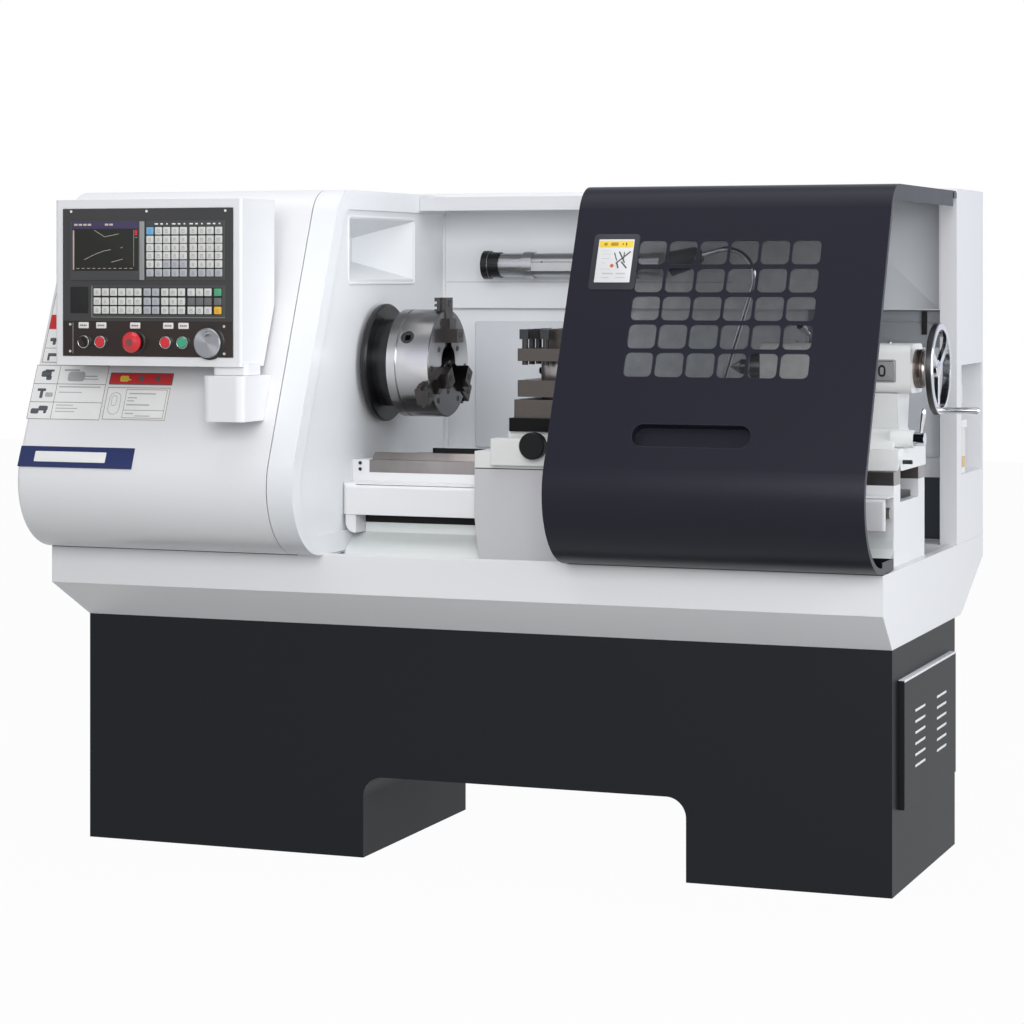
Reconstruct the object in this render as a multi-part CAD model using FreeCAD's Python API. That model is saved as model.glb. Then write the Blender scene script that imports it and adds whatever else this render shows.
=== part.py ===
"""CNC turning lathe: a flat-bed lathe on a sheet-metal stand, with a sliding guard and a control panel.

Millimetres. X runs along the bed towards the tailstock, Y to the rear, Z up.
Sizes are laid out about the stand's centre; at the end every piece is moved so that
the origin lies on the floor under the middle of the whole machine.
"""
import FreeCAD, Part
import math
import os
from FreeCAD import Vector

os.makedirs("parts", exist_ok=True)

# ---------------------------------------------------------------- driving dimensions
# Stand: two pedestals joined over a kneehole
STAND_LENGTH = 1920.0
STAND_DEPTH = 630.0
STAND_HEIGHT = 525.0
LEFT_PEDESTAL = 700.0
RIGHT_PEDESTAL = 456.0
KNEEHOLE_HEIGHT = 184.0
KNEEHOLE_RADIUS = 45.0
VENT_RECESS_DEPTH = 60.0

# Louvred cover on the stand's right end
COVER_WIDTH = 520.0
COVER_HEIGHT = 276.0
COVER_FLOOR_GAP = 178.0
COVER_THICKNESS = 14.0
COVER_SHEET = 3.0
LOUVRE_LENGTH = 96.0
LOUVRE_HEIGHT = 6.0
LOUVRE_PITCH = 24.0
LOUVRE_ROWS = 6
LOUVRE_SPACING = 216.0

# Chip tray
TRAY_OVERHANG_FRONT = 83.0
TRAY_OVERHANG_LEFT = 54.0
TRAY_OVERHANG_REAR = 324.0
TRAY_REAR_FOOT = 70.0
TRAY_RIM_BASE = 605.0
TRAY_RIM_TOP = 691.0
TRAY_REAR_BASE = 641.0
TRAY_RIM_WIDTH = 20.0
TRAY_FLOOR = 20.0
SLIDE_SHEET = 3.0
SLIDE_TOP_DROP = 21.0
SLIDE_LIP = 22.0
SLIDE_BASE = 616.0
SLIDE_NOTCH_GAP = 1.0

# Bed and ways
BED_WIDTH = 300.0
BED_TOP = 866.0
BED_LEFT_GAP = 74.0
BED_RIGHT_GAP = 20.0
BED_WALL = 40.0
WAY_WIDTH = 62.0
WAY_HEIGHT = 29.0
WAY_HEAD_DEPTH = 46.0
WAY_VEE_HEIGHT = 16.0
BED_RIB = 18.0
BED_RIB_COUNT = 5
BED_END_SILL = 827.0
WAY_SEAT_REACH = 21.0
WAY_END_BLOCK = 21.0

# Spindle line
AXIS_Y = -65.0
AXIS_HEIGHT = 1114.0
CHUCK_FACE_X = -153.0
CHUCK_DIAMETER = 250.0
CHUCK_BODY_LENGTH = 82.0
CHUCK_ADAPTER_LENGTH = 25.0
CHUCK_BORE = 88.0
HUB_DIAMETER = 204.0
HUB_LENGTH = 43.0
SPLASH_DISC_DIAMETER = 276.0
SPLASH_DISC_THICKNESS = 16.0
SPINDLE_DIAMETER = 90.0
SPINDLE_BORE = 52.0
SPINDLE_NOSE_DIAMETER = 150.0
SPINDLE_NOSE_LENGTH = 70.0
SPINDLE_LEFT_X = -946.0

# Jaws and pinions
JAW_WIDTH = 40.0
JAW_INNER_RADIUS = 48.0
JAW_OUTER_RADIUS = 153.0
JAW_DEPTH = 27.0
JAW_RISE = 3.0
JAW_STEP_HEIGHTS = (12.0, 30.0)
JAW_STEP_RADII = (104.0, 80.0)
JAW_LIP = 6.0
JAW_TRAVEL_IN = 26.0
JAW_CLEARANCE = 0.1
PINION_DIAMETER = 32.0
PINION_LENGTH = 44.0
PINION_SETBACK = 58.0
PINION_SQUARE = 14.0
PINION_SOCKET_DEPTH = 20.0

# Headstock
HEADSTOCK_LEFT_X = -862.0
HEADSTOCK_RIGHT_X = -396.0
HEADSTOCK_CROWN = 126.0
HEADSTOCK_WALL = 26.0
BEARING_OUTER = 140.0
BEARING_LENGTH = 50.0
MOTOR_DIAMETER = 190.0
MOTOR_LENGTH = 330.0
MOTOR_Y = 190.0
MOTOR_Z = 1010.0
MOTOR_SHAFT = 38.0
MOTOR_FINS = 5
SPINDLE_PULLEY_DIAMETER = 200.0
MOTOR_PULLEY_DIAMETER = 120.0
PULLEY_WIDTH = 46.0
PULLEY_X = -936.0
BELT_THICKNESS = 8.0

# Pot-bellied section shared by headstock cover, bulkhead and door
GUARD_TOP = 1515.0
BELLY_FRONT_Y = -561.0
BELLY_RADIUS = 158.0
GUARD_LEAN = 22.6
GUARD_TOP_RADIUS = 80.0
COVER_SKIN = 4.0
COVER_END_ROUND = 10.0
GUARD_FOOT = 24.0

# Bulkhead
BULKHEAD_RIGHT_X = -323.0
BULKHEAD_WIDTH = 61.0
BULKHEAD_SKIN = 5.0
BULKHEAD_BORDER = 45.0
BULKHEAD_RECESS = 7.0
BULKHEAD_WALL = 6.0
BULKHEAD_SEAM = 2.0
NICHE_WIDTH = 383.0
NICHE_HEIGHT = 141.0
NICHE_FRONT_Y = -235.0
NICHE_DROP = 206.0
NICHE_DEPTH = 100.0
NICHE_BACK_WIDTH = 190.0
NICHE_BACK_HEIGHT = 57.0
NICHE_WALL = 3.0
SPINDLE_OPENING = 216.0

# Rear housing, rear wall and canopy
HOUSING_FRONT_Y = 337.0
HOUSING_RISE = 6.0
HOUSING_RECESS = 34.0
COLUMN_WIDTH = 40.0
POCKET_FRONT_Y = 390.0
POCKET_WIDTH = 238.0
POCKET_BASE = 852.0
POCKET_TOP = 1108.0
POCKET_DEPTH = 80.0
WALL_SHEET = 3.0
WALL_STEP_Z = 1238.0
WALL_STEP = 20.0
WALL_BASE = 700.0
CANOPY_FRONT_Y = 169.0
CANOPY_RIGHT_X = 370.0
CANOPY_FASCIA_HEIGHT = 33.0
CANOPY_KERB = 10.0
CABINET_DOOR_LENGTH = 560.0
CABINET_DOOR_HEIGHT = 620.0
CABINET_DOOR_X = -700.0
CABINET_DOOR_BASE = 780.0
CABINET_DOOR_THICKNESS = 18.0
CABINET_HINGE_DIAMETER = 14.0
CABINET_HINGE_LENGTH = 60.0
CABINET_HINGE_SHARES = (0.15, 0.85)
CABINET_HANDLE_WIDTH = 30.0
CABINET_HANDLE_LENGTH = 120.0
CABINET_HANDLE_INSET = 40.0

# Work lights
TUBE_DIAMETER = 57.0
TUBE_LEFT_X = -193.0
TUBE_LENGTH = 385.0
TUBE_Y = 275.0
TUBE_DROP = 154.0
TUBE_CAP_DIAMETER = 70.0
TUBE_CAP_LENGTH = 17.0
TUBE_COLLAR_LENGTH = 26.0
TUBE_COLLAR_STEP = 2.0
TUBE_CLAMP_STEP = 4.0
TUBE_CLAMP_SHARES = (0.16, 0.84)
NECK_DIAMETER = 14.0
NECK_X = 415.0
NECK_Y = 258.0
NECK_BASE_Z = 1055.0
NECK_LEAN = 17.8
NECK_RISE = 249.0
NECK_BEND_RADIUS = 68.0
NECK_DROOP = 15.0
NECK_REACH = 44.0
NECK_FOOT_WIDTH = 44.0
NECK_FOOT_HEIGHT = 40.0
LAMP_HEAD_DIAMETER = 60.0
LAMP_HEAD_LENGTH = 82.0
LAMP_HEAD_WALL = 3.0

# Feed screw and its cover along the front of the bed
SCREW_DIAMETER = 25.0
SCREW_COVER_FRONT_Y = -275.0
SCREW_COVER_DEPTH = 58.0
SCREW_COVER_DROP = 93.0
SCREW_COVER_HEIGHT = 72.0
SCREW_COVER_ROUND = 12.0
SCREW_BEARING_DROP = 42.0
SCREW_BEARING_WIDTH = 26.0
SCREW_BEARING_ROUND = 24.0

# Carriage
CARRIAGE_X = 180.0
SADDLE_LENGTH = 356.0
SADDLE_DEPTH = 366.0
SADDLE_THICKNESS = 30.0
SADDLE_CLEARANCE = 0.3
SADDLE_BRIDGE_LENGTH = 270.0
SADDLE_BRIDGE_TOP = 955.0
SADDLE_BRIDGE_DEPTH = 43.0
SADDLE_BRIDGE_FRONT_Y = -305.0
APRON_LENGTH = 356.0
APRON_FRONT_Y = -292.0
APRON_BASE = 684.0
APRON_TOP = 888.0
APRON_TAPER = 10.0
APRON_RETURN = 24.0
APRON_SHEET = 3.0
FEED_CAP_DIAMETER = 60.0
FEED_CAP_LENGTH = 22.0
FEED_CAP_X = 150.0
FEED_CAP_Z = 941.0
FEED_SPIGOT_DIAMETER = 24.0
CROSS_SLIDE_WIDTH = 220.0
CROSS_SLIDE_TOP = 970.0
CROSS_SLIDE_FRONT_Y = -258.0
CROSS_SLIDE_DEPTH = 340.0
DOVETAIL_WIDTH = 120.0
DOVETAIL_HEIGHT = 18.0
DOVETAIL_FLARE = 10.0

# Turret
TURRET_X = 174.0
TURRET_Y = -175.0
TURRET_BASE_WIDTH = 196.0
TURRET_BASE_TOP = 1000.0
TURRET_SIDE = 166.0
TURRET_DRIVE_SIDE = 178.0
TURRET_CORNER = 4.0
TURRET_BODY_TOP = 1041.0
TOOL_FLOOR = 1084.0
TOOL_FLOOR_THICKNESS = 37.0
TOOL_CORE_DIAMETER = 104.0
TOOL_ROOF = 1127.0
TOOL_ROOF_THICKNESS = 28.0
CAP_BLOCK_SIDE = 74.0
CAP_BLOCK_HEIGHT = 43.0
CAP_BLOCK_CORNER = 8.0
CLAMP_BOLT_DIAMETER = 14.0
CLAMP_BOLT_HEAD = 20.0
CLAMP_BOLT_HEAD_HEIGHT = 22.0
CLAMP_BOLT_STANDING = 43.0
CLAMP_BOLT_SHARES = (-1, -0.36, 0.28)
CLAMP_BOLT_TIP = 9.0
CLAMP_BOLT_INSET = 14.0

# Tailstock
TAILSTOCK_RIGHT_X = 956.0
TAILSTOCK_LENGTH = 340.0
TAILSTOCK_WIDTH = 122.0
TAILSTOCK_CROWN = 55.0
TAILSTOCK_BARREL_HEIGHT = 108.0
TAILSTOCK_BARREL_ROUND = 20.0
TAILSTOCK_FOOT_WIDTH = 270.0
TAILSTOCK_FOOT_HEIGHT = 48.0
TAILSTOCK_FOOT_INSETS = (40.0, 10.0)
TAILSTOCK_COLUMN_INSETS = (60.0, 30.0)
TAILSTOCK_LEDGE = 16.0
TAILSTOCK_WAIST = 92.0
TAILSTOCK_WAIST_RISE = 40.0
QUILL_DIAMETER = 60.0
QUILL_NOSE = 36.0
QUILL_CLEARANCE = 0.05
CENTRE_DIAMETER = 34.0
CENTRE_LENGTH = 52.0
FLANGE_DIAMETER = 86.0
FLANGE_LENGTH = 24.0
WHEEL_DIAMETER = 202.0
WHEEL_RIM_WIDTH = 17.0
WHEEL_RIM_DEPTH = 15.0
WHEEL_HUB_DIAMETER = 40.0
WHEEL_HUB_LENGTH = 30.0
WHEEL_SHAFT_DIAMETER = 20.0
WHEEL_SPOKES = 3
WHEEL_SPOKE_WIDTH = 16.0
WHEEL_SPOKE_THICKNESS = 9.0
HANDLE_LENGTH = 80.0
HANDLE_DIAMETER = 15.0
HANDLE_PIN_DIAMETER = 8.0
LEVER_HUB_DIAMETER = 30.0
LEVER_HUB_LENGTH = 24.0
LEVER_ROD_DIAMETER = 9.0
LEVER_ROD_LENGTH = 66.0
LOCK_LEVER_LENGTH = 52.0
LOCK_LEVER_KNOB = 18.0
LOCK_STEM_LENGTH = 14.0
LOCK_STEM_DEPTH = 10.0
LOCK_LEVER_AIM = (-0.3, -0.8, 0.5)
CLAMP_HUB_Z = 963.0
CLAMP_HUB_OFFSET = 70.0
CLAMP_BOSS_LENGTH = 50.0
CLAMP_BOSS_STANDING = 10.0
LOCK_X = 720.0

# Door
DOOR_LENGTH = 700.0
DOOR_RIGHT_X = 960.0
DOOR_SKIN = 3.0
DOOR_FOOT_Z = 694.0
DOOR_FOOT_BACK_Y = -302.0
DOOR_FOOT_LIP = 24.0
DOOR_ROOF_BACK_Y = 328.0
DOOR_END_BAND = 13.0
DOOR_ROOF_BAND = 36.0
DOOR_ROOF_BAND_BACK_Y = 296.0
DOOR_BAND_BACK_Y = -3.0
PANE_COLUMNS = 6
PANE_ROWS = 5
PANE_WIDTH = 62.0
PANE_HEIGHT = 55.5
PANE_PITCH_X = 68.7
PANE_PITCH_S = 64.8
PANE_RADIUS = 12.0
PANE_LEFT_X = 411.0
PANE_TOP_Z = 1394.0
PANE_SHEET = 4.0
PANE_MARGIN = 22.0
GRIP_LENGTH = 260.0
GRIP_HEIGHT = 50.0
GRIP_DEPTH = 26.0
GRIP_WALL = 3.0
GRIP_LEFT_X = 448.0
GRIP_Z = 982.0
RAIL_HEIGHT = 2.7
RAIL_WIDTH = 16.0
UPPER_RAIL_DEPTH = 30.0
UPPER_RAIL_HEIGHT = 13.7

# Control panel
PANEL_WIDTH = 465.0
PANEL_HEIGHT = 371.0
PANEL_DEPTH = 168.0
PANEL_LEFT_X = -896.0
PANEL_BASE = 1117.0
PANEL_FRONT_Y = -590.0
PANEL_ROUND = 7.0
PANEL_SLOPE_GAP = 16.0
FASCIA_WIDTH = 424.0
FASCIA_HEIGHT = 330.0
FASCIA_THICKNESS = 4.0
FASCIA_TOP_MARGIN = 20.0
SCREEN_WIDTH = 167.0
SCREEN_HEIGHT = 110.0
SCREEN_LEFT = 25.0
SCREEN_TOP = 29.0
SCREEN_RECESS = 2.0
ARM_WIDTH = 102.0
ARM_HEIGHT = 101.0
ARM_RIGHT_X = -414.0
ARM_FRONT_Y = -618.0
ARM_ROUND = 20.0
NECK_BLOCK_WIDTH = 84.0
NECK_BLOCK_DEPTH = 76.0
ARM_GAP = 0.5
ARM_DROP = 19.0
PIVOT_DIAMETER = 30.0
BUTTON_ROW_Z = 1170.0
CONTROL_SHARES = (0.133, 0.232, 0.428, 0.617, 0.716, 0.867)
BUTTON_DIAMETER = 23.0
BUTTON_LENGTH = 9.0
BUTTON_TRAVEL = 3.0
BUTTON_STEM = 12.0
CONTROL_HOLE = 16.0
STOP_DIAMETER = 46.0
STOP_LENGTH = 22.0
SELECTOR_DIAMETER = 24.0
SELECTOR_LENGTH = 18.0
SELECTOR_REST = -40.0
PULSE_WHEEL_DIAMETER = 66.0
PULSE_WHEEL_LENGTH = 16.0
PULSE_KNOB_DIAMETER = 11.0
PULSE_KNOB_LENGTH = 14.0

# Lubricator and outlet box inside the service pocket
LUBE_DIAMETER = 40.0
LUBE_HEIGHT = 96.0
LUBE_CAP_DIAMETER = 50.0
LUBE_CAP_HEIGHT = 17.0
LUBE_BASE_Z = 864.0
LUBE_Y = 470.0
LUBE_SETBACK = 4.0
OUTLET_WIDTH = 60.0
OUTLET_HEIGHT = 48.0
OUTLET_DEPTH = 28.0
OUTLET_BASE_Z = 1014.0
OUTLET_ROUND = 4.0

SEAT_GAP = 0.3
RUNNING = 0.05

# ---------------------------------------------------------------- places worked out from them
STAND_LEFT_X = -STAND_LENGTH / 2
STAND_RIGHT_X = STAND_LENGTH / 2
STAND_FRONT_Y = -STAND_DEPTH / 2
STAND_BACK_Y = STAND_DEPTH / 2
TRAY_LEFT_X = STAND_LEFT_X - TRAY_OVERHANG_LEFT
TRAY_FRONT_Y = STAND_FRONT_Y - TRAY_OVERHANG_FRONT
TRAY_BACK_Y = STAND_BACK_Y + TRAY_OVERHANG_REAR
RIM_INNER_Y = TRAY_FRONT_Y + TRAY_RIM_WIDTH
TRAY_FLOOR_Z = STAND_HEIGHT + TRAY_FLOOR
BED_FRONT_Y = AXIS_Y - BED_WIDTH / 2
BED_BACK_Y = AXIS_Y + BED_WIDTH / 2
BED_LEFT_X = STAND_LEFT_X + BED_LEFT_GAP
BED_RIGHT_X = STAND_RIGHT_X - BED_RIGHT_GAP
WAY_TOP = BED_TOP + WAY_HEIGHT
SCREW_COVER_BASE = BED_TOP - SCREW_COVER_DROP
SLIDE_TOP = SCREW_COVER_BASE - SLIDE_TOP_DROP
BULKHEAD_LEFT_X = BULKHEAD_RIGHT_X - BULKHEAD_WIDTH
BULKHEAD_FACE_X = BULKHEAD_RIGHT_X - BULKHEAD_RECESS
WAY_LEFT_X = BULKHEAD_FACE_X + WAY_SEAT_REACH + WAY_END_BLOCK
UPPER_RAIL_TOP = GUARD_TOP - DOOR_SKIN - SEAT_GAP
CANOPY_ROOF = UPPER_RAIL_TOP - UPPER_RAIL_HEIGHT
CANOPY_FASCIA_TOP = CANOPY_ROOF + CANOPY_KERB
TUBE_Z = CANOPY_ROOF - TUBE_DROP
HOUSING_TOP = GUARD_TOP + HOUSING_RISE
NICHE_BASE_Z = GUARD_TOP - NICHE_DROP
HEADSTOCK_HEIGHT = AXIS_HEIGHT + HEADSTOCK_CROWN - WAY_TOP
TAILSTOCK_TOP = AXIS_HEIGHT + TAILSTOCK_CROWN
CANOPY_FASCIA_BASE = CANOPY_FASCIA_TOP - CANOPY_FASCIA_HEIGHT
TAILSTOCK_BARREL_BASE = TAILSTOCK_TOP - TAILSTOCK_BARREL_HEIGHT
LEAN = math.radians(GUARD_LEAN)
SLOPE_OUT = Vector(0, -math.cos(LEAN), math.sin(LEAN))
SLOPE_UP = Vector(0, math.sin(LEAN), math.cos(LEAN))
BELLY_Y = BELLY_FRONT_Y + BELLY_RADIUS
CHUCK_BACK_X = CHUCK_FACE_X - CHUCK_BODY_LENGTH
ADAPTER_BACK_X = CHUCK_BACK_X - CHUCK_ADAPTER_LENGTH
HUB_BACK_X = ADAPTER_BACK_X - HUB_LENGTH
DISC_BACK_X = HUB_BACK_X - SPLASH_DISC_THICKNESS
X_DIR = Vector(1, 0, 0)
Y_DIR = Vector(0, 1, 0)
Z_DIR = Vector(0, 0, 1)


# ---------------------------------------------------------------- basic shapes
def block(x, y, z):
    """A box between the low and high value of each pair."""
    return Part.makeBox(x[1] - x[0], y[1] - y[0], z[1] - z[0], Vector(x[0], y[0], z[0]))


def rod(start, direction, length, diameter):
    """A cylinder from its start along a direction."""
    return Part.makeCylinder(diameter / 2, length, start, direction)


def tube(start, direction, length, outer, inner):
    """A straight tube."""
    return rod(start, direction, length, outer).cut(rod(start, direction, length, inner))


def plate_x(outline, x):
    """A closed outline of (y, z) points carried along X between two values."""
    points = [Vector(x[0], y, z) for y, z in outline]
    face = Part.Face(Part.makePolygon(points + points[:1]))
    return face.extrude(Vector(x[1] - x[0], 0, 0))


def plate_y(outline, y):
    """A closed outline of (x, z) points carried along Y between two values."""
    points = [Vector(x, y[0], z) for x, z in outline]
    face = Part.Face(Part.makePolygon(points + points[:1]))
    return face.extrude(Vector(0, y[1] - y[0], 0))


def revolve_x(outline, centre):
    """A closed outline of (x, radius) points turned about an axis along X."""
    points = [Vector(x, centre.y, centre.z + radius) for x, radius in outline]
    face = Part.Face(Part.makePolygon(points + points[:1]))
    return face.revolve(centre, X_DIR, 360)


def revolve_y(outline, centre):
    """A closed outline of (y, radius) points turned about an axis along Y."""
    points = [Vector(centre.x + radius, y, centre.z) for y, radius in outline]
    face = Part.Face(Part.makePolygon(points + points[:1]))
    return face.revolve(centre, Y_DIR, 360)


def round_edges(shape, radius, chosen):
    """Fillet the edges that a test picks out."""
    edges = [edge for edge in shape.Edges if chosen(edge)]
    return shape.makeFillet(radius, edges)


def is_along(edge, direction):
    """True for a straight edge that runs along a direction."""
    first = edge.Vertexes[0].Point
    last = edge.Vertexes[-1].Point
    run = last - first
    return run.Length > 0 and abs(run.normalize().dot(direction)) > 0.999


def rounded_slot(centre, along, up, length, height, radius, out, depth):
    """A flat bar with rounded corners, centred on a point and carried along out."""
    half = length / 2 - radius
    rise = height / 2 - radius
    arcs = []
    corners = ((1, 1), (-1, 1), (-1, -1), (1, -1))
    for quarter, (side, level) in enumerate(corners):
        middle = centre + along * (side * half) + up * (level * rise)
        points = []
        for share in (0, 0.5, 1):
            angle = (quarter + share) * math.pi / 2
            points.append(middle + along * (radius * math.cos(angle)) + up * (radius * math.sin(angle)))
        arcs.append(points)
    edges = []
    for number, points in enumerate(arcs):
        edges.append(Part.Arc(*points).toShape())
        following = arcs[(number + 1) % len(arcs)][0]
        if (points[2] - following).Length > 1e-6:
            edges.append(Part.LineSegment(points[2], following).toShape())
    return Part.Face(Part.Wire(edges)).extrude(out * depth)


def about_spindle(shape, turn):
    """A copy turned about the spindle axis, in degrees."""
    copy = shape.copy()
    copy.rotate(Vector(0, AXIS_Y, AXIS_HEIGHT), X_DIR, turn)
    return copy


# ---------------------------------------------------------------- the pot-bellied section
def section_edges(inset, x, base, foot_y, roof_y, top=GUARD_TOP):
    """Foot, belly arc, slope, top arc and roof as edges in the plane x, moved inwards by inset."""
    belly = Vector(x, BELLY_Y, base + BELLY_RADIUS)
    belly_radius = BELLY_RADIUS - inset
    top_radius = GUARD_TOP_RADIUS - inset
    reach = belly.dot(SLOPE_OUT) + BELLY_RADIUS - GUARD_TOP_RADIUS
    crown_z = top - GUARD_TOP_RADIUS
    crown = Vector(x, (reach - crown_z * SLOPE_OUT.z) / SLOPE_OUT.y, crown_z)
    foot = Vector(x, foot_y, base + inset)
    low = Vector(x, BELLY_Y, base + inset)
    waist = belly + SLOPE_OUT * belly_radius
    shoulder = crown + SLOPE_OUT * top_radius
    brow = Vector(x, crown.y, top - inset)
    roof = Vector(x, roof_y, top - inset)
    front = belly + Vector(0, -belly_radius, 0)
    bend = crown + (SLOPE_OUT + Z_DIR).normalize() * top_radius
    edges = [Part.LineSegment(foot, low).toShape(),
             Part.Arc(low, front, waist).toShape(),
             Part.LineSegment(waist, shoulder).toShape(),
             Part.Arc(shoulder, bend, brow).toShape(),
             Part.LineSegment(brow, roof).toShape()]
    return edges, foot, roof


def section_solid(inset, x, base, foot_y, roof_y):
    """The whole section as a solid, closed by a straight back."""
    edges, foot, roof = section_edges(inset, x[0], base, foot_y, roof_y)
    corner = Vector(x[0], roof_y, foot.z)
    edges.append(Part.LineSegment(roof, corner).toShape())
    if foot_y != roof_y:
        edges.append(Part.LineSegment(corner, foot).toShape())
    return Part.Face(Part.Wire(edges)).extrude(Vector(x[1] - x[0], 0, 0))


def section_skin(inset, thickness, x, base, foot_y, roof_y):
    """A bent sheet that follows the section."""
    outer, foot_out, roof_out = section_edges(inset, x[0], base, foot_y, roof_y)
    inner, foot_in, roof_in = section_edges(inset + thickness, x[0], base, foot_y, roof_y)
    edges = outer + inner
    edges.append(Part.LineSegment(foot_out, foot_in).toShape())
    edges.append(Part.LineSegment(roof_out, roof_in).toShape())
    wire = Part.Wire(Part.__sortEdges__(edges))
    return Part.Face(wire).extrude(Vector(x[1] - x[0], 0, 0))


def slope_point(x, z, base):
    """The point of the slope's outer face at a height."""
    belly = Vector(x, BELLY_Y, base + BELLY_RADIUS)
    reach = belly.dot(SLOPE_OUT) + BELLY_RADIUS
    return Vector(x, (reach - z * SLOPE_OUT.z) / SLOPE_OUT.y, z)


# ---------------------------------------------------------------- stand and tray
def make_stand():
    body = block((STAND_LEFT_X, STAND_RIGHT_X), (STAND_FRONT_Y, STAND_BACK_Y), (0, STAND_HEIGHT))
    gap = block((STAND_LEFT_X + LEFT_PEDESTAL, STAND_RIGHT_X - RIGHT_PEDESTAL),
                (STAND_FRONT_Y, STAND_BACK_Y), (-KNEEHOLE_RADIUS * 2, KNEEHOLE_HEIGHT))
    gap = round_edges(gap, KNEEHOLE_RADIUS, lambda edge: is_along(edge, Y_DIR) and edge.CenterOfMass.z > 0)
    body = body.cut(gap)
    inset = COVER_THICKNESS * 2
    vent = block((STAND_RIGHT_X - VENT_RECESS_DEPTH, STAND_RIGHT_X),
                 (-COVER_WIDTH / 2 + inset, COVER_WIDTH / 2 - inset),
                 (COVER_FLOOR_GAP + inset, COVER_FLOOR_GAP + COVER_HEIGHT - inset))
    return body.cut(vent)


def make_end_cover():
    outer = block((STAND_RIGHT_X, STAND_RIGHT_X + COVER_THICKNESS),
                  (-COVER_WIDTH / 2, COVER_WIDTH / 2),
                  (COVER_FLOOR_GAP, COVER_FLOOR_GAP + COVER_HEIGHT))
    inner = block((STAND_RIGHT_X, STAND_RIGHT_X + COVER_THICKNESS - COVER_SHEET),
                  (-COVER_WIDTH / 2 + COVER_SHEET, COVER_WIDTH / 2 - COVER_SHEET),
                  (COVER_FLOOR_GAP + COVER_SHEET, COVER_FLOOR_GAP + COVER_HEIGHT - COVER_SHEET))
    cover = outer.cut(inner)
    middle_z = COVER_FLOOR_GAP + COVER_HEIGHT / 2
    for column in (-0.5, 0.5):
        for row in range(LOUVRE_ROWS):
            y = column * LOUVRE_SPACING
            z = middle_z + (row - (LOUVRE_ROWS - 1) / 2) * LOUVRE_PITCH
            slot = block((STAND_RIGHT_X, STAND_RIGHT_X + COVER_THICKNESS),
                         (y - LOUVRE_LENGTH / 2, y + LOUVRE_LENGTH / 2),
                         (z - LOUVRE_HEIGHT / 2, z + LOUVRE_HEIGHT / 2))
            cover = cover.cut(slot)
    return cover


def make_tray():
    side = [(STAND_FRONT_Y, STAND_HEIGHT), (TRAY_FRONT_Y, TRAY_RIM_BASE), (TRAY_FRONT_Y, TRAY_RIM_TOP),
            (TRAY_BACK_Y, TRAY_RIM_TOP), (TRAY_BACK_Y, TRAY_REAR_BASE),
            (STAND_BACK_Y + TRAY_REAR_FOOT, STAND_HEIGHT)]
    front = [(STAND_LEFT_X, STAND_HEIGHT), (TRAY_LEFT_X, TRAY_RIM_BASE), (TRAY_LEFT_X, TRAY_RIM_TOP),
             (STAND_RIGHT_X, TRAY_RIM_TOP), (STAND_RIGHT_X, STAND_HEIGHT)]
    outer = plate_x(side, (TRAY_LEFT_X, STAND_RIGHT_X)).common(plate_y(front, (TRAY_FRONT_Y, TRAY_BACK_Y)))
    shelf = TRAY_RIM_WIDTH
    side_in = [(STAND_FRONT_Y + shelf / 2, TRAY_FLOOR_Z), (RIM_INNER_Y, TRAY_RIM_BASE + shelf / 2),
               (RIM_INNER_Y, TRAY_RIM_TOP), (HOUSING_FRONT_Y, TRAY_RIM_TOP), (HOUSING_FRONT_Y, TRAY_FLOOR_Z)]
    left_in = TRAY_LEFT_X + shelf
    right_in = STAND_RIGHT_X - shelf
    front_in = [(STAND_LEFT_X + shelf / 2, TRAY_FLOOR_Z), (left_in, TRAY_RIM_BASE + shelf / 2),
                (left_in, TRAY_RIM_TOP), (right_in, TRAY_RIM_TOP), (right_in, TRAY_FLOOR_Z)]
    inner = plate_x(side_in, (left_in, right_in)).common(plate_y(front_in, (RIM_INNER_Y, HOUSING_FRONT_Y)))
    return outer.cut(inner)


def make_chip_slide():
    """A bent sheet that rises from inside the tray's front wall to the bed's front."""
    low_y = RIM_INNER_Y + SEAT_GAP
    high_y = BED_FRONT_Y - SEAT_GAP
    low_z = SLIDE_BASE
    bend = SLIDE_SHEET * 0.4
    outline = [(low_y, low_z + SLIDE_LIP), (low_y, low_z), (high_y, SLIDE_TOP - SLIDE_LIP - bend),
               (high_y, SLIDE_TOP), (high_y - SLIDE_SHEET, SLIDE_TOP),
               (high_y - SLIDE_SHEET, SLIDE_TOP - SLIDE_LIP),
               (low_y + SLIDE_SHEET, low_z + SLIDE_SHEET * 2 + bend),
               (low_y + SLIDE_SHEET, low_z + SLIDE_LIP)]
    sheet = plate_x(outline, (BULKHEAD_RIGHT_X + SEAT_GAP, STAND_RIGHT_X - TRAY_RIM_WIDTH - SEAT_GAP))
    gap = SLIDE_NOTCH_GAP
    notch = block((BULKHEAD_RIGHT_X, BULKHEAD_RIGHT_X + SCREW_BEARING_WIDTH + gap),
                  (SCREW_COVER_FRONT_Y, BED_FRONT_Y),
                  (SCREW_COVER_BASE - SCREW_BEARING_DROP - gap, SLIDE_TOP))
    return sheet.cut(notch)


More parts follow.
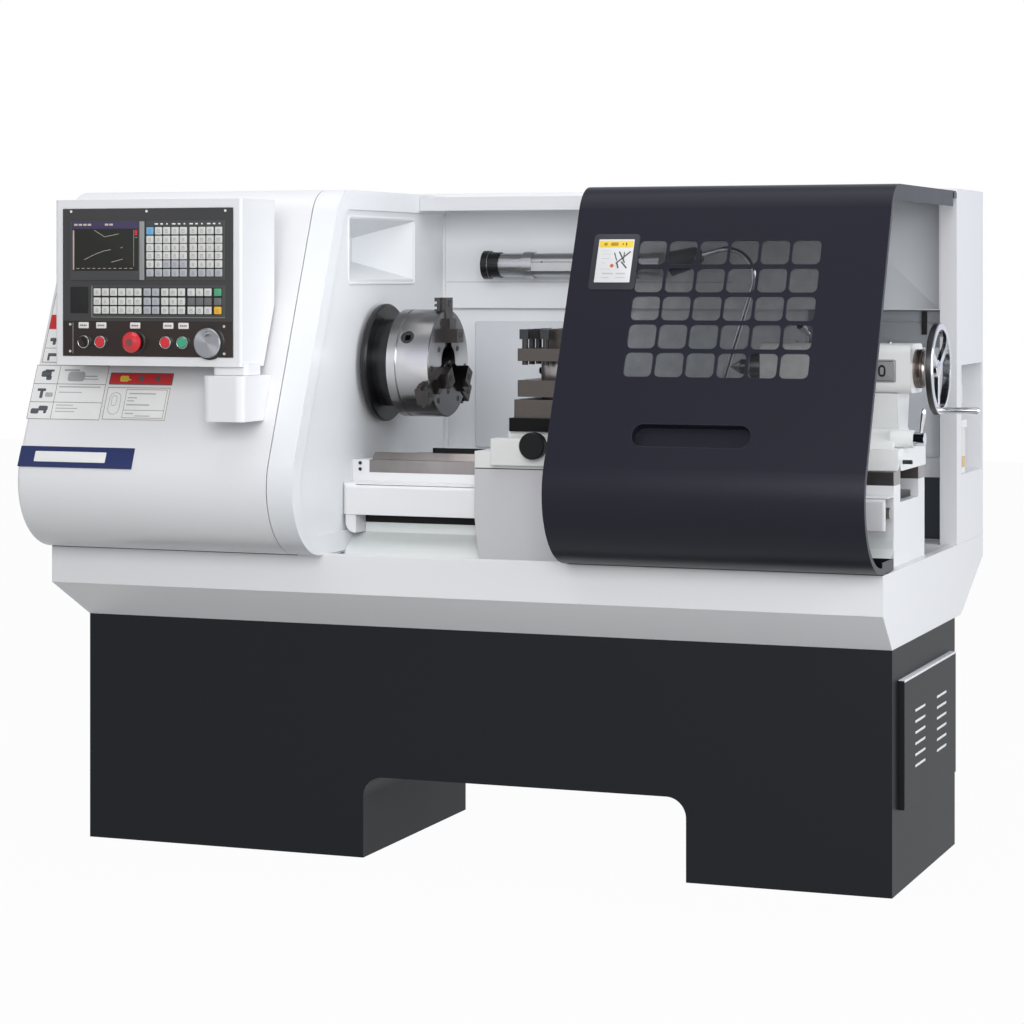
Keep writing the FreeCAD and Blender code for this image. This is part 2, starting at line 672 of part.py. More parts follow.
# ---------------------------------------------------------------- bed
def make_bed():
    head = BED_TOP - WAY_HEAD_DEPTH
    outline = [(BED_FRONT_Y, TRAY_FLOOR_Z), (BED_FRONT_Y, BED_TOP), (BED_BACK_Y, BED_TOP),
               (BED_BACK_Y, TRAY_FLOOR_Z)]
    body = plate_x(outline, (BED_LEFT_X, BED_RIGHT_X))
    neck = WAY_WIDTH
    wall = BED_WALL
    trough = [(BED_FRONT_Y + neck, BED_TOP), (BED_FRONT_Y + neck, head + neck - wall),
              (BED_FRONT_Y + wall, head), (BED_FRONT_Y + wall, TRAY_FLOOR_Z + wall),
              (BED_BACK_Y - wall, TRAY_FLOOR_Z + wall), (BED_BACK_Y - wall, head),
              (BED_BACK_Y - neck, head + neck - wall), (BED_BACK_Y - neck, BED_TOP)]
    left = BULKHEAD_FACE_X
    hollow = plate_x(trough, (left, BED_RIGHT_X - BED_RIB))
    mouth = block((BED_RIGHT_X - BED_RIB, BED_RIGHT_X), (BED_FRONT_Y + neck, BED_BACK_Y - neck),
                  (BED_END_SILL, BED_TOP))
    body = body.cut(hollow).cut(mouth)
    span = BED_RIGHT_X - left
    for number in range(1, BED_RIB_COUNT):
        x = left + span * number / BED_RIB_COUNT
        rib = block((x - BED_RIB / 2, x + BED_RIB / 2), (BED_FRONT_Y + wall, BED_BACK_Y - wall),
                    (TRAY_FLOOR_Z, BED_END_SILL - WAY_HEAD_DEPTH))
        body = body.fuse(rib)
    seat = block((BED_LEFT_X, left), (BED_FRONT_Y, BED_BACK_Y), (BED_TOP, WAY_TOP))
    stops = []
    for y in (BED_FRONT_Y, BED_BACK_Y - WAY_WIDTH):
        stops.append(block((left, WAY_LEFT_X), (y, y + WAY_WIDTH), (BED_TOP, WAY_TOP)))
    return body.fuse([seat] + stops).removeSplitter()


def make_ways():
    """The hardened front way with its vee, and the flat rear way."""
    x = (WAY_LEFT_X, BED_RIGHT_X)
    half = WAY_WIDTH / 2
    front = [(BED_FRONT_Y, BED_TOP), (BED_FRONT_Y, WAY_TOP), (BED_FRONT_Y + half - WAY_VEE_HEIGHT, WAY_TOP),
             (BED_FRONT_Y + half, WAY_TOP + WAY_VEE_HEIGHT), (BED_FRONT_Y + half + WAY_VEE_HEIGHT, WAY_TOP),
             (BED_FRONT_Y + WAY_WIDTH, WAY_TOP), (BED_FRONT_Y + WAY_WIDTH, BED_TOP)]
    rear = [(BED_BACK_Y - WAY_WIDTH, BED_TOP), (BED_BACK_Y - WAY_WIDTH, WAY_TOP), (BED_BACK_Y, WAY_TOP),
            (BED_BACK_Y, BED_TOP)]
    return Part.makeCompound([plate_x(front, x), plate_x(rear, x)])


def vee_groove(x):
    """The space that the front way's vee needs in a piece that slides over it."""
    half = WAY_WIDTH / 2
    middle = BED_FRONT_Y + half
    rise = WAY_VEE_HEIGHT + SADDLE_CLEARANCE
    spread = WAY_VEE_HEIGHT + SADDLE_CLEARANCE * 3
    outline = [(middle - spread, WAY_TOP), (middle, WAY_TOP + rise + SADDLE_CLEARANCE),
               (middle + spread, WAY_TOP)]
    return plate_x(outline, x)


# ---------------------------------------------------------------- headstock
def make_headstock():
    top = WAY_TOP + HEADSTOCK_HEIGHT
    body = block((HEADSTOCK_LEFT_X, HEADSTOCK_RIGHT_X), (BED_FRONT_Y, BED_BACK_Y), (WAY_TOP, top))
    body = round_edges(body, HEADSTOCK_WALL,
                       lambda edge: is_along(edge, X_DIR) and edge.CenterOfMass.z > top - 1)
    wall = HEADSTOCK_WALL
    hollow = block((HEADSTOCK_LEFT_X + BEARING_LENGTH, HEADSTOCK_RIGHT_X - BEARING_LENGTH),
                   (BED_FRONT_Y + wall, BED_BACK_Y - wall), (WAY_TOP + wall, top - wall))
    bore = rod(Vector(HEADSTOCK_LEFT_X, AXIS_Y, AXIS_HEIGHT), X_DIR, HEADSTOCK_RIGHT_X - HEADSTOCK_LEFT_X,
               BEARING_OUTER)
    return body.cut(hollow).cut(bore)


def make_bearings():
    rings = []
    for x in (HEADSTOCK_LEFT_X, HEADSTOCK_RIGHT_X - BEARING_LENGTH):
        start = Vector(x, AXIS_Y, AXIS_HEIGHT)
        rings.append(tube(start, X_DIR, BEARING_LENGTH, BEARING_OUTER - 2 * RUNNING,
                          SPINDLE_DIAMETER + 2 * RUNNING))
    return Part.makeCompound(rings)


def make_spindle():
    nose_left = DISC_BACK_X - SPINDLE_NOSE_LENGTH
    outline = [(SPINDLE_LEFT_X, SPINDLE_BORE / 2), (SPINDLE_LEFT_X, SPINDLE_DIAMETER / 2),
               (nose_left, SPINDLE_DIAMETER / 2), (nose_left, SPINDLE_NOSE_DIAMETER / 2),
               (DISC_BACK_X, SPINDLE_NOSE_DIAMETER / 2), (DISC_BACK_X, SPINDLE_BORE / 2)]
    return revolve_x(outline, Vector(0, AXIS_Y, AXIS_HEIGHT))


def make_backplate():
    """The black splash disc and the hub that carries the chuck."""
    bore = SPINDLE_BORE / 2
    disc = SPLASH_DISC_DIAMETER / 2
    hub = HUB_DIAMETER / 2
    lip = SPLASH_DISC_THICKNESS / 4
    outline = [(DISC_BACK_X, bore), (DISC_BACK_X, disc - lip), (DISC_BACK_X + lip, disc),
               (HUB_BACK_X - lip, disc),
               (HUB_BACK_X, disc - lip), (HUB_BACK_X, hub), (ADAPTER_BACK_X, hub), (ADAPTER_BACK_X, bore)]
    return revolve_x(outline, Vector(0, AXIS_Y, AXIS_HEIGHT))


def jaw_tool(clearance):
    """The slot that a jaw's base and tongue need, for the jaw at the top."""
    half = JAW_WIDTH / 2 + clearance
    base = AXIS_HEIGHT + JAW_INNER_RADIUS - JAW_TRAVEL_IN - 1
    slot = block((CHUCK_FACE_X - JAW_DEPTH - clearance, CHUCK_FACE_X), (AXIS_Y - half, AXIS_Y + half),
                 (base, AXIS_HEIGHT + CHUCK_DIAMETER))
    tongue_x = CHUCK_FACE_X - JAW_DEPTH / 2
    tongue = block((tongue_x - clearance - JAW_LIP / 2, tongue_x + clearance + JAW_LIP / 2),
                   (AXIS_Y - half - JAW_LIP, AXIS_Y + half + JAW_LIP), (base, AXIS_HEIGHT + CHUCK_DIAMETER))
    return slot.fuse(tongue)


def make_chuck_body():
    axis = Vector(0, AXIS_Y, AXIS_HEIGHT)
    radius = CHUCK_DIAMETER / 2
    bevel = JAW_LIP / 3
    outline = [(ADAPTER_BACK_X, CHUCK_BORE / 2), (ADAPTER_BACK_X, radius - bevel),
               (ADAPTER_BACK_X + bevel, radius),
               (CHUCK_BACK_X - bevel, radius), (CHUCK_BACK_X, radius - bevel), (CHUCK_BACK_X + bevel, radius),
               (CHUCK_FACE_X - bevel, radius), (CHUCK_FACE_X, radius - bevel), (CHUCK_FACE_X, CHUCK_BORE / 2)]
    body = revolve_x(outline, axis)
    for number in range(3):
        body = body.cut(about_spindle(jaw_tool(JAW_CLEARANCE), number * 120))
        body = body.cut(about_spindle(pinion_blank(PINION_DIAMETER + 2 * RUNNING, PINION_LENGTH + RUNNING),
                                      number * 120 + 60))
    return body


def make_jaw(number):
    """A hard stepped jaw; the first stands at the top."""
    z_in = AXIS_HEIGHT + JAW_INNER_RADIUS
    z_out = AXIS_HEIGHT + JAW_OUTER_RADIUS
    face = CHUCK_FACE_X + JAW_RISE
    outline = [(CHUCK_FACE_X - JAW_DEPTH, z_in), (CHUCK_FACE_X - JAW_DEPTH, z_out), (face, z_out)]
    for height, radius in zip(JAW_STEP_HEIGHTS, JAW_STEP_RADII):
        last_x = outline[-1][0]
        outline.append((last_x, AXIS_HEIGHT + radius))
        outline.append((CHUCK_FACE_X + height, AXIS_HEIGHT + radius))
    outline.append((outline[-1][0], z_in))
    jaw = plate_y(outline, (AXIS_Y - JAW_WIDTH / 2, AXIS_Y + JAW_WIDTH / 2))
    tongue_x = CHUCK_FACE_X - JAW_DEPTH / 2
    tongue = block((tongue_x - JAW_LIP / 2, tongue_x + JAW_LIP / 2),
                   (AXIS_Y - JAW_WIDTH / 2 - JAW_LIP, AXIS_Y + JAW_WIDTH / 2 + JAW_LIP), (z_in, z_out))
    gullet = JAW_LIP * 2
    jaw = jaw.fuse(tongue)
    teeth = int((JAW_OUTER_RADIUS - JAW_INNER_RADIUS) / gullet)
    for tooth in range(teeth):
        z = z_in + (tooth + 0.5) * gullet
        notch = block((CHUCK_FACE_X - JAW_DEPTH, CHUCK_FACE_X - JAW_DEPTH + JAW_LIP),
                      (AXIS_Y - JAW_WIDTH / 2, AXIS_Y + JAW_WIDTH / 2), (z, z + gullet / 2))
        jaw = jaw.cut(notch)
    return about_spindle(jaw, number * 120)


def pinion_blank(diameter, length):
    start = Vector(CHUCK_FACE_X - PINION_SETBACK, AXIS_Y, AXIS_HEIGHT + CHUCK_DIAMETER / 2 - length)
    return rod(start, Z_DIR, length + CHUCK_DIAMETER, diameter)


def make_pinion(number):
    """A chuck pinion with a square key socket, in the body between two jaws."""
    x = CHUCK_FACE_X - PINION_SETBACK
    top = AXIS_HEIGHT + CHUCK_DIAMETER / 2 - JAW_LIP / 2
    bottom = AXIS_HEIGHT + CHUCK_DIAMETER / 2 - PINION_LENGTH
    blank = rod(Vector(x, AXIS_Y, bottom), Z_DIR, top - bottom, PINION_DIAMETER)
    half = PINION_SQUARE / 2
    socket = block((x - half, x + half), (AXIS_Y - half, AXIS_Y + half), (top - PINION_SOCKET_DEPTH, top))
    return about_spindle(blank.cut(socket), number * 120 + 60)


def make_pulley(y, z, diameter, bore):
    """A vee-grooved pulley on the drive's plane."""
    radius = diameter / 2
    groove = BELT_THICKNESS
    left = PULLEY_X
    right = PULLEY_X + PULLEY_WIDTH
    outline = [(left, bore / 2), (left, radius), (left + groove, radius), (left + groove, radius - groove),
               (right - groove, radius - groove), (right - groove, radius), (right, radius),
               (right, bore / 2)]
    return revolve_x(outline, Vector(0, y, z))


def make_belt():
    """A flat ring round both pulleys, hung on their grooves."""
    gap = SEAT_GAP
    big = SPINDLE_PULLEY_DIAMETER / 2 - BELT_THICKNESS + gap
    small = MOTOR_PULLEY_DIAMETER / 2 - BELT_THICKNESS + gap
    left = PULLEY_X + BELT_THICKNESS + gap
    width = PULLEY_WIDTH - 2 * BELT_THICKNESS - 2 * gap

    def loop(extra):
        first = Vector(left, AXIS_Y, AXIS_HEIGHT)
        second = Vector(left, MOTOR_Y, MOTOR_Z)
        run = second - first
        lean = math.atan2(run.z, run.y)
        spread = math.acos((big - small) / run.Length)

        def at(centre, radius, angle):
            return centre + Vector(0, math.cos(angle), math.sin(angle)) * radius

        a = at(first, big + extra, lean + spread)
        b = at(second, small + extra, lean + spread)
        c = at(second, small + extra, lean)
        d = at(second, small + extra, lean - spread)
        e = at(first, big + extra, lean - spread)
        f = at(first, big + extra, lean + math.pi)
        edges = [Part.LineSegment(a, b).toShape(), Part.Arc(b, c, d).toShape(),
                 Part.LineSegment(d, e).toShape(), Part.Arc(e, f, a).toShape()]
        return Part.Face(Part.Wire(edges)).extrude(Vector(width, 0, 0))

    return loop(BELT_THICKNESS - 2 * gap).cut(loop(0))


def make_motor():
    """The main motor on a plate behind the headstock casting."""
    right = HEADSTOCK_LEFT_X + MOTOR_LENGTH
    left = HEADSTOCK_LEFT_X - SEAT_GAP
    body = rod(Vector(left, MOTOR_Y, MOTOR_Z), X_DIR, right - left, MOTOR_DIAMETER)
    fins = []
    for number in range(MOTOR_FINS):
        x = left + MOTOR_LENGTH * (number + 1) / (MOTOR_FINS + 2)
        fins.append(rod(Vector(x, MOTOR_Y, MOTOR_Z), X_DIR, BELT_THICKNESS,
                        MOTOR_DIAMETER + 2 * BELT_THICKNESS))
    shaft_left = PULLEY_X
    shaft = rod(Vector(shaft_left, MOTOR_Y, MOTOR_Z), X_DIR, left - shaft_left, MOTOR_SHAFT - 2 * RUNNING)
    foot = block((left, right), (BED_BACK_Y, MOTOR_Y + MOTOR_DIAMETER / 2),
                 (WAY_TOP - HEADSTOCK_WALL, WAY_TOP))
    cradle = block((left, right), (MOTOR_Y - MOTOR_DIAMETER / 3, MOTOR_Y + MOTOR_DIAMETER / 3),
                   (WAY_TOP, MOTOR_Z))
    return body.fuse(fins + [shaft, foot, cradle]).removeSplitter()


def make_headstock_cover():
    """One formed shell: front, belly, roof and left end, open to the bulkhead, the bed and the housing."""
    right = BULKHEAD_LEFT_X - BULKHEAD_SEAM
    back = HOUSING_FRONT_Y - SEAT_GAP
    base = TRAY_RIM_TOP
    outer = section_solid(0, (TRAY_LEFT_X, right), base, back, back)
    outer = round_edges(outer, COVER_END_ROUND,
                        lambda edge: edge.CenterOfMass.x < TRAY_LEFT_X + 0.1 and edge.BoundBox.XLength < 0.1
                        and edge.BoundBox.YMin < back - 1 and edge.BoundBox.ZMax > base + 1)
    inner = section_solid(COVER_SKIN, (TRAY_LEFT_X + COVER_SKIN, right), base, back, back)
    below = block((TRAY_LEFT_X + COVER_SKIN, right), (BELLY_Y + GUARD_FOOT, back), (base, base + COVER_SKIN))
    return outer.cut(inner).cut(below)


def make_bulkhead():
    """The end frame: a band that continues the cover, a border, and a recessed wall with a niche."""
    base = TRAY_RIM_TOP
    back = HOUSING_FRONT_Y - SEAT_GAP
    x = (BULKHEAD_LEFT_X, BULKHEAD_RIGHT_X)
    solid = section_solid(0, x, base, back, back)
    front_space = section_solid(BULKHEAD_BORDER, (BULKHEAD_FACE_X, BULKHEAD_RIGHT_X), base, back, back)
    rear_space = section_solid(BULKHEAD_SKIN, (BULKHEAD_LEFT_X, BULKHEAD_FACE_X - BULKHEAD_WALL), base,
                               back, back)
    frame = solid.cut(front_space).cut(rear_space)
    below = block((BULKHEAD_LEFT_X, BULKHEAD_FACE_X - BULKHEAD_WALL), (BELLY_Y + GUARD_FOOT, back),
                  (base, base + BULKHEAD_SKIN))
    passage = block(x, (BED_FRONT_Y - SEAT_GAP, BED_BACK_Y + SEAT_GAP), (base, WAY_TOP + SEAT_GAP))
    frame = frame.cut(below).cut(passage)
    niche = niche_form(NICHE_WALL, 0)
    frame = frame.fuse(niche).cut(niche_form(0, 1))
    opening = rod(Vector(BULKHEAD_LEFT_X, AXIS_Y, AXIS_HEIGHT), X_DIR, BULKHEAD_WIDTH, SPINDLE_OPENING)
    return frame.cut(opening)


def niche_form(wall, forward):
    """The niche's tapered pocket, from the wall's face back to its small floor panel."""
    face = BULKHEAD_FACE_X + forward
    deep = BULKHEAD_FACE_X - NICHE_DEPTH - wall
    front_y = NICHE_FRONT_Y - wall
    front_z = NICHE_BASE_Z - wall
    back_y = NICHE_FRONT_Y + NICHE_DEPTH / 2 - wall
    back_z = NICHE_BASE_Z + (NICHE_HEIGHT - NICHE_BACK_HEIGHT) / 2 - wall

    def frame(x, y, z, width, height):
        points = [Vector(x, y, z), Vector(x, y + width, z), Vector(x, y + width, z + height),
                  Vector(x, y, z + height)]
        return Part.makePolygon(points + points[:1])

    mouth = frame(face, front_y, front_z, NICHE_WIDTH + 2 * wall, NICHE_HEIGHT + 2 * wall)
    floor = frame(deep, back_y, back_z, NICHE_BACK_WIDTH + 2 * wall, NICHE_BACK_HEIGHT + 2 * wall)
    return Part.makeLoft([mouth, floor], True, True)


# ---------------------------------------------------------------- rear
def make_housing():
    body = block((TRAY_LEFT_X, STAND_RIGHT_X), (HOUSING_FRONT_Y, TRAY_BACK_Y), (TRAY_RIM_TOP, HOUSING_TOP))
    recess = block((BULKHEAD_RIGHT_X, STAND_RIGHT_X - COLUMN_WIDTH),
                   (HOUSING_FRONT_Y, HOUSING_FRONT_Y + HOUSING_RECESS),
                   (TRAY_RIM_TOP, HOUSING_TOP - COLUMN_WIDTH / 2))
    pocket = block((STAND_RIGHT_X - POCKET_DEPTH, STAND_RIGHT_X),
                   (POCKET_FRONT_Y, POCKET_FRONT_Y + POCKET_WIDTH),
                   (POCKET_BASE, POCKET_TOP))
    inset = CABINET_DOOR_THICKNESS
    cabinet = block((CABINET_DOOR_X + inset, CABINET_DOOR_X + CABINET_DOOR_LENGTH - inset),
                    (TRAY_BACK_Y - POCKET_DEPTH * 2, TRAY_BACK_Y),
                    (CABINET_DOOR_BASE + inset, CABINET_DOOR_BASE + CABINET_DOOR_HEIGHT - inset))
    return body.cut(recess).cut(pocket).cut(cabinet)


def make_rear_wall():
    """The formed sheet behind the work area: the upper panel stands forward of the lower one."""
    sheet = WALL_SHEET
    front = HOUSING_FRONT_Y + SEAT_GAP
    low = front + WALL_STEP
    back = HOUSING_FRONT_Y + HOUSING_RECESS - SEAT_GAP
    top = HOUSING_TOP - COLUMN_WIDTH / 2 - SEAT_GAP
    outline = [(low, WALL_BASE), (low, WALL_STEP_Z), (front, WALL_STEP_Z), (front, top), (back, top),
               (back, top - sheet), (front + sheet, top - sheet), (front + sheet, WALL_STEP_Z + sheet),
               (low + sheet, WALL_STEP_Z + sheet), (low + sheet, WALL_BASE + sheet),
               (back, WALL_BASE + sheet),
               (back, WALL_BASE)]
    return plate_x(outline, (BULKHEAD_RIGHT_X + SEAT_GAP, STAND_RIGHT_X - COLUMN_WIDTH - SEAT_GAP))


def make_canopy():
    sheet = WALL_SHEET
    back = HOUSING_FRONT_Y
    outline = [(CANOPY_FRONT_Y, CANOPY_FASCIA_BASE), (CANOPY_FRONT_Y, CANOPY_FASCIA_TOP),
               (CANOPY_FRONT_Y + sheet, CANOPY_FASCIA_TOP), (CANOPY_FRONT_Y + sheet, CANOPY_ROOF),
               (back, CANOPY_ROOF), (back, CANOPY_ROOF - sheet),
               (CANOPY_FRONT_Y + sheet * 5, CANOPY_ROOF - sheet),
               (CANOPY_FRONT_Y + sheet, CANOPY_ROOF - sheet * 5),
               (CANOPY_FRONT_Y + sheet, CANOPY_FASCIA_BASE + sheet),
               (CANOPY_FRONT_Y + sheet * 4, CANOPY_FASCIA_BASE + sheet),
               (CANOPY_FRONT_Y + sheet * 4, CANOPY_FASCIA_BASE)]
    return plate_x(outline, (BULKHEAD_RIGHT_X + SEAT_GAP, CANOPY_RIGHT_X))


def make_cabinet_door():
    """The electrical cabinet's door on the back, with its hinge knuckles."""
    back = TRAY_BACK_Y + SEAT_GAP
    door = block((CABINET_DOOR_X, CABINET_DOOR_X + CABINET_DOOR_LENGTH),
                 (back, back + CABINET_DOOR_THICKNESS),
                 (CABINET_DOOR_BASE, CABINET_DOOR_BASE + CABINET_DOOR_HEIGHT))
    door = round_edges(door, CABINET_DOOR_THICKNESS / 4,
                       lambda edge: edge.CenterOfMass.y > back + CABINET_DOOR_THICKNESS - 0.1)
    hinge_x = CABINET_DOOR_X
    hinge_y = back + CABINET_HINGE_DIAMETER / 2
    knuckles = []
    for share in CABINET_HINGE_SHARES:
        z = CABINET_DOOR_BASE + CABINET_DOOR_HEIGHT * share - CABINET_HINGE_LENGTH / 2
        knuckles.append(rod(Vector(hinge_x, hinge_y, z), Z_DIR, CABINET_HINGE_LENGTH, CABINET_HINGE_DIAMETER))
    handle_right = CABINET_DOOR_X + CABINET_DOOR_LENGTH - CABINET_HANDLE_INSET
    middle_z = CABINET_DOOR_BASE + CABINET_DOOR_HEIGHT / 2
    handle = block((handle_right - CABINET_HANDLE_WIDTH, handle_right),
                   (back + CABINET_DOOR_THICKNESS, back + CABINET_DOOR_THICKNESS * 2),
                   (middle_z - CABINET_HANDLE_LENGTH / 2, middle_z + CABINET_HANDLE_LENGTH / 2))
    return door.fuse(knuckles + [handle])


def make_tube_lamp():
    """The sealed work light on the rear wall: end flange, collar, tube and two clamps."""
    left = TUBE_LEFT_X
    tube_left = left + TUBE_CAP_LENGTH + TUBE_COLLAR_LENGTH
    collar = TUBE_DIAMETER + 2 * TUBE_COLLAR_STEP
    parts = [rod(Vector(left, TUBE_Y, TUBE_Z), X_DIR, TUBE_CAP_LENGTH, TUBE_CAP_DIAMETER),
             rod(Vector(left + TUBE_CAP_LENGTH, TUBE_Y, TUBE_Z), X_DIR, TUBE_COLLAR_LENGTH, collar),
             rod(Vector(tube_left, TUBE_Y, TUBE_Z), X_DIR, TUBE_LENGTH, TUBE_DIAMETER),
             rod(Vector(tube_left + TUBE_LENGTH, TUBE_Y, TUBE_Z), X_DIR, TUBE_COLLAR_LENGTH, collar)]
    back = HOUSING_FRONT_Y
    for share in TUBE_CLAMP_SHARES:
        x = tube_left + TUBE_LENGTH * share
        ring = rod(Vector(x, TUBE_Y, TUBE_Z), X_DIR, TUBE_COLLAR_LENGTH, TUBE_DIAMETER + 2 * TUBE_CLAMP_STEP)
        foot = block((x, x + TUBE_COLLAR_LENGTH), (TUBE_Y, back),
                     (TUBE_Z - TUBE_DIAMETER / 3, TUBE_Z + TUBE_DIAMETER / 3))
        parts += [ring, foot]
    return parts[0].fuse(parts[1:]).removeSplitter()


def neck_route():
    """The neck's straight rise, its bend over to the left and its short end, as points and a direction."""
    lean = math.radians(NECK_LEAN)
    droop = math.radians(NECK_DROOP)
    start = Vector(NECK_X, NECK_Y, NECK_BASE_Z)
    rise = Vector(math.sin(lean), 0, math.cos(lean))
    upper = start + rise * NECK_RISE
    centre = upper - Vector(math.cos(lean), 0, -math.sin(lean)) * NECK_BEND_RADIUS
    half = (math.pi / 2 + droop - lean) / 2
    crest = centre + Vector(math.cos(half), 0, math.sin(half)) * NECK_BEND_RADIUS
    finish = Vector(-math.sin(droop), 0, math.cos(droop))
    end = centre + finish * NECK_BEND_RADIUS
    heading = Vector(-math.cos(droop), 0, -math.sin(droop))
    return start, rise, upper, crest, end, heading


def make_gooseneck():
    """The flexible neck of the spot lamp and the foot that holds it on the rear wall."""
    start, rise, upper, crest, end, heading = neck_route()
    half = NECK_FOOT_WIDTH / 2
    foot = block((start.x - half, start.x + half), (start.y - NECK_DIAMETER, HOUSING_FRONT_Y + WALL_STEP),
                 (start.z - NECK_FOOT_HEIGHT, start.z))
    foot = round_edges(foot, NECK_DIAMETER / 2, lambda edge: is_along(edge, Y_DIR))
    tip = end + heading * NECK_REACH
    bend = Part.Arc(upper, crest, end).toShape()
    path = Part.Wire([Part.LineSegment(start, upper).toShape(), bend, Part.LineSegment(end, tip).toShape()])
    circle = Part.Wire(Part.makeCircle(NECK_DIAMETER / 2, start, rise))
    neck = path.makePipeShell([circle], True, False)
    return foot.fuse(neck)


def make_lamp_head():
    """The spot lamp's open shade, in line with the neck's end."""
    heading, end = neck_route()[5], neck_route()[4]
    start = end + heading * (NECK_REACH + SEAT_GAP)
    radius = LAMP_HEAD_DIAMETER / 2
    neck = NECK_DIAMETER
    wall = LAMP_HEAD_WALL
    throat = radius * 0.8
    outline = [(0, 0), (0, neck), (neck, throat), (LAMP_HEAD_LENGTH, radius),
               (LAMP_HEAD_LENGTH, throat - wall),
               (neck * 2, throat - wall), (neck * 2, 0)]
    side = Vector(-heading.z, 0, heading.x)
    points = [start + heading * along + side * out for along, out in outline]
    return Part.Face(Part.makePolygon(points + points[:1])).revolve(start, heading, 360)


def make_screw_cover():
    """The painted cover over the feed screw and the bearing housing at its left end."""
    front = SCREW_COVER_FRONT_Y
    back = SCREW_COVER_FRONT_Y + SCREW_COVER_DEPTH
    left = BULKHEAD_FACE_X + SEAT_GAP
    right = BED_RIGHT_X
    base = SCREW_COVER_BASE
    top = base + SCREW_COVER_HEIGHT
    cover = block((left, right), (front, back), (base, top))
    cover = round_edges(cover, SCREW_COVER_ROUND,
                        lambda edge: edge.CenterOfMass.y < front + 0.1 and edge.CenterOfMass.z > base + 1)
    screw_z = base + SCREW_COVER_HEIGHT / 2
    screw_y = front + SCREW_COVER_DEPTH / 2
    bracket = (BULKHEAD_RIGHT_X + SEAT_GAP, BULKHEAD_RIGHT_X + SEAT_GAP + SCREW_BEARING_WIDTH)
    hollow = block((bracket[1], right), (front + SLIDE_SHEET, back), (base, top - SLIDE_SHEET))
    cover = cover.cut(hollow)
    low = base - SCREW_BEARING_DROP
    shank = block(bracket, (front + SLIDE_SHEET, back), (low, base))
    shank = round_edges(shank, SCREW_BEARING_ROUND,
                        lambda edge: edge.CenterOfMass.z < low + 1 and edge.CenterOfMass.x < bracket[0] + 0.1)
    bearing_bore = rod(Vector(left, screw_y, screw_z), X_DIR, bracket[1] - left, SCREW_DIAMETER + 2 * RUNNING)
    return cover.fuse(shank).cut(bearing_bore).removeSplitter()


def make_feed_screw():
    """The ball screw under the cover; it ends in a bearing housing at each end."""
    y = SCREW_COVER_FRONT_Y + SCREW_COVER_DEPTH / 2
    z = SCREW_COVER_BASE + SCREW_COVER_HEIGHT / 2
    left = BULKHEAD_FACE_X + SEAT_GAP
    return rod(Vector(left, y, z), X_DIR, BED_RIGHT_X - left, SCREW_DIAMETER)


# ---------------------------------------------------------------- carriage
def make_saddle():
    left = CARRIAGE_X - SADDLE_LENGTH / 2
    right = CARRIAGE_X + SADDLE_LENGTH / 2
    base = WAY_TOP + SADDLE_CLEARANCE
    top = base + SADDLE_THICKNESS
    front = APRON_FRONT_Y + APRON_SHEET
    plate = block((left, right), (front, front + SADDLE_DEPTH), (base, top))
    plate = plate.cut(vee_groove((left, right)))
    wing = block((left + SADDLE_THICKNESS, right - SADDLE_THICKNESS),
                 (front, BED_FRONT_Y - SADDLE_CLEARANCE * 3),
                 (SCREW_COVER_BASE + SCREW_COVER_HEIGHT + SADDLE_CLEARANCE * 3, base))
    inset = (SADDLE_LENGTH - APRON_LENGTH) / 2 + APRON_SHEET
    apron_seat = block((left + inset, right - inset), (front, front + SADDLE_THICKNESS),
                       (WAY_TOP - SADDLE_THICKNESS, base))
    bridge = block((CARRIAGE_X - SADDLE_BRIDGE_LENGTH / 2, CARRIAGE_X + SADDLE_BRIDGE_LENGTH / 2),
                   (SADDLE_BRIDGE_FRONT_Y, SADDLE_BRIDGE_FRONT_Y + SADDLE_BRIDGE_DEPTH),
                   (top - SADDLE_THICKNESS / 2, SADDLE_BRIDGE_TOP))
    neck = block((CARRIAGE_X - SADDLE_BRIDGE_LENGTH / 2, CARRIAGE_X + SADDLE_BRIDGE_LENGTH / 2),
                 (SADDLE_BRIDGE_FRONT_Y, front + SADDLE_THICKNESS), (WAY_TOP + SADDLE_CLEARANCE, top))
    brow = block((left, right), (APRON_FRONT_Y, front), (APRON_TOP, top))
    tenon = plate_y(dovetail_outline(top, 0), (CROSS_SLIDE_FRONT_Y, front + SADDLE_DEPTH))
    cap_seat = rod(Vector(FEED_CAP_X, SADDLE_BRIDGE_FRONT_Y, FEED_CAP_Z), Y_DIR, SADDLE_BRIDGE_DEPTH / 2,
                   FEED_SPIGOT_DIAMETER + 2 * RUNNING)
    body = plate.fuse([wing, apron_seat, bridge, neck, brow, tenon])
    return body.cut(cap_seat).removeSplitter()


def dovetail_outline(top, clearance):
    """The dovetail between saddle and cross slide, wider at its top."""
    half = DOVETAIL_WIDTH / 2 + clearance
    return [(CARRIAGE_X - half, top), (CARRIAGE_X - half - DOVETAIL_FLARE, top + DOVETAIL_HEIGHT + clearance),
            (CARRIAGE_X + half + DOVETAIL_FLARE, top + DOVETAIL_HEIGHT + clearance), (CARRIAGE_X + half, top)]


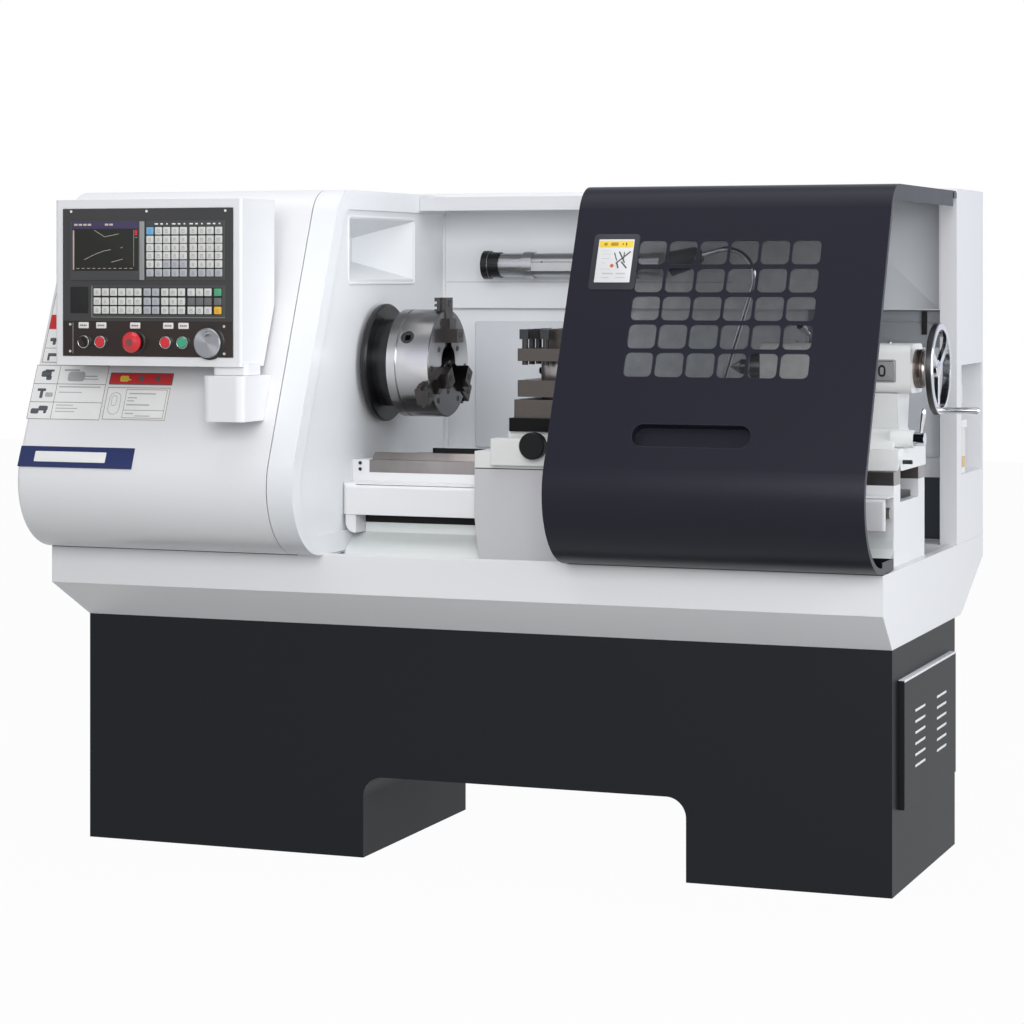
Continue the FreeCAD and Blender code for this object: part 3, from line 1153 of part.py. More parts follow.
def make_apron():
    """The folded sheet in front of the bed, with a narrow return along both sides."""
    left = CARRIAGE_X - APRON_LENGTH / 2
    right = CARRIAGE_X + APRON_LENGTH / 2
    shoulder = SCREW_COVER_BASE
    outline = [(left, APRON_TOP), (left, shoulder), (left + APRON_TAPER, APRON_BASE),
               (right - APRON_TAPER, APRON_BASE), (right, shoulder), (right, APRON_TOP)]
    inset = APRON_SHEET
    inner = [(left + inset, APRON_TOP), (left + inset, shoulder), (left + APRON_TAPER + inset, APRON_BASE),
             (right - APRON_TAPER - inset, APRON_BASE), (right - inset, shoulder), (right - inset, APRON_TOP)]
    back = APRON_FRONT_Y + APRON_RETURN
    folded = plate_y(outline, (APRON_FRONT_Y, back))
    folded = folded.cut(plate_y(inner, (APRON_FRONT_Y + APRON_SHEET, back)))
    passage = block((left, right), (APRON_FRONT_Y + APRON_SHEET, back),
                    (SCREW_COVER_BASE - APRON_TAPER, SCREW_COVER_BASE + SCREW_COVER_HEIGHT + APRON_TAPER))
    below = block((left, right), (APRON_FRONT_Y + APRON_SHEET, back), (APRON_BASE, SLIDE_TOP))
    return folded.cut(passage).cut(below)


def make_feed_cap():
    """The black cap over the cross feed screw's end."""
    front = SADDLE_BRIDGE_FRONT_Y - FEED_CAP_LENGTH
    radius = FEED_CAP_DIAMETER / 2
    bevel = FEED_CAP_LENGTH / 8
    spigot = FEED_SPIGOT_DIAMETER / 2
    end = SADDLE_BRIDGE_FRONT_Y + SADDLE_BRIDGE_DEPTH / 2
    outline = [(front, 0), (front, radius - bevel), (front + bevel, radius), (SADDLE_BRIDGE_FRONT_Y, radius),
               (SADDLE_BRIDGE_FRONT_Y, spigot), (end, spigot), (end, 0)]
    return revolve_y(outline, Vector(FEED_CAP_X, 0, FEED_CAP_Z))


def make_cross_slide():
    top_of_saddle = WAY_TOP + SADDLE_CLEARANCE + SADDLE_THICKNESS
    base = top_of_saddle + SADDLE_CLEARANCE
    half = CROSS_SLIDE_WIDTH / 2
    body = block((CARRIAGE_X - half, CARRIAGE_X + half),
                 (CROSS_SLIDE_FRONT_Y, CROSS_SLIDE_FRONT_Y + CROSS_SLIDE_DEPTH),
                 (base, CROSS_SLIDE_TOP))
    groove = plate_y(dovetail_outline(top_of_saddle, SADDLE_CLEARANCE),
                     (CROSS_SLIDE_FRONT_Y, CROSS_SLIDE_FRONT_Y + CROSS_SLIDE_DEPTH))
    return body.cut(groove)


def square_plate(side, base, top, corner):
    half = side / 2
    plate = block((TURRET_X - half, TURRET_X + half), (TURRET_Y - half, TURRET_Y + half), (base, top))
    return round_edges(plate, corner, lambda edge: is_along(edge, Z_DIR))


def make_turret_base():
    """The fixed foot of the tool post: a black plate and the drive housing on it."""
    plate = square_plate(TURRET_BASE_WIDTH, CROSS_SLIDE_TOP, TURRET_BASE_TOP, TURRET_CORNER)
    drive = square_plate(TURRET_DRIVE_SIDE, TURRET_BASE_TOP, TURRET_BODY_TOP, TURRET_CORNER)
    return plate.fuse(drive)


def make_tool_holder():
    """The indexing head: floor plate, round core, roof plate and cap, with a tool slot on all four sides."""
    base = TOOL_FLOOR - TOOL_FLOOR_THICKNESS
    floor = square_plate(TURRET_SIDE, base, TOOL_FLOOR, TURRET_CORNER)
    core_base = TURRET_BODY_TOP + SEAT_GAP
    core = rod(Vector(TURRET_X, TURRET_Y, core_base), Z_DIR, TOOL_ROOF - core_base, TOOL_CORE_DIAMETER)
    roof = square_plate(TURRET_SIDE, TOOL_ROOF, TOOL_ROOF + TOOL_ROOF_THICKNESS, TURRET_CORNER)
    cap_base = TOOL_ROOF + TOOL_ROOF_THICKNESS
    cap = square_plate(CAP_BLOCK_SIDE, cap_base, cap_base + CAP_BLOCK_HEIGHT, CAP_BLOCK_CORNER)
    body = floor.fuse([core, roof, cap])
    for place in bolt_places():
        start = Vector(place.x, place.y, TOOL_ROOF)
        body = body.cut(rod(start, Z_DIR, TOOL_ROOF_THICKNESS, CLAMP_BOLT_DIAMETER + 2 * RUNNING))
    return body


def bolt_places():
    """Three clamp bolts along each side of the roof plate."""
    reach = TURRET_SIDE / 2 - CLAMP_BOLT_INSET
    places = []
    for turn in range(4):
        angle = math.radians(90 * turn)
        for share in CLAMP_BOLT_SHARES:
            along = share * reach
            places.append(Vector(TURRET_X + along * math.cos(angle) - reach * math.sin(angle),
                                 TURRET_Y + along * math.sin(angle) + reach * math.cos(angle), 0))
    return places


def make_clamp_bolts():
    """Square-headed bolts that reach a little into the tool slot."""
    bolts = []
    head_top = TOOL_ROOF + TOOL_ROOF_THICKNESS + CLAMP_BOLT_STANDING
    head_base = head_top - CLAMP_BOLT_HEAD_HEIGHT
    low = TOOL_ROOF - CLAMP_BOLT_TIP
    half = CLAMP_BOLT_HEAD / 2
    for place in bolt_places():
        shank = rod(Vector(place.x, place.y, low), Z_DIR, head_base - low, CLAMP_BOLT_DIAMETER)
        head = block((place.x - half, place.x + half), (place.y - half, place.y + half),
                     (head_base, head_top))
        bolts.append(shank.fuse(head))
    return Part.makeCompound(bolts)


# ---------------------------------------------------------------- tailstock
def make_tailstock():
    """The casting: foot on the ways, waisted column and round-backed barrel with the quill bore."""
    right = TAILSTOCK_RIGHT_X
    left = right - TAILSTOCK_LENGTH
    half = TAILSTOCK_WIDTH / 2
    base = WAY_TOP + SADDLE_CLEARANCE
    foot_top = base + TAILSTOCK_FOOT_HEIGHT
    sides = (AXIS_Y - TAILSTOCK_FOOT_WIDTH / 2, AXIS_Y + TAILSTOCK_FOOT_WIDTH / 2)
    foot = block((left + TAILSTOCK_FOOT_INSETS[0], right - TAILSTOCK_FOOT_INSETS[1]), sides, (base, foot_top))
    waist = TAILSTOCK_WAIST / 2
    waist_z = foot_top + TAILSTOCK_WAIST_RISE
    column = [(sides[0] + TAILSTOCK_LEDGE, foot_top), (AXIS_Y - waist, waist_z),
              (AXIS_Y - half, TAILSTOCK_BARREL_BASE),
              (AXIS_Y + half, TAILSTOCK_BARREL_BASE), (AXIS_Y + waist, waist_z),
              (sides[1] - TAILSTOCK_LEDGE, foot_top)]
    column = plate_x(column, (left + TAILSTOCK_COLUMN_INSETS[0], right - TAILSTOCK_COLUMN_INSETS[1]))
    barrel = block((left, right), (AXIS_Y - half, AXIS_Y + half), (TAILSTOCK_BARREL_BASE, TAILSTOCK_TOP))
    barrel = round_edges(barrel, TAILSTOCK_BARREL_ROUND, lambda edge: is_along(edge, X_DIR))
    body = foot.fuse([column, barrel])
    boss_left = right + CLAMP_BOSS_STANDING - CLAMP_BOSS_LENGTH
    boss_start = Vector(boss_left, AXIS_Y - CLAMP_HUB_OFFSET, CLAMP_HUB_Z)
    clamp_boss = rod(boss_start, X_DIR, CLAMP_BOSS_LENGTH, LEVER_HUB_DIAMETER + CLAMP_BOSS_STANDING)
    body = body.fuse(clamp_boss)
    bore = rod(Vector(left, AXIS_Y, AXIS_HEIGHT), X_DIR, TAILSTOCK_LENGTH,
               QUILL_DIAMETER + 2 * QUILL_CLEARANCE)
    body = body.cut(bore).cut(vee_groove((left, right)))
    lock_depth = LOCK_STEM_DEPTH + 2
    lock = rod(Vector(LOCK_X, AXIS_Y, TAILSTOCK_TOP - lock_depth), Z_DIR, lock_depth, LEVER_HUB_DIAMETER / 2)
    clamp_bore = rod(boss_start, X_DIR, CLAMP_BOSS_LENGTH, LEVER_HUB_DIAMETER / 2)
    return body.cut(lock).cut(clamp_bore).removeSplitter()


def make_quill():
    right = TAILSTOCK_RIGHT_X - FLANGE_LENGTH
    left = TAILSTOCK_RIGHT_X - TAILSTOCK_LENGTH - QUILL_NOSE
    radius = QUILL_DIAMETER / 2
    centre = CENTRE_DIAMETER / 2
    outline = [(right, 0), (right, radius), (left + 4, radius), (left, radius - 4), (left, centre),
               (left - CENTRE_LENGTH + centre * 1.7, centre), (left - CENTRE_LENGTH, 0)]
    return revolve_x(outline, Vector(0, AXIS_Y, AXIS_HEIGHT))


def wheel_left_x():
    return TAILSTOCK_RIGHT_X + FLANGE_LENGTH + SEAT_GAP


def make_handwheel():
    """The chromed wheel: rim, three dished spokes, hub, and the shaft that passes into the flange."""
    axis = Vector(0, AXIS_Y, AXIS_HEIGHT)
    left = wheel_left_x()
    outer = WHEEL_DIAMETER / 2
    inner = outer - WHEEL_RIM_DEPTH
    edge = WHEEL_RIM_WIDTH / 5
    rim_left = left + WHEEL_HUB_LENGTH / 2
    rim_right = rim_left + WHEEL_RIM_WIDTH
    rim = revolve_x([(rim_left, inner), (rim_left, outer - edge), (rim_left + edge, outer),
                     (rim_right - edge, outer),
                     (rim_right, outer - edge), (rim_right, inner)], axis)
    hub_radius = WHEEL_HUB_DIAMETER / 2
    hub = revolve_x([(left, 0), (left, hub_radius), (left + WHEEL_HUB_LENGTH - 6, hub_radius),
                     (left + WHEEL_HUB_LENGTH, hub_radius / 2), (left + WHEEL_HUB_LENGTH, 0)], axis)
    shaft_start = Vector(TAILSTOCK_RIGHT_X - FLANGE_LENGTH / 2, AXIS_Y, AXIS_HEIGHT)
    shaft = rod(shaft_start, X_DIR, FLANGE_LENGTH * 2, WHEEL_SHAFT_DIAMETER)
    spokes = []
    spoke_left = rim_left + 2
    for number in range(WHEEL_SPOKES):
        half = WHEEL_SPOKE_WIDTH / 2
        spoke = block((spoke_left, spoke_left + WHEEL_SPOKE_THICKNESS), (AXIS_Y - half, AXIS_Y + half),
                      (AXIS_HEIGHT + hub_radius / 2, AXIS_HEIGHT + inner + 2))
        spokes.append(about_spindle(spoke, 60 + number * 360 / WHEEL_SPOKES))
    wheel = rim.fuse(spokes + [hub, shaft])
    pin_start = handle_start()
    hole_start = Vector(rim_left, pin_start.y, pin_start.z)
    return wheel.cut(rod(hole_start, X_DIR, WHEEL_RIM_WIDTH, HANDLE_PIN_DIAMETER + 2 * RUNNING))


def handle_start():
    """Where the revolving handle's pin crosses the rim, low on the front."""
    radius = WHEEL_DIAMETER / 2 - WHEEL_RIM_DEPTH / 2
    angle = math.radians(-78)
    return Vector(wheel_left_x() + WHEEL_HUB_LENGTH / 2 + WHEEL_RIM_WIDTH, AXIS_Y + radius * math.cos(angle),
                  AXIS_HEIGHT + radius * math.sin(angle))


def make_handle():
    start = handle_start()
    pin = rod(start - X_DIR * WHEEL_RIM_WIDTH, X_DIR, WHEEL_RIM_WIDTH + HANDLE_LENGTH / 2,
              HANDLE_PIN_DIAMETER)
    radius = HANDLE_DIAMETER / 2
    low_x = start.x + SEAT_GAP
    end_x = start.x + HANDLE_LENGTH
    outline = [(low_x, 0), (low_x, radius * 0.8), (end_x - radius / 2, radius), (end_x, radius / 2),
               (end_x, 0)]
    grip = revolve_x(outline, Vector(0, start.y, start.z))
    return pin.fuse(grip)


def make_tail_flange():
    """The thrust flange that carries the handwheel's shaft."""
    left = TAILSTOCK_RIGHT_X
    right = left + FLANGE_LENGTH
    radius = FLANGE_DIAMETER / 2
    bore = WHEEL_SHAFT_DIAMETER / 2 + RUNNING
    step = FLANGE_LENGTH / 6
    outline = [(left, bore), (left, radius), (right - 2 * step, radius), (right - 2 * step, radius - step),
               (right - step, radius - step), (right, radius - 2 * step), (right, bore)]
    return revolve_x(outline, Vector(0, AXIS_Y, AXIS_HEIGHT))


def make_lock_lever():
    """The quill lock on top of the barrel."""
    base = TAILSTOCK_TOP + SEAT_GAP
    stem = rod(Vector(LOCK_X, AXIS_Y, TAILSTOCK_TOP - LOCK_STEM_DEPTH), Z_DIR, LOCK_STEM_LENGTH,
               LEVER_HUB_DIAMETER / 2 - 2 * RUNNING)
    hub = rod(Vector(LOCK_X, AXIS_Y, base), Z_DIR, LEVER_HUB_LENGTH, LEVER_HUB_DIAMETER)
    direction = Vector(*LOCK_LEVER_AIM).normalize()
    start = Vector(LOCK_X, AXIS_Y, base + LEVER_HUB_LENGTH / 2)
    arm = rod(start, direction, LOCK_LEVER_LENGTH, LEVER_ROD_DIAMETER)
    knob = rod(start + direction * (LOCK_LEVER_LENGTH - LOCK_LEVER_KNOB), direction, LOCK_LEVER_KNOB,
               LOCK_LEVER_KNOB)
    return hub.fuse([stem, arm, knob])


def make_clamp_lever():
    """The lever that clamps the tailstock to the bed, on its eccentric shaft."""
    start = Vector(TAILSTOCK_RIGHT_X + CLAMP_BOSS_STANDING + SEAT_GAP, AXIS_Y - CLAMP_HUB_OFFSET, CLAMP_HUB_Z)
    hub = rod(start, X_DIR, LEVER_HUB_LENGTH, LEVER_HUB_DIAMETER)
    shaft_length = CLAMP_BOSS_LENGTH * 0.7
    shaft = rod(start - X_DIR * shaft_length, X_DIR, shaft_length, LEVER_HUB_DIAMETER / 2 - 2 * RUNNING)
    root = start + X_DIR * (LEVER_HUB_LENGTH / 2)
    direction = Vector(0.15, 0, 1).normalize()
    arm = rod(root, direction, LEVER_ROD_LENGTH, LEVER_ROD_DIAMETER)
    return hub.fuse([shaft, arm])


# ---------------------------------------------------------------- door
def make_door():
    """The sliding guard: one bent sheet with a grid of windows, a grip cup and a stiffened right edge."""
    x = (DOOR_RIGHT_X - DOOR_LENGTH, DOOR_RIGHT_X)
    base = DOOR_FOOT_Z
    skin = section_skin(0, DOOR_SKIN, x, base, DOOR_FOOT_BACK_Y, DOOR_ROOF_BACK_Y)
    lip = block(x, (DOOR_FOOT_BACK_Y - DOOR_SKIN, DOOR_FOOT_BACK_Y), (base, base + DOOR_FOOT_LIP))
    bands = []
    for left in (x[0], x[1] - DOOR_SKIN):
        bands.append(section_skin(0, DOOR_END_BAND, (left, left + DOOR_SKIN), base, DOOR_FOOT_BACK_Y,
                                  DOOR_BAND_BACK_Y))
    cheek = block((x[1] - DOOR_SKIN, x[1]), (BELLY_Y, DOOR_FOOT_BACK_Y), (base, base + DOOR_FOOT_LIP))
    shoulder_y = slope_point(0, GUARD_TOP, base).y + GUARD_TOP_RADIUS * 0.8
    header = block((x[1] - DOOR_SKIN, x[1]), (shoulder_y, DOOR_ROOF_BAND_BACK_Y),
                   (GUARD_TOP - DOOR_ROOF_BAND, GUARD_TOP))
    corner = block((x[1] - DOOR_SKIN, x[1]), (shoulder_y - DOOR_ROOF_BAND * 2, shoulder_y),
                   (GUARD_TOP - DOOR_ROOF_BAND, GUARD_TOP))
    corner = corner.common(section_solid(0, (x[1] - DOOR_SKIN, x[1]), base, DOOR_ROOF_BACK_Y,
                                         DOOR_ROOF_BACK_Y))
    cup = rounded_slot(grip_centre(), X_DIR, SLOPE_UP, GRIP_LENGTH + 2 * GRIP_WALL,
                       GRIP_HEIGHT + 2 * GRIP_WALL,
                       GRIP_HEIGHT / 2 + GRIP_WALL - 1, SLOPE_OUT * -1, GRIP_DEPTH + GRIP_WALL)
    body = skin.fuse(bands + [lip, cheek, header, corner, cup])
    hand = rounded_slot(grip_centre() + SLOPE_OUT, X_DIR, SLOPE_UP, GRIP_LENGTH, GRIP_HEIGHT,
                        GRIP_HEIGHT / 2 - 1, SLOPE_OUT * -1, GRIP_DEPTH + 1)
    body = body.cut(hand)
    cuts = []
    for row in range(PANE_ROWS):
        for column in range(PANE_COLUMNS):
            along = PANE_WIDTH / 2 + column * PANE_PITCH_X
            down = PANE_HEIGHT / 2 + row * PANE_PITCH_S
            middle = pane_corner() + X_DIR * along - SLOPE_UP * down
            cuts.append(rounded_slot(middle + SLOPE_OUT, X_DIR, SLOPE_UP, PANE_WIDTH, PANE_HEIGHT,
                                     PANE_RADIUS,
                                     SLOPE_OUT * -1, DOOR_SKIN + 2))
    return body.cut(Part.makeCompound(cuts))


def pane_corner():
    """The upper left corner of the window grid on the slope."""
    return slope_point(PANE_LEFT_X, PANE_TOP_Z, DOOR_FOOT_Z)


def grip_centre():
    return slope_point(GRIP_LEFT_X + GRIP_LENGTH / 2, GRIP_Z, DOOR_FOOT_Z)


def make_pane():
    """The clear sheet behind the window grid."""
    width = (PANE_COLUMNS - 1) * PANE_PITCH_X + PANE_WIDTH + 2 * PANE_MARGIN
    height = (PANE_ROWS - 1) * PANE_PITCH_S + PANE_HEIGHT + 2 * PANE_MARGIN
    middle = pane_corner() + X_DIR * (width / 2 - PANE_MARGIN) - SLOPE_UP * (height / 2 - PANE_MARGIN)
    start = middle - SLOPE_OUT * (DOOR_SKIN + SEAT_GAP)
    return rounded_slot(start, X_DIR, SLOPE_UP, width, height, PANE_RADIUS, SLOPE_OUT * -1, PANE_SHEET)


def make_rails():
    """The lower slide strip on the tray's rim and the upper rail on the housing."""
    x = (BULKHEAD_RIGHT_X + SEAT_GAP, DOOR_RIGHT_X)
    low_y = TRAY_FRONT_Y + (TRAY_RIM_WIDTH - RAIL_WIDTH) / 2
    lower = block(x, (low_y, low_y + RAIL_WIDTH), (TRAY_RIM_TOP, TRAY_RIM_TOP + RAIL_HEIGHT))
    upper = block(x, (HOUSING_FRONT_Y - UPPER_RAIL_DEPTH, HOUSING_FRONT_Y), (CANOPY_ROOF, UPPER_RAIL_TOP))
    return Part.makeCompound([lower, upper])


# ---------------------------------------------------------------- control panel
def make_panel_housing():
    x = (PANEL_LEFT_X, PANEL_LEFT_X + PANEL_WIDTH)
    y = (PANEL_FRONT_Y, PANEL_FRONT_Y + PANEL_DEPTH)
    z = (PANEL_BASE, PANEL_BASE + PANEL_HEIGHT)
    body = block(x, y, z)
    wedge_low = slope_point(0, z[0], TRAY_RIM_TOP).y - PANEL_SLOPE_GAP
    wedge_high = slope_point(0, z[1], TRAY_RIM_TOP).y - PANEL_SLOPE_GAP
    wedge_back = wedge_high + PANEL_WIDTH
    wedge = plate_x([(wedge_low, z[0]), (wedge_high, z[1]), (wedge_back, z[1]), (wedge_back, z[0])], x)
    body = body.cut(wedge)
    body = round_edges(body, PANEL_ROUND,
                       lambda edge: is_along(edge, Z_DIR) and edge.CenterOfMass.y < y[0] + 1)
    left = x[0] + (PANEL_WIDTH - FASCIA_WIDTH) / 2
    top = z[1] - FASCIA_TOP_MARGIN
    seat = block((left - SEAT_GAP, left + FASCIA_WIDTH + SEAT_GAP), (y[0], y[0] + FASCIA_THICKNESS / 2),
                 (top - FASCIA_HEIGHT - SEAT_GAP, top + SEAT_GAP))
    body = body.cut(seat)
    for place in control_places():
        deep = BUTTON_STEM + BUTTON_TRAVEL + 2
        body = body.cut(rod(Vector(place.x, y[0], place.z), Y_DIR, deep + FASCIA_THICKNESS, BUTTON_DIAMETER))
    pivot = pivot_point()
    foot = block((pivot.x - NECK_BLOCK_WIDTH / 2, pivot.x + NECK_BLOCK_WIDTH / 2),
                 (pivot.y - NECK_BLOCK_DEPTH / 2, pivot.y + NECK_BLOCK_DEPTH / 2),
                 (arm_top() + ARM_GAP, PANEL_BASE + PANEL_ROUND))
    foot = round_edges(foot, ARM_ROUND / 2, lambda edge: is_along(edge, Z_DIR))
    body = body.fuse(foot)
    return body.cut(rod(Vector(pivot.x, pivot.y, arm_top()), Z_DIR, PANEL_HEIGHT / 4,
                        PIVOT_DIAMETER + 2 * RUNNING))


def arm_top():
    return PANEL_BASE - ARM_DROP


def pivot_point():
    """The upright axis that the panel swings about."""
    return Vector(ARM_RIGHT_X - ARM_WIDTH / 2, ARM_FRONT_Y + NECK_BLOCK_DEPTH, 0)


def make_panel_arm():
    """The rounded bracket on the cover's slope, with the pivot pin."""
    top = arm_top()
    base = top - ARM_HEIGHT
    reach = slope_point(0, base, TRAY_RIM_TOP).y
    x = (ARM_RIGHT_X - ARM_WIDTH, ARM_RIGHT_X)
    far = reach + ARM_HEIGHT
    body = block(x, (ARM_FRONT_Y, far), (base, top))
    body = round_edges(body, ARM_ROUND, lambda edge: is_along(edge, Z_DIR) and edge.CenterOfMass.y < far - 1)
    cover = section_solid(-SEAT_GAP, (x[0] - 1, x[1] + 1), TRAY_RIM_TOP, HOUSING_FRONT_Y, HOUSING_FRONT_Y)
    body = body.cut(cover)
    pivot = pivot_point()
    pin = rod(Vector(pivot.x, pivot.y, base + ARM_HEIGHT / 2), Z_DIR, ARM_HEIGHT / 2 + PANEL_HEIGHT / 5,
              PIVOT_DIAMETER)
    return body.fuse(pin)


def fascia_left():
    return PANEL_LEFT_X + (PANEL_WIDTH - FASCIA_WIDTH) / 2


def control_places():
    """Selector, red button, emergency stop, red button, green button and pulse wheel, left to right."""
    left = fascia_left()
    return [Vector(left + FASCIA_WIDTH * share, PANEL_FRONT_Y, BUTTON_ROW_Z) for share in CONTROL_SHARES]


def make_fascia():
    """The black control plate with its sunk screen."""
    left = fascia_left()
    top = PANEL_BASE + PANEL_HEIGHT - FASCIA_TOP_MARGIN
    front = PANEL_FRONT_Y - FASCIA_THICKNESS / 2
    plate = block((left, left + FASCIA_WIDTH), (front, front + FASCIA_THICKNESS), (top - FASCIA_HEIGHT, top))
    screen_left = left + SCREEN_LEFT
    screen_top = top - SCREEN_TOP
    screen = block((screen_left, screen_left + SCREEN_WIDTH), (front, front + SCREEN_RECESS),
                   (screen_top - SCREEN_HEIGHT, screen_top))
    plate = plate.cut(screen)
    for place in control_places():
        plate = plate.cut(rod(Vector(place.x, front, place.z), Y_DIR, FASCIA_THICKNESS, CONTROL_HOLE))
    return plate


def control_front():
    return PANEL_FRONT_Y - FASCIA_THICKNESS / 2


def make_button(place, diameter, length):
    """A push button's head and its stem in the fascia's hole."""
    seat = control_front() - BUTTON_TRAVEL - SEAT_GAP
    radius = diameter / 2
    stem = CONTROL_HOLE / 2 - RUNNING
    bevel = length / 5
    outline = [(seat - length, 0), (seat - length, radius - bevel), (seat - length + bevel, radius),
               (seat, radius),
               (seat, stem), (control_front() + BUTTON_STEM, stem), (control_front() + BUTTON_STEM, 0)]
    return revolve_y(outline, place)


def make_stop_button(place):
    """The mushroom head of the emergency stop."""
    seat = control_front() - BUTTON_TRAVEL - SEAT_GAP
    radius = STOP_DIAMETER / 2
    stem = CONTROL_HOLE / 2 - RUNNING
    neck = STOP_LENGTH * 0.4
    brim = STOP_LENGTH * 0.65
    outline = [(seat - STOP_LENGTH, 0), (seat - STOP_LENGTH, radius * 0.4),
               (seat - STOP_LENGTH * 0.9, radius * 0.75),
               (seat - brim, radius), (seat - neck, radius), (seat - neck, stem),
               (control_front() + BUTTON_STEM, stem), (control_front() + BUTTON_STEM, 0)]
    return revolve_y(outline, place)


def make_selector(place):
    """A two-way rotary selector with a raised bar."""
    front = control_front() - SEAT_GAP
    knob = rod(Vector(place.x, front - SELECTOR_LENGTH / 2, place.z), Y_DIR, SELECTOR_LENGTH / 2,
               SELECTOR_DIAMETER)
    half = SELECTOR_DIAMETER / 2
    bar = block((place.x - half / 3, place.x + half / 3),
                (front - SELECTOR_LENGTH, front - SELECTOR_LENGTH / 2),
                (place.z - half * 0.9, place.z + half * 0.9))
    bar.rotate(place, Y_DIR, SELECTOR_REST)
    stem = rod(Vector(place.x, front, place.z), Y_DIR, SEAT_GAP + BUTTON_STEM, CONTROL_HOLE - 2 * RUNNING)
    return knob.fuse([bar, stem])


def make_pulse_wheel(place):
    """The hand pulse wheel with its small finger knob."""
    front = control_front() - SEAT_GAP
    radius = PULSE_WHEEL_DIAMETER / 2
    stem = CONTROL_HOLE / 2 - RUNNING
    bevel = PULSE_WHEEL_LENGTH / 6
    face = front - PULSE_WHEEL_LENGTH
    end = control_front() + BUTTON_STEM
    wheel = revolve_y([(face, 0), (face, radius - bevel), (face + bevel, radius), (front, radius),
                       (front, stem), (end, stem), (end, 0)], place)
    knob_start = Vector(place.x, face - PULSE_KNOB_LENGTH, place.z + radius * 0.6)
    return wheel.fuse(rod(knob_start, Y_DIR, PULSE_KNOB_LENGTH, PULSE_KNOB_DIAMETER))


# ---------------------------------------------------------------- service pocket
def make_lubricator():
    """The oil reservoir on the pocket's floor with its filler cap."""
    x = STAND_RIGHT_X - LUBE_CAP_DIAMETER / 2 - LUBE_SETBACK
    base = Vector(x, LUBE_Y, POCKET_BASE)
    foot = block((STAND_RIGHT_X - POCKET_DEPTH, x), (LUBE_Y - LUBE_DIAMETER / 2, LUBE_Y + LUBE_DIAMETER / 2),
                 (POCKET_BASE, LUBE_BASE_Z))
    tank = rod(base, Z_DIR, LUBE_BASE_Z - POCKET_BASE + LUBE_HEIGHT, LUBE_DIAMETER)
    cap = rod(base + Z_DIR * (LUBE_BASE_Z - POCKET_BASE + LUBE_HEIGHT), Z_DIR, LUBE_CAP_HEIGHT,
              LUBE_CAP_DIAMETER)
    return tank.fuse([foot, cap])


def make_outlet():
    """The small outlet box on the pocket's inner wall."""
    left = STAND_RIGHT_X - POCKET_DEPTH
    front = left + POCKET_DEPTH - OUTLET_DEPTH / 2
    box = block((left, front), (LUBE_Y - OUTLET_WIDTH, LUBE_Y),
                (OUTLET_BASE_Z, OUTLET_BASE_Z + OUTLET_HEIGHT))
    return round_edges(box, OUTLET_ROUND, lambda edge: edge.CenterOfMass.x > front - 0.1)


# ---------------------------------------------------------------- write every piece
def build_parts():
    places = control_places()
    parts = {
        "stand": make_stand(),
        "end_louvre_cover": make_end_cover(),
        "chip_tray": make_tray(),
        "chip_slide": make_chip_slide(),
        "bed": make_bed(),
        "bed_ways": make_ways(),
        "headstock_casting": make_headstock(),
        "spindle_bearings": make_bearings(),
        "main_motor": make_motor(),
        "drive_belt": make_belt(),
        "headstock_cover": make_headstock_cover(),
        "bulkhead": make_bulkhead(),
        "rear_housing": make_housing(),
        "rear_wall": make_rear_wall(),
        "canopy": make_canopy(),
        "tube_lamp": make_tube_lamp(),
        "gooseneck": make_gooseneck(),
        "lamp_head": make_lamp_head(),
        "screw_cover": make_screw_cover(),
        "feed_screw": make_feed_screw(),
        "door_rails": make_rails(),
        "lubricator": make_lubricator(),
        "outlet_box": make_outlet(),
        "panel_arm": make_panel_arm(),
        "spindle": make_spindle(),
        "chuck_backplate": make_backplate(),
        "chuck_body": make_chuck_body(),
        "spindle_pulley": make_pulley(AXIS_Y, AXIS_HEIGHT, SPINDLE_PULLEY_DIAMETER, SPINDLE_DIAMETER),
        "motor_pulley": make_pulley(MOTOR_Y, MOTOR_Z, MOTOR_PULLEY_DIAMETER, MOTOR_SHAFT),
        "saddle": make_saddle(),
        "apron": make_apron(),
        "feed_cap": make_feed_cap(),
        "cross_slide": make_cross_slide(),
        "turret_base": make_turret_base(),
        "tool_holder": make_tool_holder(),
        "tool_clamp_bolts": make_clamp_bolts(),
        "tailstock_body": make_tailstock(),
        "tailstock_flange": make_tail_flange(),
        "tailstock_quill": make_quill(),
        "tailstock_handwheel": make_handwheel(),
        "handwheel_handle": make_handle(),
        "quill_lock_lever": make_lock_lever(),
        "tailstock_clamp_lever": make_clamp_lever(),
        "door_shell": make_door(),
        "door_pane": make_pane(),
        "panel_housing": make_panel_housing(),
        "panel_fascia": make_fascia(),
        "mode_selector": make_selector(places[0]),
        "feed_hold_button": make_button(places[1], BUTTON_DIAMETER, BUTTON_LENGTH),
        "stop_button": make_stop_button(places[2]),
        "power_off_button": make_button(places[3], BUTTON_DIAMETER, BUTTON_LENGTH),
        "cycle_start_button": make_button(places[4], BUTTON_DIAMETER, BUTTON_LENGTH),
        "pulse_wheel": make_pulse_wheel(places[5]),
        "cabinet_door": make_cabinet_door(),
    }
    for number in range(3):
        parts["chuck_jaw_%d" % (number + 1)] = make_jaw(number)
        parts["chuck_pinion_%d" % (number + 1)] = make_pinion(number)
    return parts


def stand_on_origin(parts):
    """Move every piece so that the origin lies on the floor under the middle of the machine."""
    bounds = Part.makeCompound(list(parts.values())).optimalBoundingBox()
    shift = Vector(-bounds.Center.x, -bounds.Center.y, -bounds.ZMin)
    for shape in parts.values():
        shape.translate(shift)
    return shift


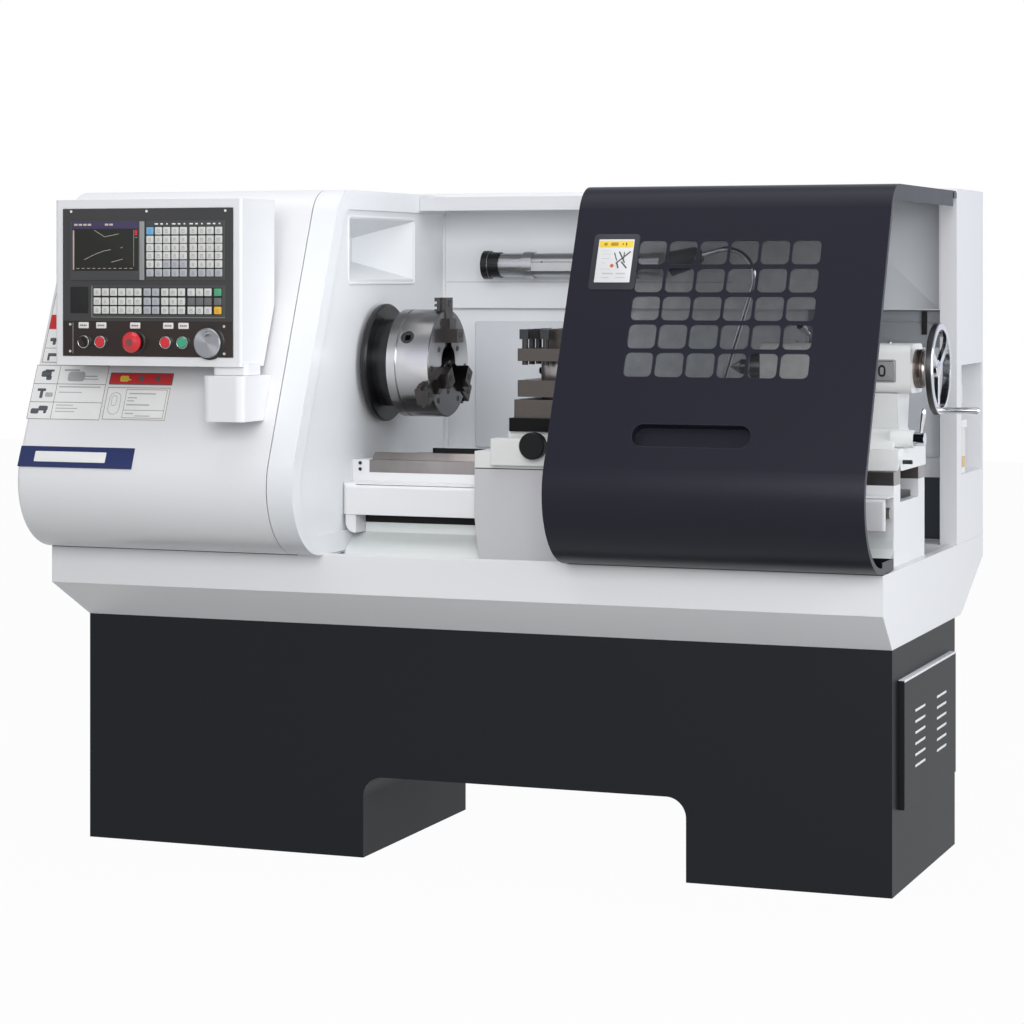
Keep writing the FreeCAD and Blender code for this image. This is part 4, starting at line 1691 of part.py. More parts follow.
PARTS = build_parts()
ORIGIN_SHIFT = stand_on_origin(PARTS)
for name, shape in PARTS.items():
    shape.exportStep("parts/%s.step" % name)
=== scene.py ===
"""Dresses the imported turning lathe: finishes, control panel, signs, trim, small fittings and a plain studio."""
import math

import bpy
import numpy as np
from bpy.props import FloatProperty, FloatVectorProperty, PointerProperty
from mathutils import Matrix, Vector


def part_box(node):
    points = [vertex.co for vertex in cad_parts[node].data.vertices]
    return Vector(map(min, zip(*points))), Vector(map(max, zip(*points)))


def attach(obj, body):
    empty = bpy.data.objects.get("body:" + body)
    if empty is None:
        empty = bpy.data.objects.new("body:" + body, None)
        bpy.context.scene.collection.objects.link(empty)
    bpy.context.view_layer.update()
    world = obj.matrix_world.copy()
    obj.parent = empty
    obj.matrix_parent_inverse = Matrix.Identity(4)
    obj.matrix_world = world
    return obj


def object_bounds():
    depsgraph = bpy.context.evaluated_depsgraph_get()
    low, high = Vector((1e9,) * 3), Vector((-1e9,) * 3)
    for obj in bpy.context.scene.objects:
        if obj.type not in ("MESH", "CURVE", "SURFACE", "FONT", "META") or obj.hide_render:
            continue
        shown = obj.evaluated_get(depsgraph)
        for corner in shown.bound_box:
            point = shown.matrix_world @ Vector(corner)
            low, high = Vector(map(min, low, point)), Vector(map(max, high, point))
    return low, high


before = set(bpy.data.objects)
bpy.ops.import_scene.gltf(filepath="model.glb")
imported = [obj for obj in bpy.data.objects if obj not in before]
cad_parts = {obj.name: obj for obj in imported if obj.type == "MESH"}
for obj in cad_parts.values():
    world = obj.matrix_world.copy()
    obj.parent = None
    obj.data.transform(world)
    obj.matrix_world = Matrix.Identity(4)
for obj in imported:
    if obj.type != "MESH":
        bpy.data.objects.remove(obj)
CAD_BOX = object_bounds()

bl_info = {
    "name": "Turning Lathe Dressing",
    "version": (1, 0, 0),
    "blender": (4, 5, 0),
    "location": "View3D > Sidebar > Lathe",
    "description": "Finishes, control panel, signs and trim for a flat-bed turning lathe",
    "category": "Object",
}

MM = 0.001
INK = 0.1 * MM      # how far print stands out
X_DIR, Y_DIR, Z_DIR = np.eye(3)
# Across and up directions of a plate that faces the viewer, the tailstock's end or the ceiling
FRONT, RIGHT, TOP = (X_DIR, Z_DIR), (Y_DIR, Z_DIR), (X_DIR, Y_DIR)


def box_of(node_name):
    """The lowest and highest corner of a node, as arrays in metres."""
    low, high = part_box(node_name)
    return np.array(low), np.array(high)


STAND, COVER, DOOR, FASCIA, BULKHEAD, WALL, CHUCK = map(box_of, (
    "stand", "headstock_cover", "door_shell", "panel_fascia", "bulkhead", "rear_wall", "chuck_body"))
AXIS = (CHUCK[0] + CHUCK[1]) / 2
STAND_HALF_LENGTH, STAND_HALF_DEPTH = 0.960, 0.315
MODEL_X = STAND[0][0] + STAND_HALF_LENGTH    # the middle of the stand, from which trim is measured
MODEL_Y = STAND[0][1] + STAND_HALF_DEPTH
TURRET_SEAM = box_of("turret_base")[0][2] + 30 * MM
WHEEL = box_of("pulse_wheel")
WHEEL_RADIUS = (WHEEL[1][0] - WHEEL[0][0]) / 2
WHEEL_CENTRE = (WHEEL[0][0] + WHEEL_RADIUS, WHEEL[0][1], WHEEL[0][2] + WHEEL_RADIUS)
HANDWHEEL_BOX = box_of("tailstock_handwheel")
HANDWHEEL_CENTRE = tuple((HANDWHEEL_BOX[0] + HANDWHEEL_BOX[1]) / 2)
HANDWHEEL_RADIUS = (HANDWHEEL_BOX[1][2] - HANDWHEEL_BOX[0][2]) / 2

# The guard's pot-bellied section: a round belly, a leaning slope and a round brow
BELLY_RADIUS = 158 * MM
GUARD_LEAN = math.radians(22.6)
SLOPE_OUT = np.array([0.0, -math.cos(GUARD_LEAN), math.sin(GUARD_LEAN)])
SLOPE_UP = np.array([0.0, math.sin(GUARD_LEAN), math.cos(GUARD_LEAN)])
SLOPE = (X_DIR, SLOPE_UP)


# ---------------------------------------------------------------- settings a user would change
def number(name, text, value, **limits):
    """A plain number property."""
    return FloatProperty(name=name, description=text, default=value, **limits)


def level(name, text, value):
    """A number that can't go below nought."""
    return number(name, text, value, min=0.0)


def size(name, text, value):
    """A length property in metres."""
    return number(name, text, value, min=0.0, unit="LENGTH", precision=4)


def colour(name, text, value):
    """A linear colour property."""
    return FloatVectorProperty(name=name, description=text, default=value, size=3, min=0.0, max=1.0, subtype="COLOR")


class LatheStudio(bpy.types.PropertyGroup):
    """Camera and light levels"""
    focal_length: number("Focal length", "Camera lens in millimetres", 101.7, min=10.0)
    camera_distance: size("Camera distance", "From the stand's left front corner, towards the viewer", 6.0095)
    camera_side: size("Camera side step", "From the stand's left end along the bed", 3.331)
    camera_height: size("Camera height", "Above the floor", 1.32)
    camera_turn: number("Camera turn", "About the upright", math.radians(20.7), subtype="ANGLE")
    camera_shift: number("Vertical shift", "Rise of the lens", -0.2316)
    overhead_power: level("Overhead lamp", "Watts of the overhead softbox", 50.0)
    front_power: level("Front lamp", "Watts of the front softbox", 140.0)
    side_power: level("Side lamp", "Watts of the softbox at the right", 110.0)
    inside_power: level("Inside lamp", "Watts of the strip over the work, twice that of the one at the tail", 0.95)
    sky_level: level("Room light", "Strength of the room's soft light", 0.52)


class LatheColours(bpy.types.PropertyGroup):
    """Base colours of the finishes"""
    white_enamel: colour("White enamel", "Covers, tray, bed and control housing", (0.735, 0.735, 0.75))
    cool_enamel: colour("Cool white enamel", "End frame and rear wall", (0.735, 0.75, 0.77))
    stand_enamel: colour("Stand enamel", "Pedestals and end cover", (0.0088, 0.0098, 0.0085))
    door_enamel: colour("Door enamel", "Sliding guard", (0.0115, 0.0118, 0.0178))
    navy_enamel: colour("Navy enamel", "Lower rear panel", (0.034, 0.040, 0.048))
    casting: colour("Painted casting", "Tailstock", (0.78, 0.785, 0.775))
    slide_sheet: colour("Chip slide", "Pale green-grey sheet", (0.74, 0.77, 0.765))
    steel: colour("Machined steel", "Chuck, spindle and quill", (0.68, 0.665, 0.67))
    tool_steel: colour("Tool steel", "Turret plates", (0.095, 0.084, 0.076))
    alloy: colour("Alloy", "Lamp tube and button collars", (0.50, 0.50, 0.51))
    chrome: colour("Chrome", "Handwheel and levers", (0.66, 0.67, 0.69))
    black_oxide: colour("Black oxide", "Bolts and screws", (0.010, 0.010, 0.0115))
    panel_grey: colour("Panel grey", "Screen and key modules", (0.047, 0.048, 0.047))
    panel_black: colour("Panel black", "Lower control plate", (0.025, 0.0175, 0.0145))
    key_white: colour("White key", "Most keys", (0.60, 0.60, 0.58))
    key_grey: colour("Grey key", "Second key colour", (0.40, 0.41, 0.44))
    signal_red: colour("Signal red", "Stop controls", (0.55, 0.012, 0.018))
    signal_green: colour("Signal green", "Start control", (0.035, 0.33, 0.19))
    signal_blue: colour("Signal blue", "Stripe on the cover", (0.014, 0.025, 0.105))


class LathePanel(bpy.types.PropertyGroup):
    """Sizes of the control panel's front"""
    key_width: size("Key width", "Width of a key cap", 17.6 * MM)
    key_height: size("Key height", "Height of a key cap", 16.6 * MM)
    key_rise: size("Key rise", "How far a key cap stands out", 1.6 * MM)
    module_rise: size("Module rise", "How far a module's frame stands out", 2.4 * MM)
    bezel_width: size("Bezel width", "Ring around a push button", 3.2 * MM)


class LatheTrim(bpy.types.PropertyGroup):
    """Sizes of signs, seams and small fittings"""
    card_thickness: size("Card thickness", "Thickness of a sign", 0.5 * MM)
    seam_width: size("Seam width", "Dark line between sheets", 1.4 * MM)
    screw_head: size("Screw head", "Diameter of a small socket screw", 8.0 * MM)


SETTINGS = {"lathe_studio": LatheStudio, "lathe_colours": LatheColours, "lathe_panel": LathePanel,
            "lathe_trim": LatheTrim}


# ---------------------------------------------------------------- surfaces
# A shape is a pair: points (n, 3) and a list of face arrays, each (count, corners).
def mm(rows):
    """Rows of millimetres as an array in metres."""
    return np.array(rows, float) * MM


def joined(shapes):
    """Several shapes as one: the points follow each other and the faces count on from them."""
    points, faces, start = [], [], 0
    for some_points, some_faces in shapes:
        points.append(some_points)
        faces.extend(array + start for array in some_faces)
        start += len(some_points)
    return np.concatenate(points), faces


def repeated(shape, offsets):
    """A shape copied to every offset: each copy is the points plus one offset."""
    points, faces = shape
    offsets = np.asarray(offsets, dtype=float)
    every = (points[None, :, :] + offsets[:, None, :]).reshape(-1, 3)
    starts = np.arange(len(offsets))[:, None, None] * len(points)
    return every, [(array[None, :, :] + starts).reshape(-1, array.shape[1]) for array in faces]


def placed(shape, origin, across, up):
    """A local shape set in the room: origin + u across + v up + w (across x up)."""
    points, faces = shape
    across, up = np.asarray(across, float), np.asarray(up, float)
    axes = np.stack([across, up, np.cross(across, up)])
    return np.asarray(origin, float) + points @ axes, faces


def rings_to_shape(rings, closed_loop=False):
    """Rings (r, n, 3) joined by quads; the end rings are capped unless the rings close on themselves."""
    count, around = rings.shape[:2]
    index = np.arange(count * around).reshape(count, around)
    below = index if closed_loop else index[:-1]
    above = np.roll(index, -1, axis=0) if closed_loop else index[1:]
    quads = np.stack([below, np.roll(below, -1, axis=1), np.roll(above, -1, axis=1), above], axis=2)
    faces = [quads.reshape(-1, 4)]
    if not closed_loop:
        faces += [index[0][::-1][None, :], index[-1][None, :]]
    return rings.reshape(-1, 3), faces


def round_rectangles(width, height, radius, insets, levels, steps):
    """Rings round a rectangle with round corners.

    A point is its corner's centre + (radius - inset)(cos a, sin a), a over a quarter turn, at w = level.
    """
    turn = np.linspace(0, math.pi / 2, steps + 1)
    angles = turn[None, :] + np.arange(4)[:, None] * math.pi / 2
    reach = np.array([[1, 1], [-1, 1], [-1, -1], [1, -1]]) * [width / 2 - radius, height / 2 - radius]
    reduced = (radius - insets)[:, None, None]
    u = reach[None, :, None, 0] + reduced * np.cos(angles)[None]
    v = reach[None, :, None, 1] + reduced * np.sin(angles)[None]
    w = np.broadcast_to(levels[:, None, None], u.shape)
    return np.stack([u, v, w], axis=3).reshape(len(levels), -1, 3)


def slab(width, height, thickness, radius, bevel, steps=4):
    """A plate centred on the origin, standing w = 0 to thickness.

    Its upper edge is a quarter round: inset = bevel (1 - cos b) while w rises by bevel sin b.
    """
    roll = np.linspace(0, math.pi / 2, 4)
    insets = np.concatenate([[0.0], bevel * (1 - np.cos(roll))])
    levels = np.concatenate([[0.0], thickness - bevel + bevel * np.sin(roll)])
    return rings_to_shape(round_rectangles(width, height, radius, insets, levels, steps))


def frame_ring(width, height, band, rise, radius, steps=5):
    """A picture-frame moulding: the inset runs from 0 to band while w rises and falls as half a sine."""
    arch = np.linspace(0, math.pi, 7)
    insets = np.concatenate([band * (1 - np.cos(arch)) / 2, [band, 0.0]])
    levels = np.concatenate([rise * np.sin(arch), [-rise, -rise]])
    return rings_to_shape(round_rectangles(width, height, radius, insets, levels, steps), closed_loop=True)


def turned(profile, around=40, closed_loop=False):
    """A profile of (radius, w) turned about w: each point becomes a ring radius (cos a, sin a)."""
    profile = np.asarray(profile, float)
    angle = np.arange(around) * 2 * math.pi / around
    u = profile[:, 0, None] * np.cos(angle)
    v = profile[:, 0, None] * np.sin(angle)
    w = np.broadcast_to(profile[:, 1, None], u.shape)
    return rings_to_shape(np.stack([u, v, w], axis=2), closed_loop)


def dome(radius, rise, foot, around=28):
    """A cap on an upright foot: its height is foot + rise cos b over radius sin b."""
    bend = np.linspace(math.pi / 2, 0.12, 7)
    profile = np.stack([radius * np.sin(bend), foot + rise * np.cos(bend)], axis=1)
    return turned(np.concatenate([[[radius, 0.0]], profile]), around)


def socket_screw(head, rise, around=24):
    """A cap screw: a rolled head whose top dips into a six-sided socket.

    The socket's radius is that of a regular hexagon: cos 30 / cos of the angle from the nearest flat's middle.
    """
    half = head / 2
    lip = rise * 0.2
    rim = [(half, 0), (half, rise - lip), (half - lip, rise), (half * 0.56, rise), (half * 0.5, rise - lip),
           (half * 0.46, rise * 0.2)]
    points, faces = turned(rim, around)
    inner = points[-around:]
    angle = np.arctan2(inner[:, 1], inner[:, 0])
    six = np.cos(math.pi / 6) / np.cos((angle + math.pi / 6) % (math.pi / 3) - math.pi / 6)
    points[-2 * around:, :2] *= np.tile(six, 2)[:, None]
    return points, faces


def slope_place(x, z, base, lift=0.0):
    """The guard's slope at a height: the plane a belly's radius out from its centre, square to the way out."""
    centre_y = COVER[0][1] + BELLY_RADIUS
    reach = centre_y * SLOPE_OUT[1] + (base + BELLY_RADIUS) * SLOPE_OUT[2] + BELLY_RADIUS
    return np.array([x, (reach - z * SLOPE_OUT[2]) / SLOPE_OUT[1], z]) + SLOPE_OUT * lift


def slope_plate(x0, x1, z0, z1, base, rise, lift=0.0, radius=None, steps=4):
    """A plate on the guard's slope: edges in millimetres from the machine's middle and the floor."""
    width, height = (x1 - x0) * MM, (z1 - z0) * MM / math.cos(GUARD_LEAN)
    corner = min(width, height) * 0.2 if radius is None else radius
    place = slope_place(MODEL_X + (x0 + x1) / 2 * MM, (z0 + z1) / 2 * MM, base, lift)
    return placed(slab(width, height, rise, corner, rise * 0.4, steps), place, *SLOPE)


def slope_marks(rows, base, lift):
    """Flat marks on the guard's slope, from rows of (left, right, low, high) in millimetres."""
    return [slope_plate(*row, base, INK, lift, steps=1) for row in rows]


def slope_stroke(x0, z0, x1, z1, breadth, base, lift, rise=INK):
    """A bar on the guard's slope from one point to another, in millimetres."""
    ends = np.array([slope_place(MODEL_X + x * MM, z * MM, base, lift) for x, z in ((x0, z0), (x1, z1))])
    run = np.linalg.norm(ends[1] - ends[0])
    along = (ends[1] - ends[0]) / run
    bar = slab(run, breadth * MM, rise, breadth * 0.3 * MM, rise * 0.4, steps=2)
    return placed(bar, ends.mean(axis=0), along, np.cross(SLOPE_OUT, along))


def upright_plate(x0, x1, z0, z1, y, rise, radius=1.0, bevel=None, steps=4):
    """A plate that faces the viewer: edges and radius in millimetres, its y and its rise in metres."""
    rounding = min(rise * 0.5, radius * MM * 0.8) if bevel is None else bevel
    shape = slab((x1 - x0) * MM, (z1 - z0) * MM, rise, radius * MM, rounding, steps)
    return placed(shape, (MODEL_X + (x0 + x1) / 2 * MM, y, (z0 + z1) / 2 * MM), *FRONT)


# ---------------------------------------------------------------- node helpers
NOISE_SPAN = (0.3, 0.7)


def plug(tree, target, values):
    """Links the sockets among the values to a node's inputs and sets the plain values on them."""
    for key, value in values.items():
        if isinstance(value, bpy.types.NodeSocket):
            tree.links.new(value, target.inputs[key])
        else:
            target.inputs[key].default_value = value
    return target


def node(tree, kind, inputs=None, **settings):
    """A shader node with its settings, its inputs linked to sockets or set to values."""
    made = tree.nodes.new(kind)
    for key, value in settings.items():
        setattr(made, key, value)
    return plug(tree, made, inputs or {})


def calc(tree, operation, *values, **settings):
    """A step of arithmetic on numbers."""
    return node(tree, "ShaderNodeMath", dict(enumerate(values)), operation=operation, **settings).outputs[0]


def vector_calc(tree, operation, *values, **named):
    """A step of arithmetic on vectors; a dot product or a length gives a number."""
    made = node(tree, "ShaderNodeVectorMath", {**dict(enumerate(values)), **named}, operation=operation)
    return made.outputs["Value" if operation in ("DOT_PRODUCT", "LENGTH") else "Vector"]


def noise(tree, place, scale, detail=2.0, **rest):
    """Cloudy noise read at a place."""
    inputs = {"Vector": place, "Scale": scale, "Detail": detail, **rest}
    return node(tree, "ShaderNodeTexNoise", inputs).outputs["Fac"]


def object_place(tree):
    """Where a point lies on the unmoved object."""
    return node(tree, "ShaderNodeTexCoord").outputs["Object"]


def remap(tree, value, low, high, start=0.0, end=1.0):
    """A value from start..end carried to low..high and held there."""
    inputs = {"Value": value, "From Min": start, "From Max": end, "To Min": low, "To Max": high}
    return node(tree, "ShaderNodeMapRange", inputs).outputs["Result"]


def from_grain(tree, grain, low, high):
    """The span that noise mostly keeps to, carried to low..high."""
    return remap(tree, grain, low, high, *NOISE_SPAN)


def tint(tree, first, second, mask):
    """A blend of two colours by a mask."""
    return node(tree, "ShaderNodeMix", {0: mask, 6: first, 7: second}, data_type="RGBA").outputs[2]


def full(rgb):
    """A colour with its alpha."""
    return (rgb[0], rgb[1], rgb[2], 1.0)


def varied(tree, rgb, share, mask):
    """A colour that a mask carries from a share darker to the same share lighter."""
    dark, light = (full([min(part * (1 + way * share), 1.0) for part in rgb]) for way in (-1, 1))
    return tint(tree, dark, light, mask)


# ---------------------------------------------------------------- effects
SOCKET_KINDS = {1: "NodeSocketFloat", 3: "NodeSocketVector", 4: "NodeSocketColor"}
# Noise scales, in cells to the metre, and heights of the bumps
CLOUD_SCALE, SMEAR_SCALE, PEEL_SCALE, WEAR_SCALE, RING_SCALE = 2.2, 9.0, 420.0, 60.0, 650.0
PEEL_HEIGHT, GRAIN_HEIGHT, SPARK_HEIGHT = 0.4 * MM, 0.3 * MM, 0.2 * MM


def effect(name, inputs, outputs):
    """An empty node group: inputs by name and value, outputs by name and width; gives tree, inlets and exit."""
    tree = bpy.data.node_groups.new(name, "ShaderNodeTree")
    for label, value in inputs.items():
        width = len(value) if isinstance(value, tuple) else 1
        tree.interface.new_socket(label, in_out="INPUT", socket_type=SOCKET_KINDS[width]).default_value = value
    for label, width in outputs.items():
        tree.interface.new_socket(label, in_out="OUTPUT", socket_type=SOCKET_KINDS[width])
    return tree, tree.nodes.new("NodeGroupInput").outputs, tree.nodes.new("NodeGroupOutput")


def round_edges(tree, radius):
    """A normal that rolls over the edges."""
    return node(tree, "ShaderNodeBevel", {"Radius": radius}, samples=2).outputs[0]


def bump(tree, strength, distance, height, **rest):
    """A normal tilted by a height."""
    inputs = {"Strength": strength, "Distance": distance, "Height": height, **rest}
    return node(tree, "ShaderNodeBump", inputs).outputs[0]


def lacquer_effect():
    """Sprayed enamel: a broad uneven tone, a fine orange-peel bump, and edges rounded to catch the light."""
    tree, inlet, leave = effect("Sprayed lacquer", {"Colour": (0.8, 0.8, 0.8, 1.0), "Unevenness": 0.03, "Peel": 0.05,
                                                    "Edge": 0.0012, "Matt": 0.32, "Smear": 0.06},
                                {"Colour": 4, "Roughness": 1, "Normal": 3})
    place = object_place(tree)
    cloud = calc(tree, "SUBTRACT", noise(tree, place, CLOUD_SCALE, 3.0), 0.5)
    spread = calc(tree, "MULTIPLY_ADD", cloud, inlet["Unevenness"], 1.0)
    smear = calc(tree, "SUBTRACT", noise(tree, place, SMEAR_SCALE, 4.0), 0.5)
    speckle = noise(tree, place, PEEL_SCALE)
    plug(tree, leave, {
        "Colour": vector_calc(tree, "SCALE", inlet["Colour"], Scale=spread),
        "Roughness": calc(tree, "MULTIPLY_ADD", smear, inlet["Smear"], inlet["Matt"]),
        "Normal": bump(tree, inlet["Peel"], PEEL_HEIGHT, speckle, Normal=round_edges(tree, inlet["Edge"]))})
    return tree


def drawn_grain_effect():
    """Long fine scratches: noise squeezed across the stroke by a stretch for each axis."""
    tree, inlet, leave = effect("Drawn grain", {"Stretch": (4.0, 400.0, 400.0), "Depth": 0.1, "Edge": 0.0006},
                                {"Grain": 1, "Normal": 3})
    squeezed = vector_calc(tree, "MULTIPLY", object_place(tree), inlet["Stretch"])
    grain = noise(tree, squeezed, 1.0, 4.0, Roughness=0.65)
    plug(tree, leave, {
        "Grain": grain,
        "Normal": bump(tree, inlet["Depth"], GRAIN_HEIGHT, grain, Normal=round_edges(tree, inlet["Edge"]))})
    return tree


def turned_grain_and_painted_sheen_effect():
    """Lathe-turned rings: noise at (place along a line, distance from it), and a painted sheen cos 2a round the line.
    """
    tree, inlet, leave = effect("Turned grain", {"Centre": (0.0, 0.0, 0.0), "Line": (1.0, 0.0, 0.0),
                                                 "Up": (0.0, 0.0, 1.0), "Pitch": 700.0, "Depth": 0.1, "Edge": 0.0006},
                                {"Grain": 1, "Sheen": 1, "Normal": 3})
    local = vector_calc(tree, "SUBTRACT", object_place(tree), inlet["Centre"])
    side = vector_calc(tree, "CROSS_PRODUCT", inlet["Line"], inlet["Up"])
    along, rise, aside = [vector_calc(tree, "DOT_PRODUCT", local, way) for way in (inlet["Line"], inlet["Up"], side)]
    radius = vector_calc(tree, "LENGTH", node(tree, "ShaderNodeCombineXYZ", {0: rise, 1: aside}).outputs[0])
    ring = node(tree, "ShaderNodeCombineXYZ", {0: along, 1: radius}).outputs[0]
    grain = noise(tree, ring, inlet["Pitch"], 3.0, Roughness=0.7)
    # Painted sheen: brightest level with the line and darkest straight above and below it, in place of a reflection
    sheen = calc(tree, "COSINE", calc(tree, "MULTIPLY", calc(tree, "ARCTAN2", rise, aside), 2.0))
    plug(tree, leave, {
        "Grain": grain, "Sheen": remap(tree, sheen, 0.0, 1.0, -1.0, 1.0),
        "Normal": bump(tree, inlet["Depth"], GRAIN_HEIGHT, grain, Normal=round_edges(tree, inlet["Edge"]))})
    return tree


def wear_and_painted_highlight_effect():
    """Edges for wear and painted highlight: where a rounded normal leaves the face's own normal, broken up by noise.
    """
    tree, inlet, leave = effect("Rubbed edges", {"Width": 0.0012, "Amount": 0.5}, {"Mask": 1})
    face = node(tree, "ShaderNodeNewGeometry").outputs["Normal"]
    agree = vector_calc(tree, "DOT_PRODUCT", round_edges(tree, inlet["Width"]), face)
    edge = remap(tree, agree, 1.0, 0.0, 0.82, 0.995)
    patch = remap(tree, noise(tree, object_place(tree), WEAR_SCALE, 3.0), 0.3, 1.0, 0.35, 0.65)
    broken = calc(tree, "MULTIPLY", edge, patch)
    plug(tree, leave, {"Mask": calc(tree, "MULTIPLY", broken, inlet["Amount"], use_clamp=True)})
    return tree


EFFECTS = {"lacquer": lacquer_effect, "drawn": drawn_grain_effect, "turned": turned_grain_and_painted_sheen_effect, "edge rub and highlight": wear_and_painted_highlight_effect}
built_effects = {}
built_finishes = {}


def use_effect(tree, name, **inputs):
    """An effect's group, built once and placed in a material with its own values."""
    if name not in built_effects:
        built_effects[name] = EFFECTS[name]()
    group = tree.nodes.new("ShaderNodeGroup")
    group.node_tree = built_effects[name]
    return plug(tree, group, inputs).outputs


# ---------------------------------------------------------------- kinds of finish
def new_material(name):
    """An empty material with a Principled shader."""
    material = bpy.data.materials.new(name)
    material.use_nodes = True
    return material, material.node_tree, material.node_tree.nodes["Principled BSDF"]


def cover_shader(tree, shader, base, roughness, normal, **rest):
    """Colour, roughness and normal on the shader, and plain values on its other sockets."""
    named = {key.replace("_", " "): value for key, value in rest.items()}
    plug(tree, shader, {"Base Color": base, "Roughness": roughness, "Normal": normal, **named})


def painted(name, rgb, gloss=0.5, unevenness=0.03, peel=0.05, edge=0.0012, coat=0.0, rub=None, matt=0.32, smear=0.06,
            sheen=(1.0, 1.0, 1.0)):
    """Sprayed paint on sheet or casting; a rub colour on edges 1.6 times their rounding is wear and painted
    highlight.
    """
    material, tree, shader = new_material(name)
    skin = use_effect(tree, "lacquer", Colour=full(rgb), Unevenness=unevenness, Peel=peel, Edge=edge, Matt=matt,
                      Smear=smear)
    base = skin["Colour"]
    if rub is not None:
        base = tint(tree, base, full(rub), use_effect(tree, "edge rub and highlight", Width=edge * 1.6, Amount=0.7)["Mask"])
    cover_shader(tree, shader, base, skin["Roughness"], skin["Normal"], Specular_IOR_Level=gloss, Coat_Weight=coat,
                 Coat_Roughness=0.08, Specular_Tint=full(sheen))
    return material


def drawn_steel(name, rgb, stretch, roughness=(0.22, 0.38), depth=0.08, contrast=0.25, edge=0.0006, metallic=1.0):
    """Ground or rolled metal: long grain in tone, roughness and bump."""
    material, tree, shader = new_material(name)
    grain = use_effect(tree, "drawn", Stretch=stretch, Depth=depth, Edge=edge)
    cover_shader(tree, shader, varied(tree, rgb, contrast, grain["Grain"]),
                 from_grain(tree, grain["Grain"], *roughness), grain["Normal"], Metallic=metallic)
    return material


def turned_steel(name, rgb, roughness=(0.19, 0.24), depth=0.008, contrast=0.035, edge=0.0008, sheen=0.45,
                 centre=(0.0, AXIS[1], AXIS[2]), line=(1.0, 0.0, 0.0), up=(0.0, 0.0, 1.0)):
    """Metal turned about a line: ring grain, and a painted reflection band where the sheen to the sixth power is
    high.
    """
    material, tree, shader = new_material(name)
    grain = use_effect(tree, "turned", Centre=centre, Line=line, Up=up, Pitch=RING_SCALE, Depth=depth, Edge=edge)
    # Painted reflection: full tone in the band, falling to 1 - sheen of it away from the band
    shade = remap(tree, calc(tree, "POWER", grain["Sheen"], 6.0), 1.0 - sheen, 1.0)
    tone = vector_calc(tree, "SCALE", varied(tree, rgb, contrast, grain["Grain"]), Scale=shade)
    cover_shader(tree, shader, tone, from_grain(tree, grain["Grain"], *roughness), grain["Normal"], Metallic=1.0)
    return material


def two_tone_steel(name, upper, lower, height):
    """Ground steel above a height and blackened steel below it."""
    material, tree, shader = new_material(name)
    grain = use_effect(tree, "drawn", Stretch=(60.0, 60.0, 900.0), Depth=0.06, Edge=0.0012)
    z = node(tree, "ShaderNodeSeparateXYZ", {0: object_place(tree)}).outputs[2]
    tone = tint(tree, full(lower), varied(tree, upper, 0.15, grain["Grain"]), calc(tree, "GREATER_THAN", z, height))
    cover_shader(tree, shader, tone, from_grain(tree, grain["Grain"], 0.3, 0.45), grain["Normal"], Metallic=1.0)
    return material


def rim_chrome(name, bright, dark, centre, radius):
    """Polished metal whose outer band, beyond a radius about X, is dark satin."""
    material, tree, shader = new_material(name)
    grain = use_effect(tree, "turned", Centre=centre, Pitch=RING_SCALE, Depth=0.02, Edge=0.0015)
    local = vector_calc(tree, "SUBTRACT", object_place(tree), centre)
    reach = vector_calc(tree, "LENGTH", vector_calc(tree, "MULTIPLY", local, (0.0, 1.0, 1.0)))
    outside = remap(tree, reach, 0.0, 1.0, radius - 2.2 * MM, radius - 1.2 * MM)
    polished = tint(tree, full([part * 0.92 for part in bright]), full(bright), grain["Grain"])
    cover_shader(tree, shader, tint(tree, polished, full(dark), outside), remap(tree, outside, 0.13, 0.34),
                 grain["Normal"], Metallic=1.0)
    return material


def shaded_sheet(name, pale, dark, start, end):
    """Enamelled sheet with painted shade: it darkens from one place along X to another, as the power 1.6 of the way.
    """
    material, tree, shader = new_material(name)
    x = node(tree, "ShaderNodeSeparateXYZ", {0: object_place(tree)}).outputs[0]
    shade = calc(tree, "POWER", remap(tree, x, 0.0, 1.0, start, end), 1.6)
    skin = use_effect(tree, "lacquer", Colour=full(pale), Unevenness=0.02, Edge=0.0004)
    cover_shader(tree, shader, tint(tree, skin["Colour"], full(dark), shade), skin["Roughness"], skin["Normal"],
                 Specular_IOR_Level=0.3)
    return material


def moulded(name, rgb, roughness=0.4, texture=0.06, gloss=0.4, scale=900.0, glow=0.0, coat=0.0):
    """Moulded plastic or print: fine spark-eroded grain in tone and bump."""
    material, tree, shader = new_material(name)
    place = object_place(tree)
    grain = noise(tree, place, scale)
    base = varied(tree, rgb, 0.06, noise(tree, place, 12.0))
    cover_shader(tree, shader, base, from_grain(tree, grain, roughness * 0.85, roughness * 1.15),
                 bump(tree, texture, SPARK_HEIGHT, grain), Specular_IOR_Level=gloss, Coat_Weight=coat)
    if glow > 0:
        plug(tree, shader, {"Emission Color": base, "Emission Strength": glow})
    return material


def clear_sheet(name, rgb, alpha, roughness=0.12):
    """Tinted see-through sheet with faint rubbing marks."""
    material, tree, shader = new_material(name)
    marks = noise(tree, object_place(tree), 30.0, 5.0)
    plug(tree, shader, {
        "Base Color": varied(tree, rgb, 0.08, marks), "Specular IOR Level": 0.35,
        "Roughness": from_grain(tree, marks, roughness * 0.7, roughness * 1.4),
        "Alpha": from_grain(tree, marks, alpha - 0.03, alpha + 0.03)})
    return material


# ---------------------------------------------------------------- finishes
def use(maker, rgb, *values, **named):
    """A row of the table below: the kind of finish, its colour or that colour's setting, and its values."""
    return maker, rgb, values, named


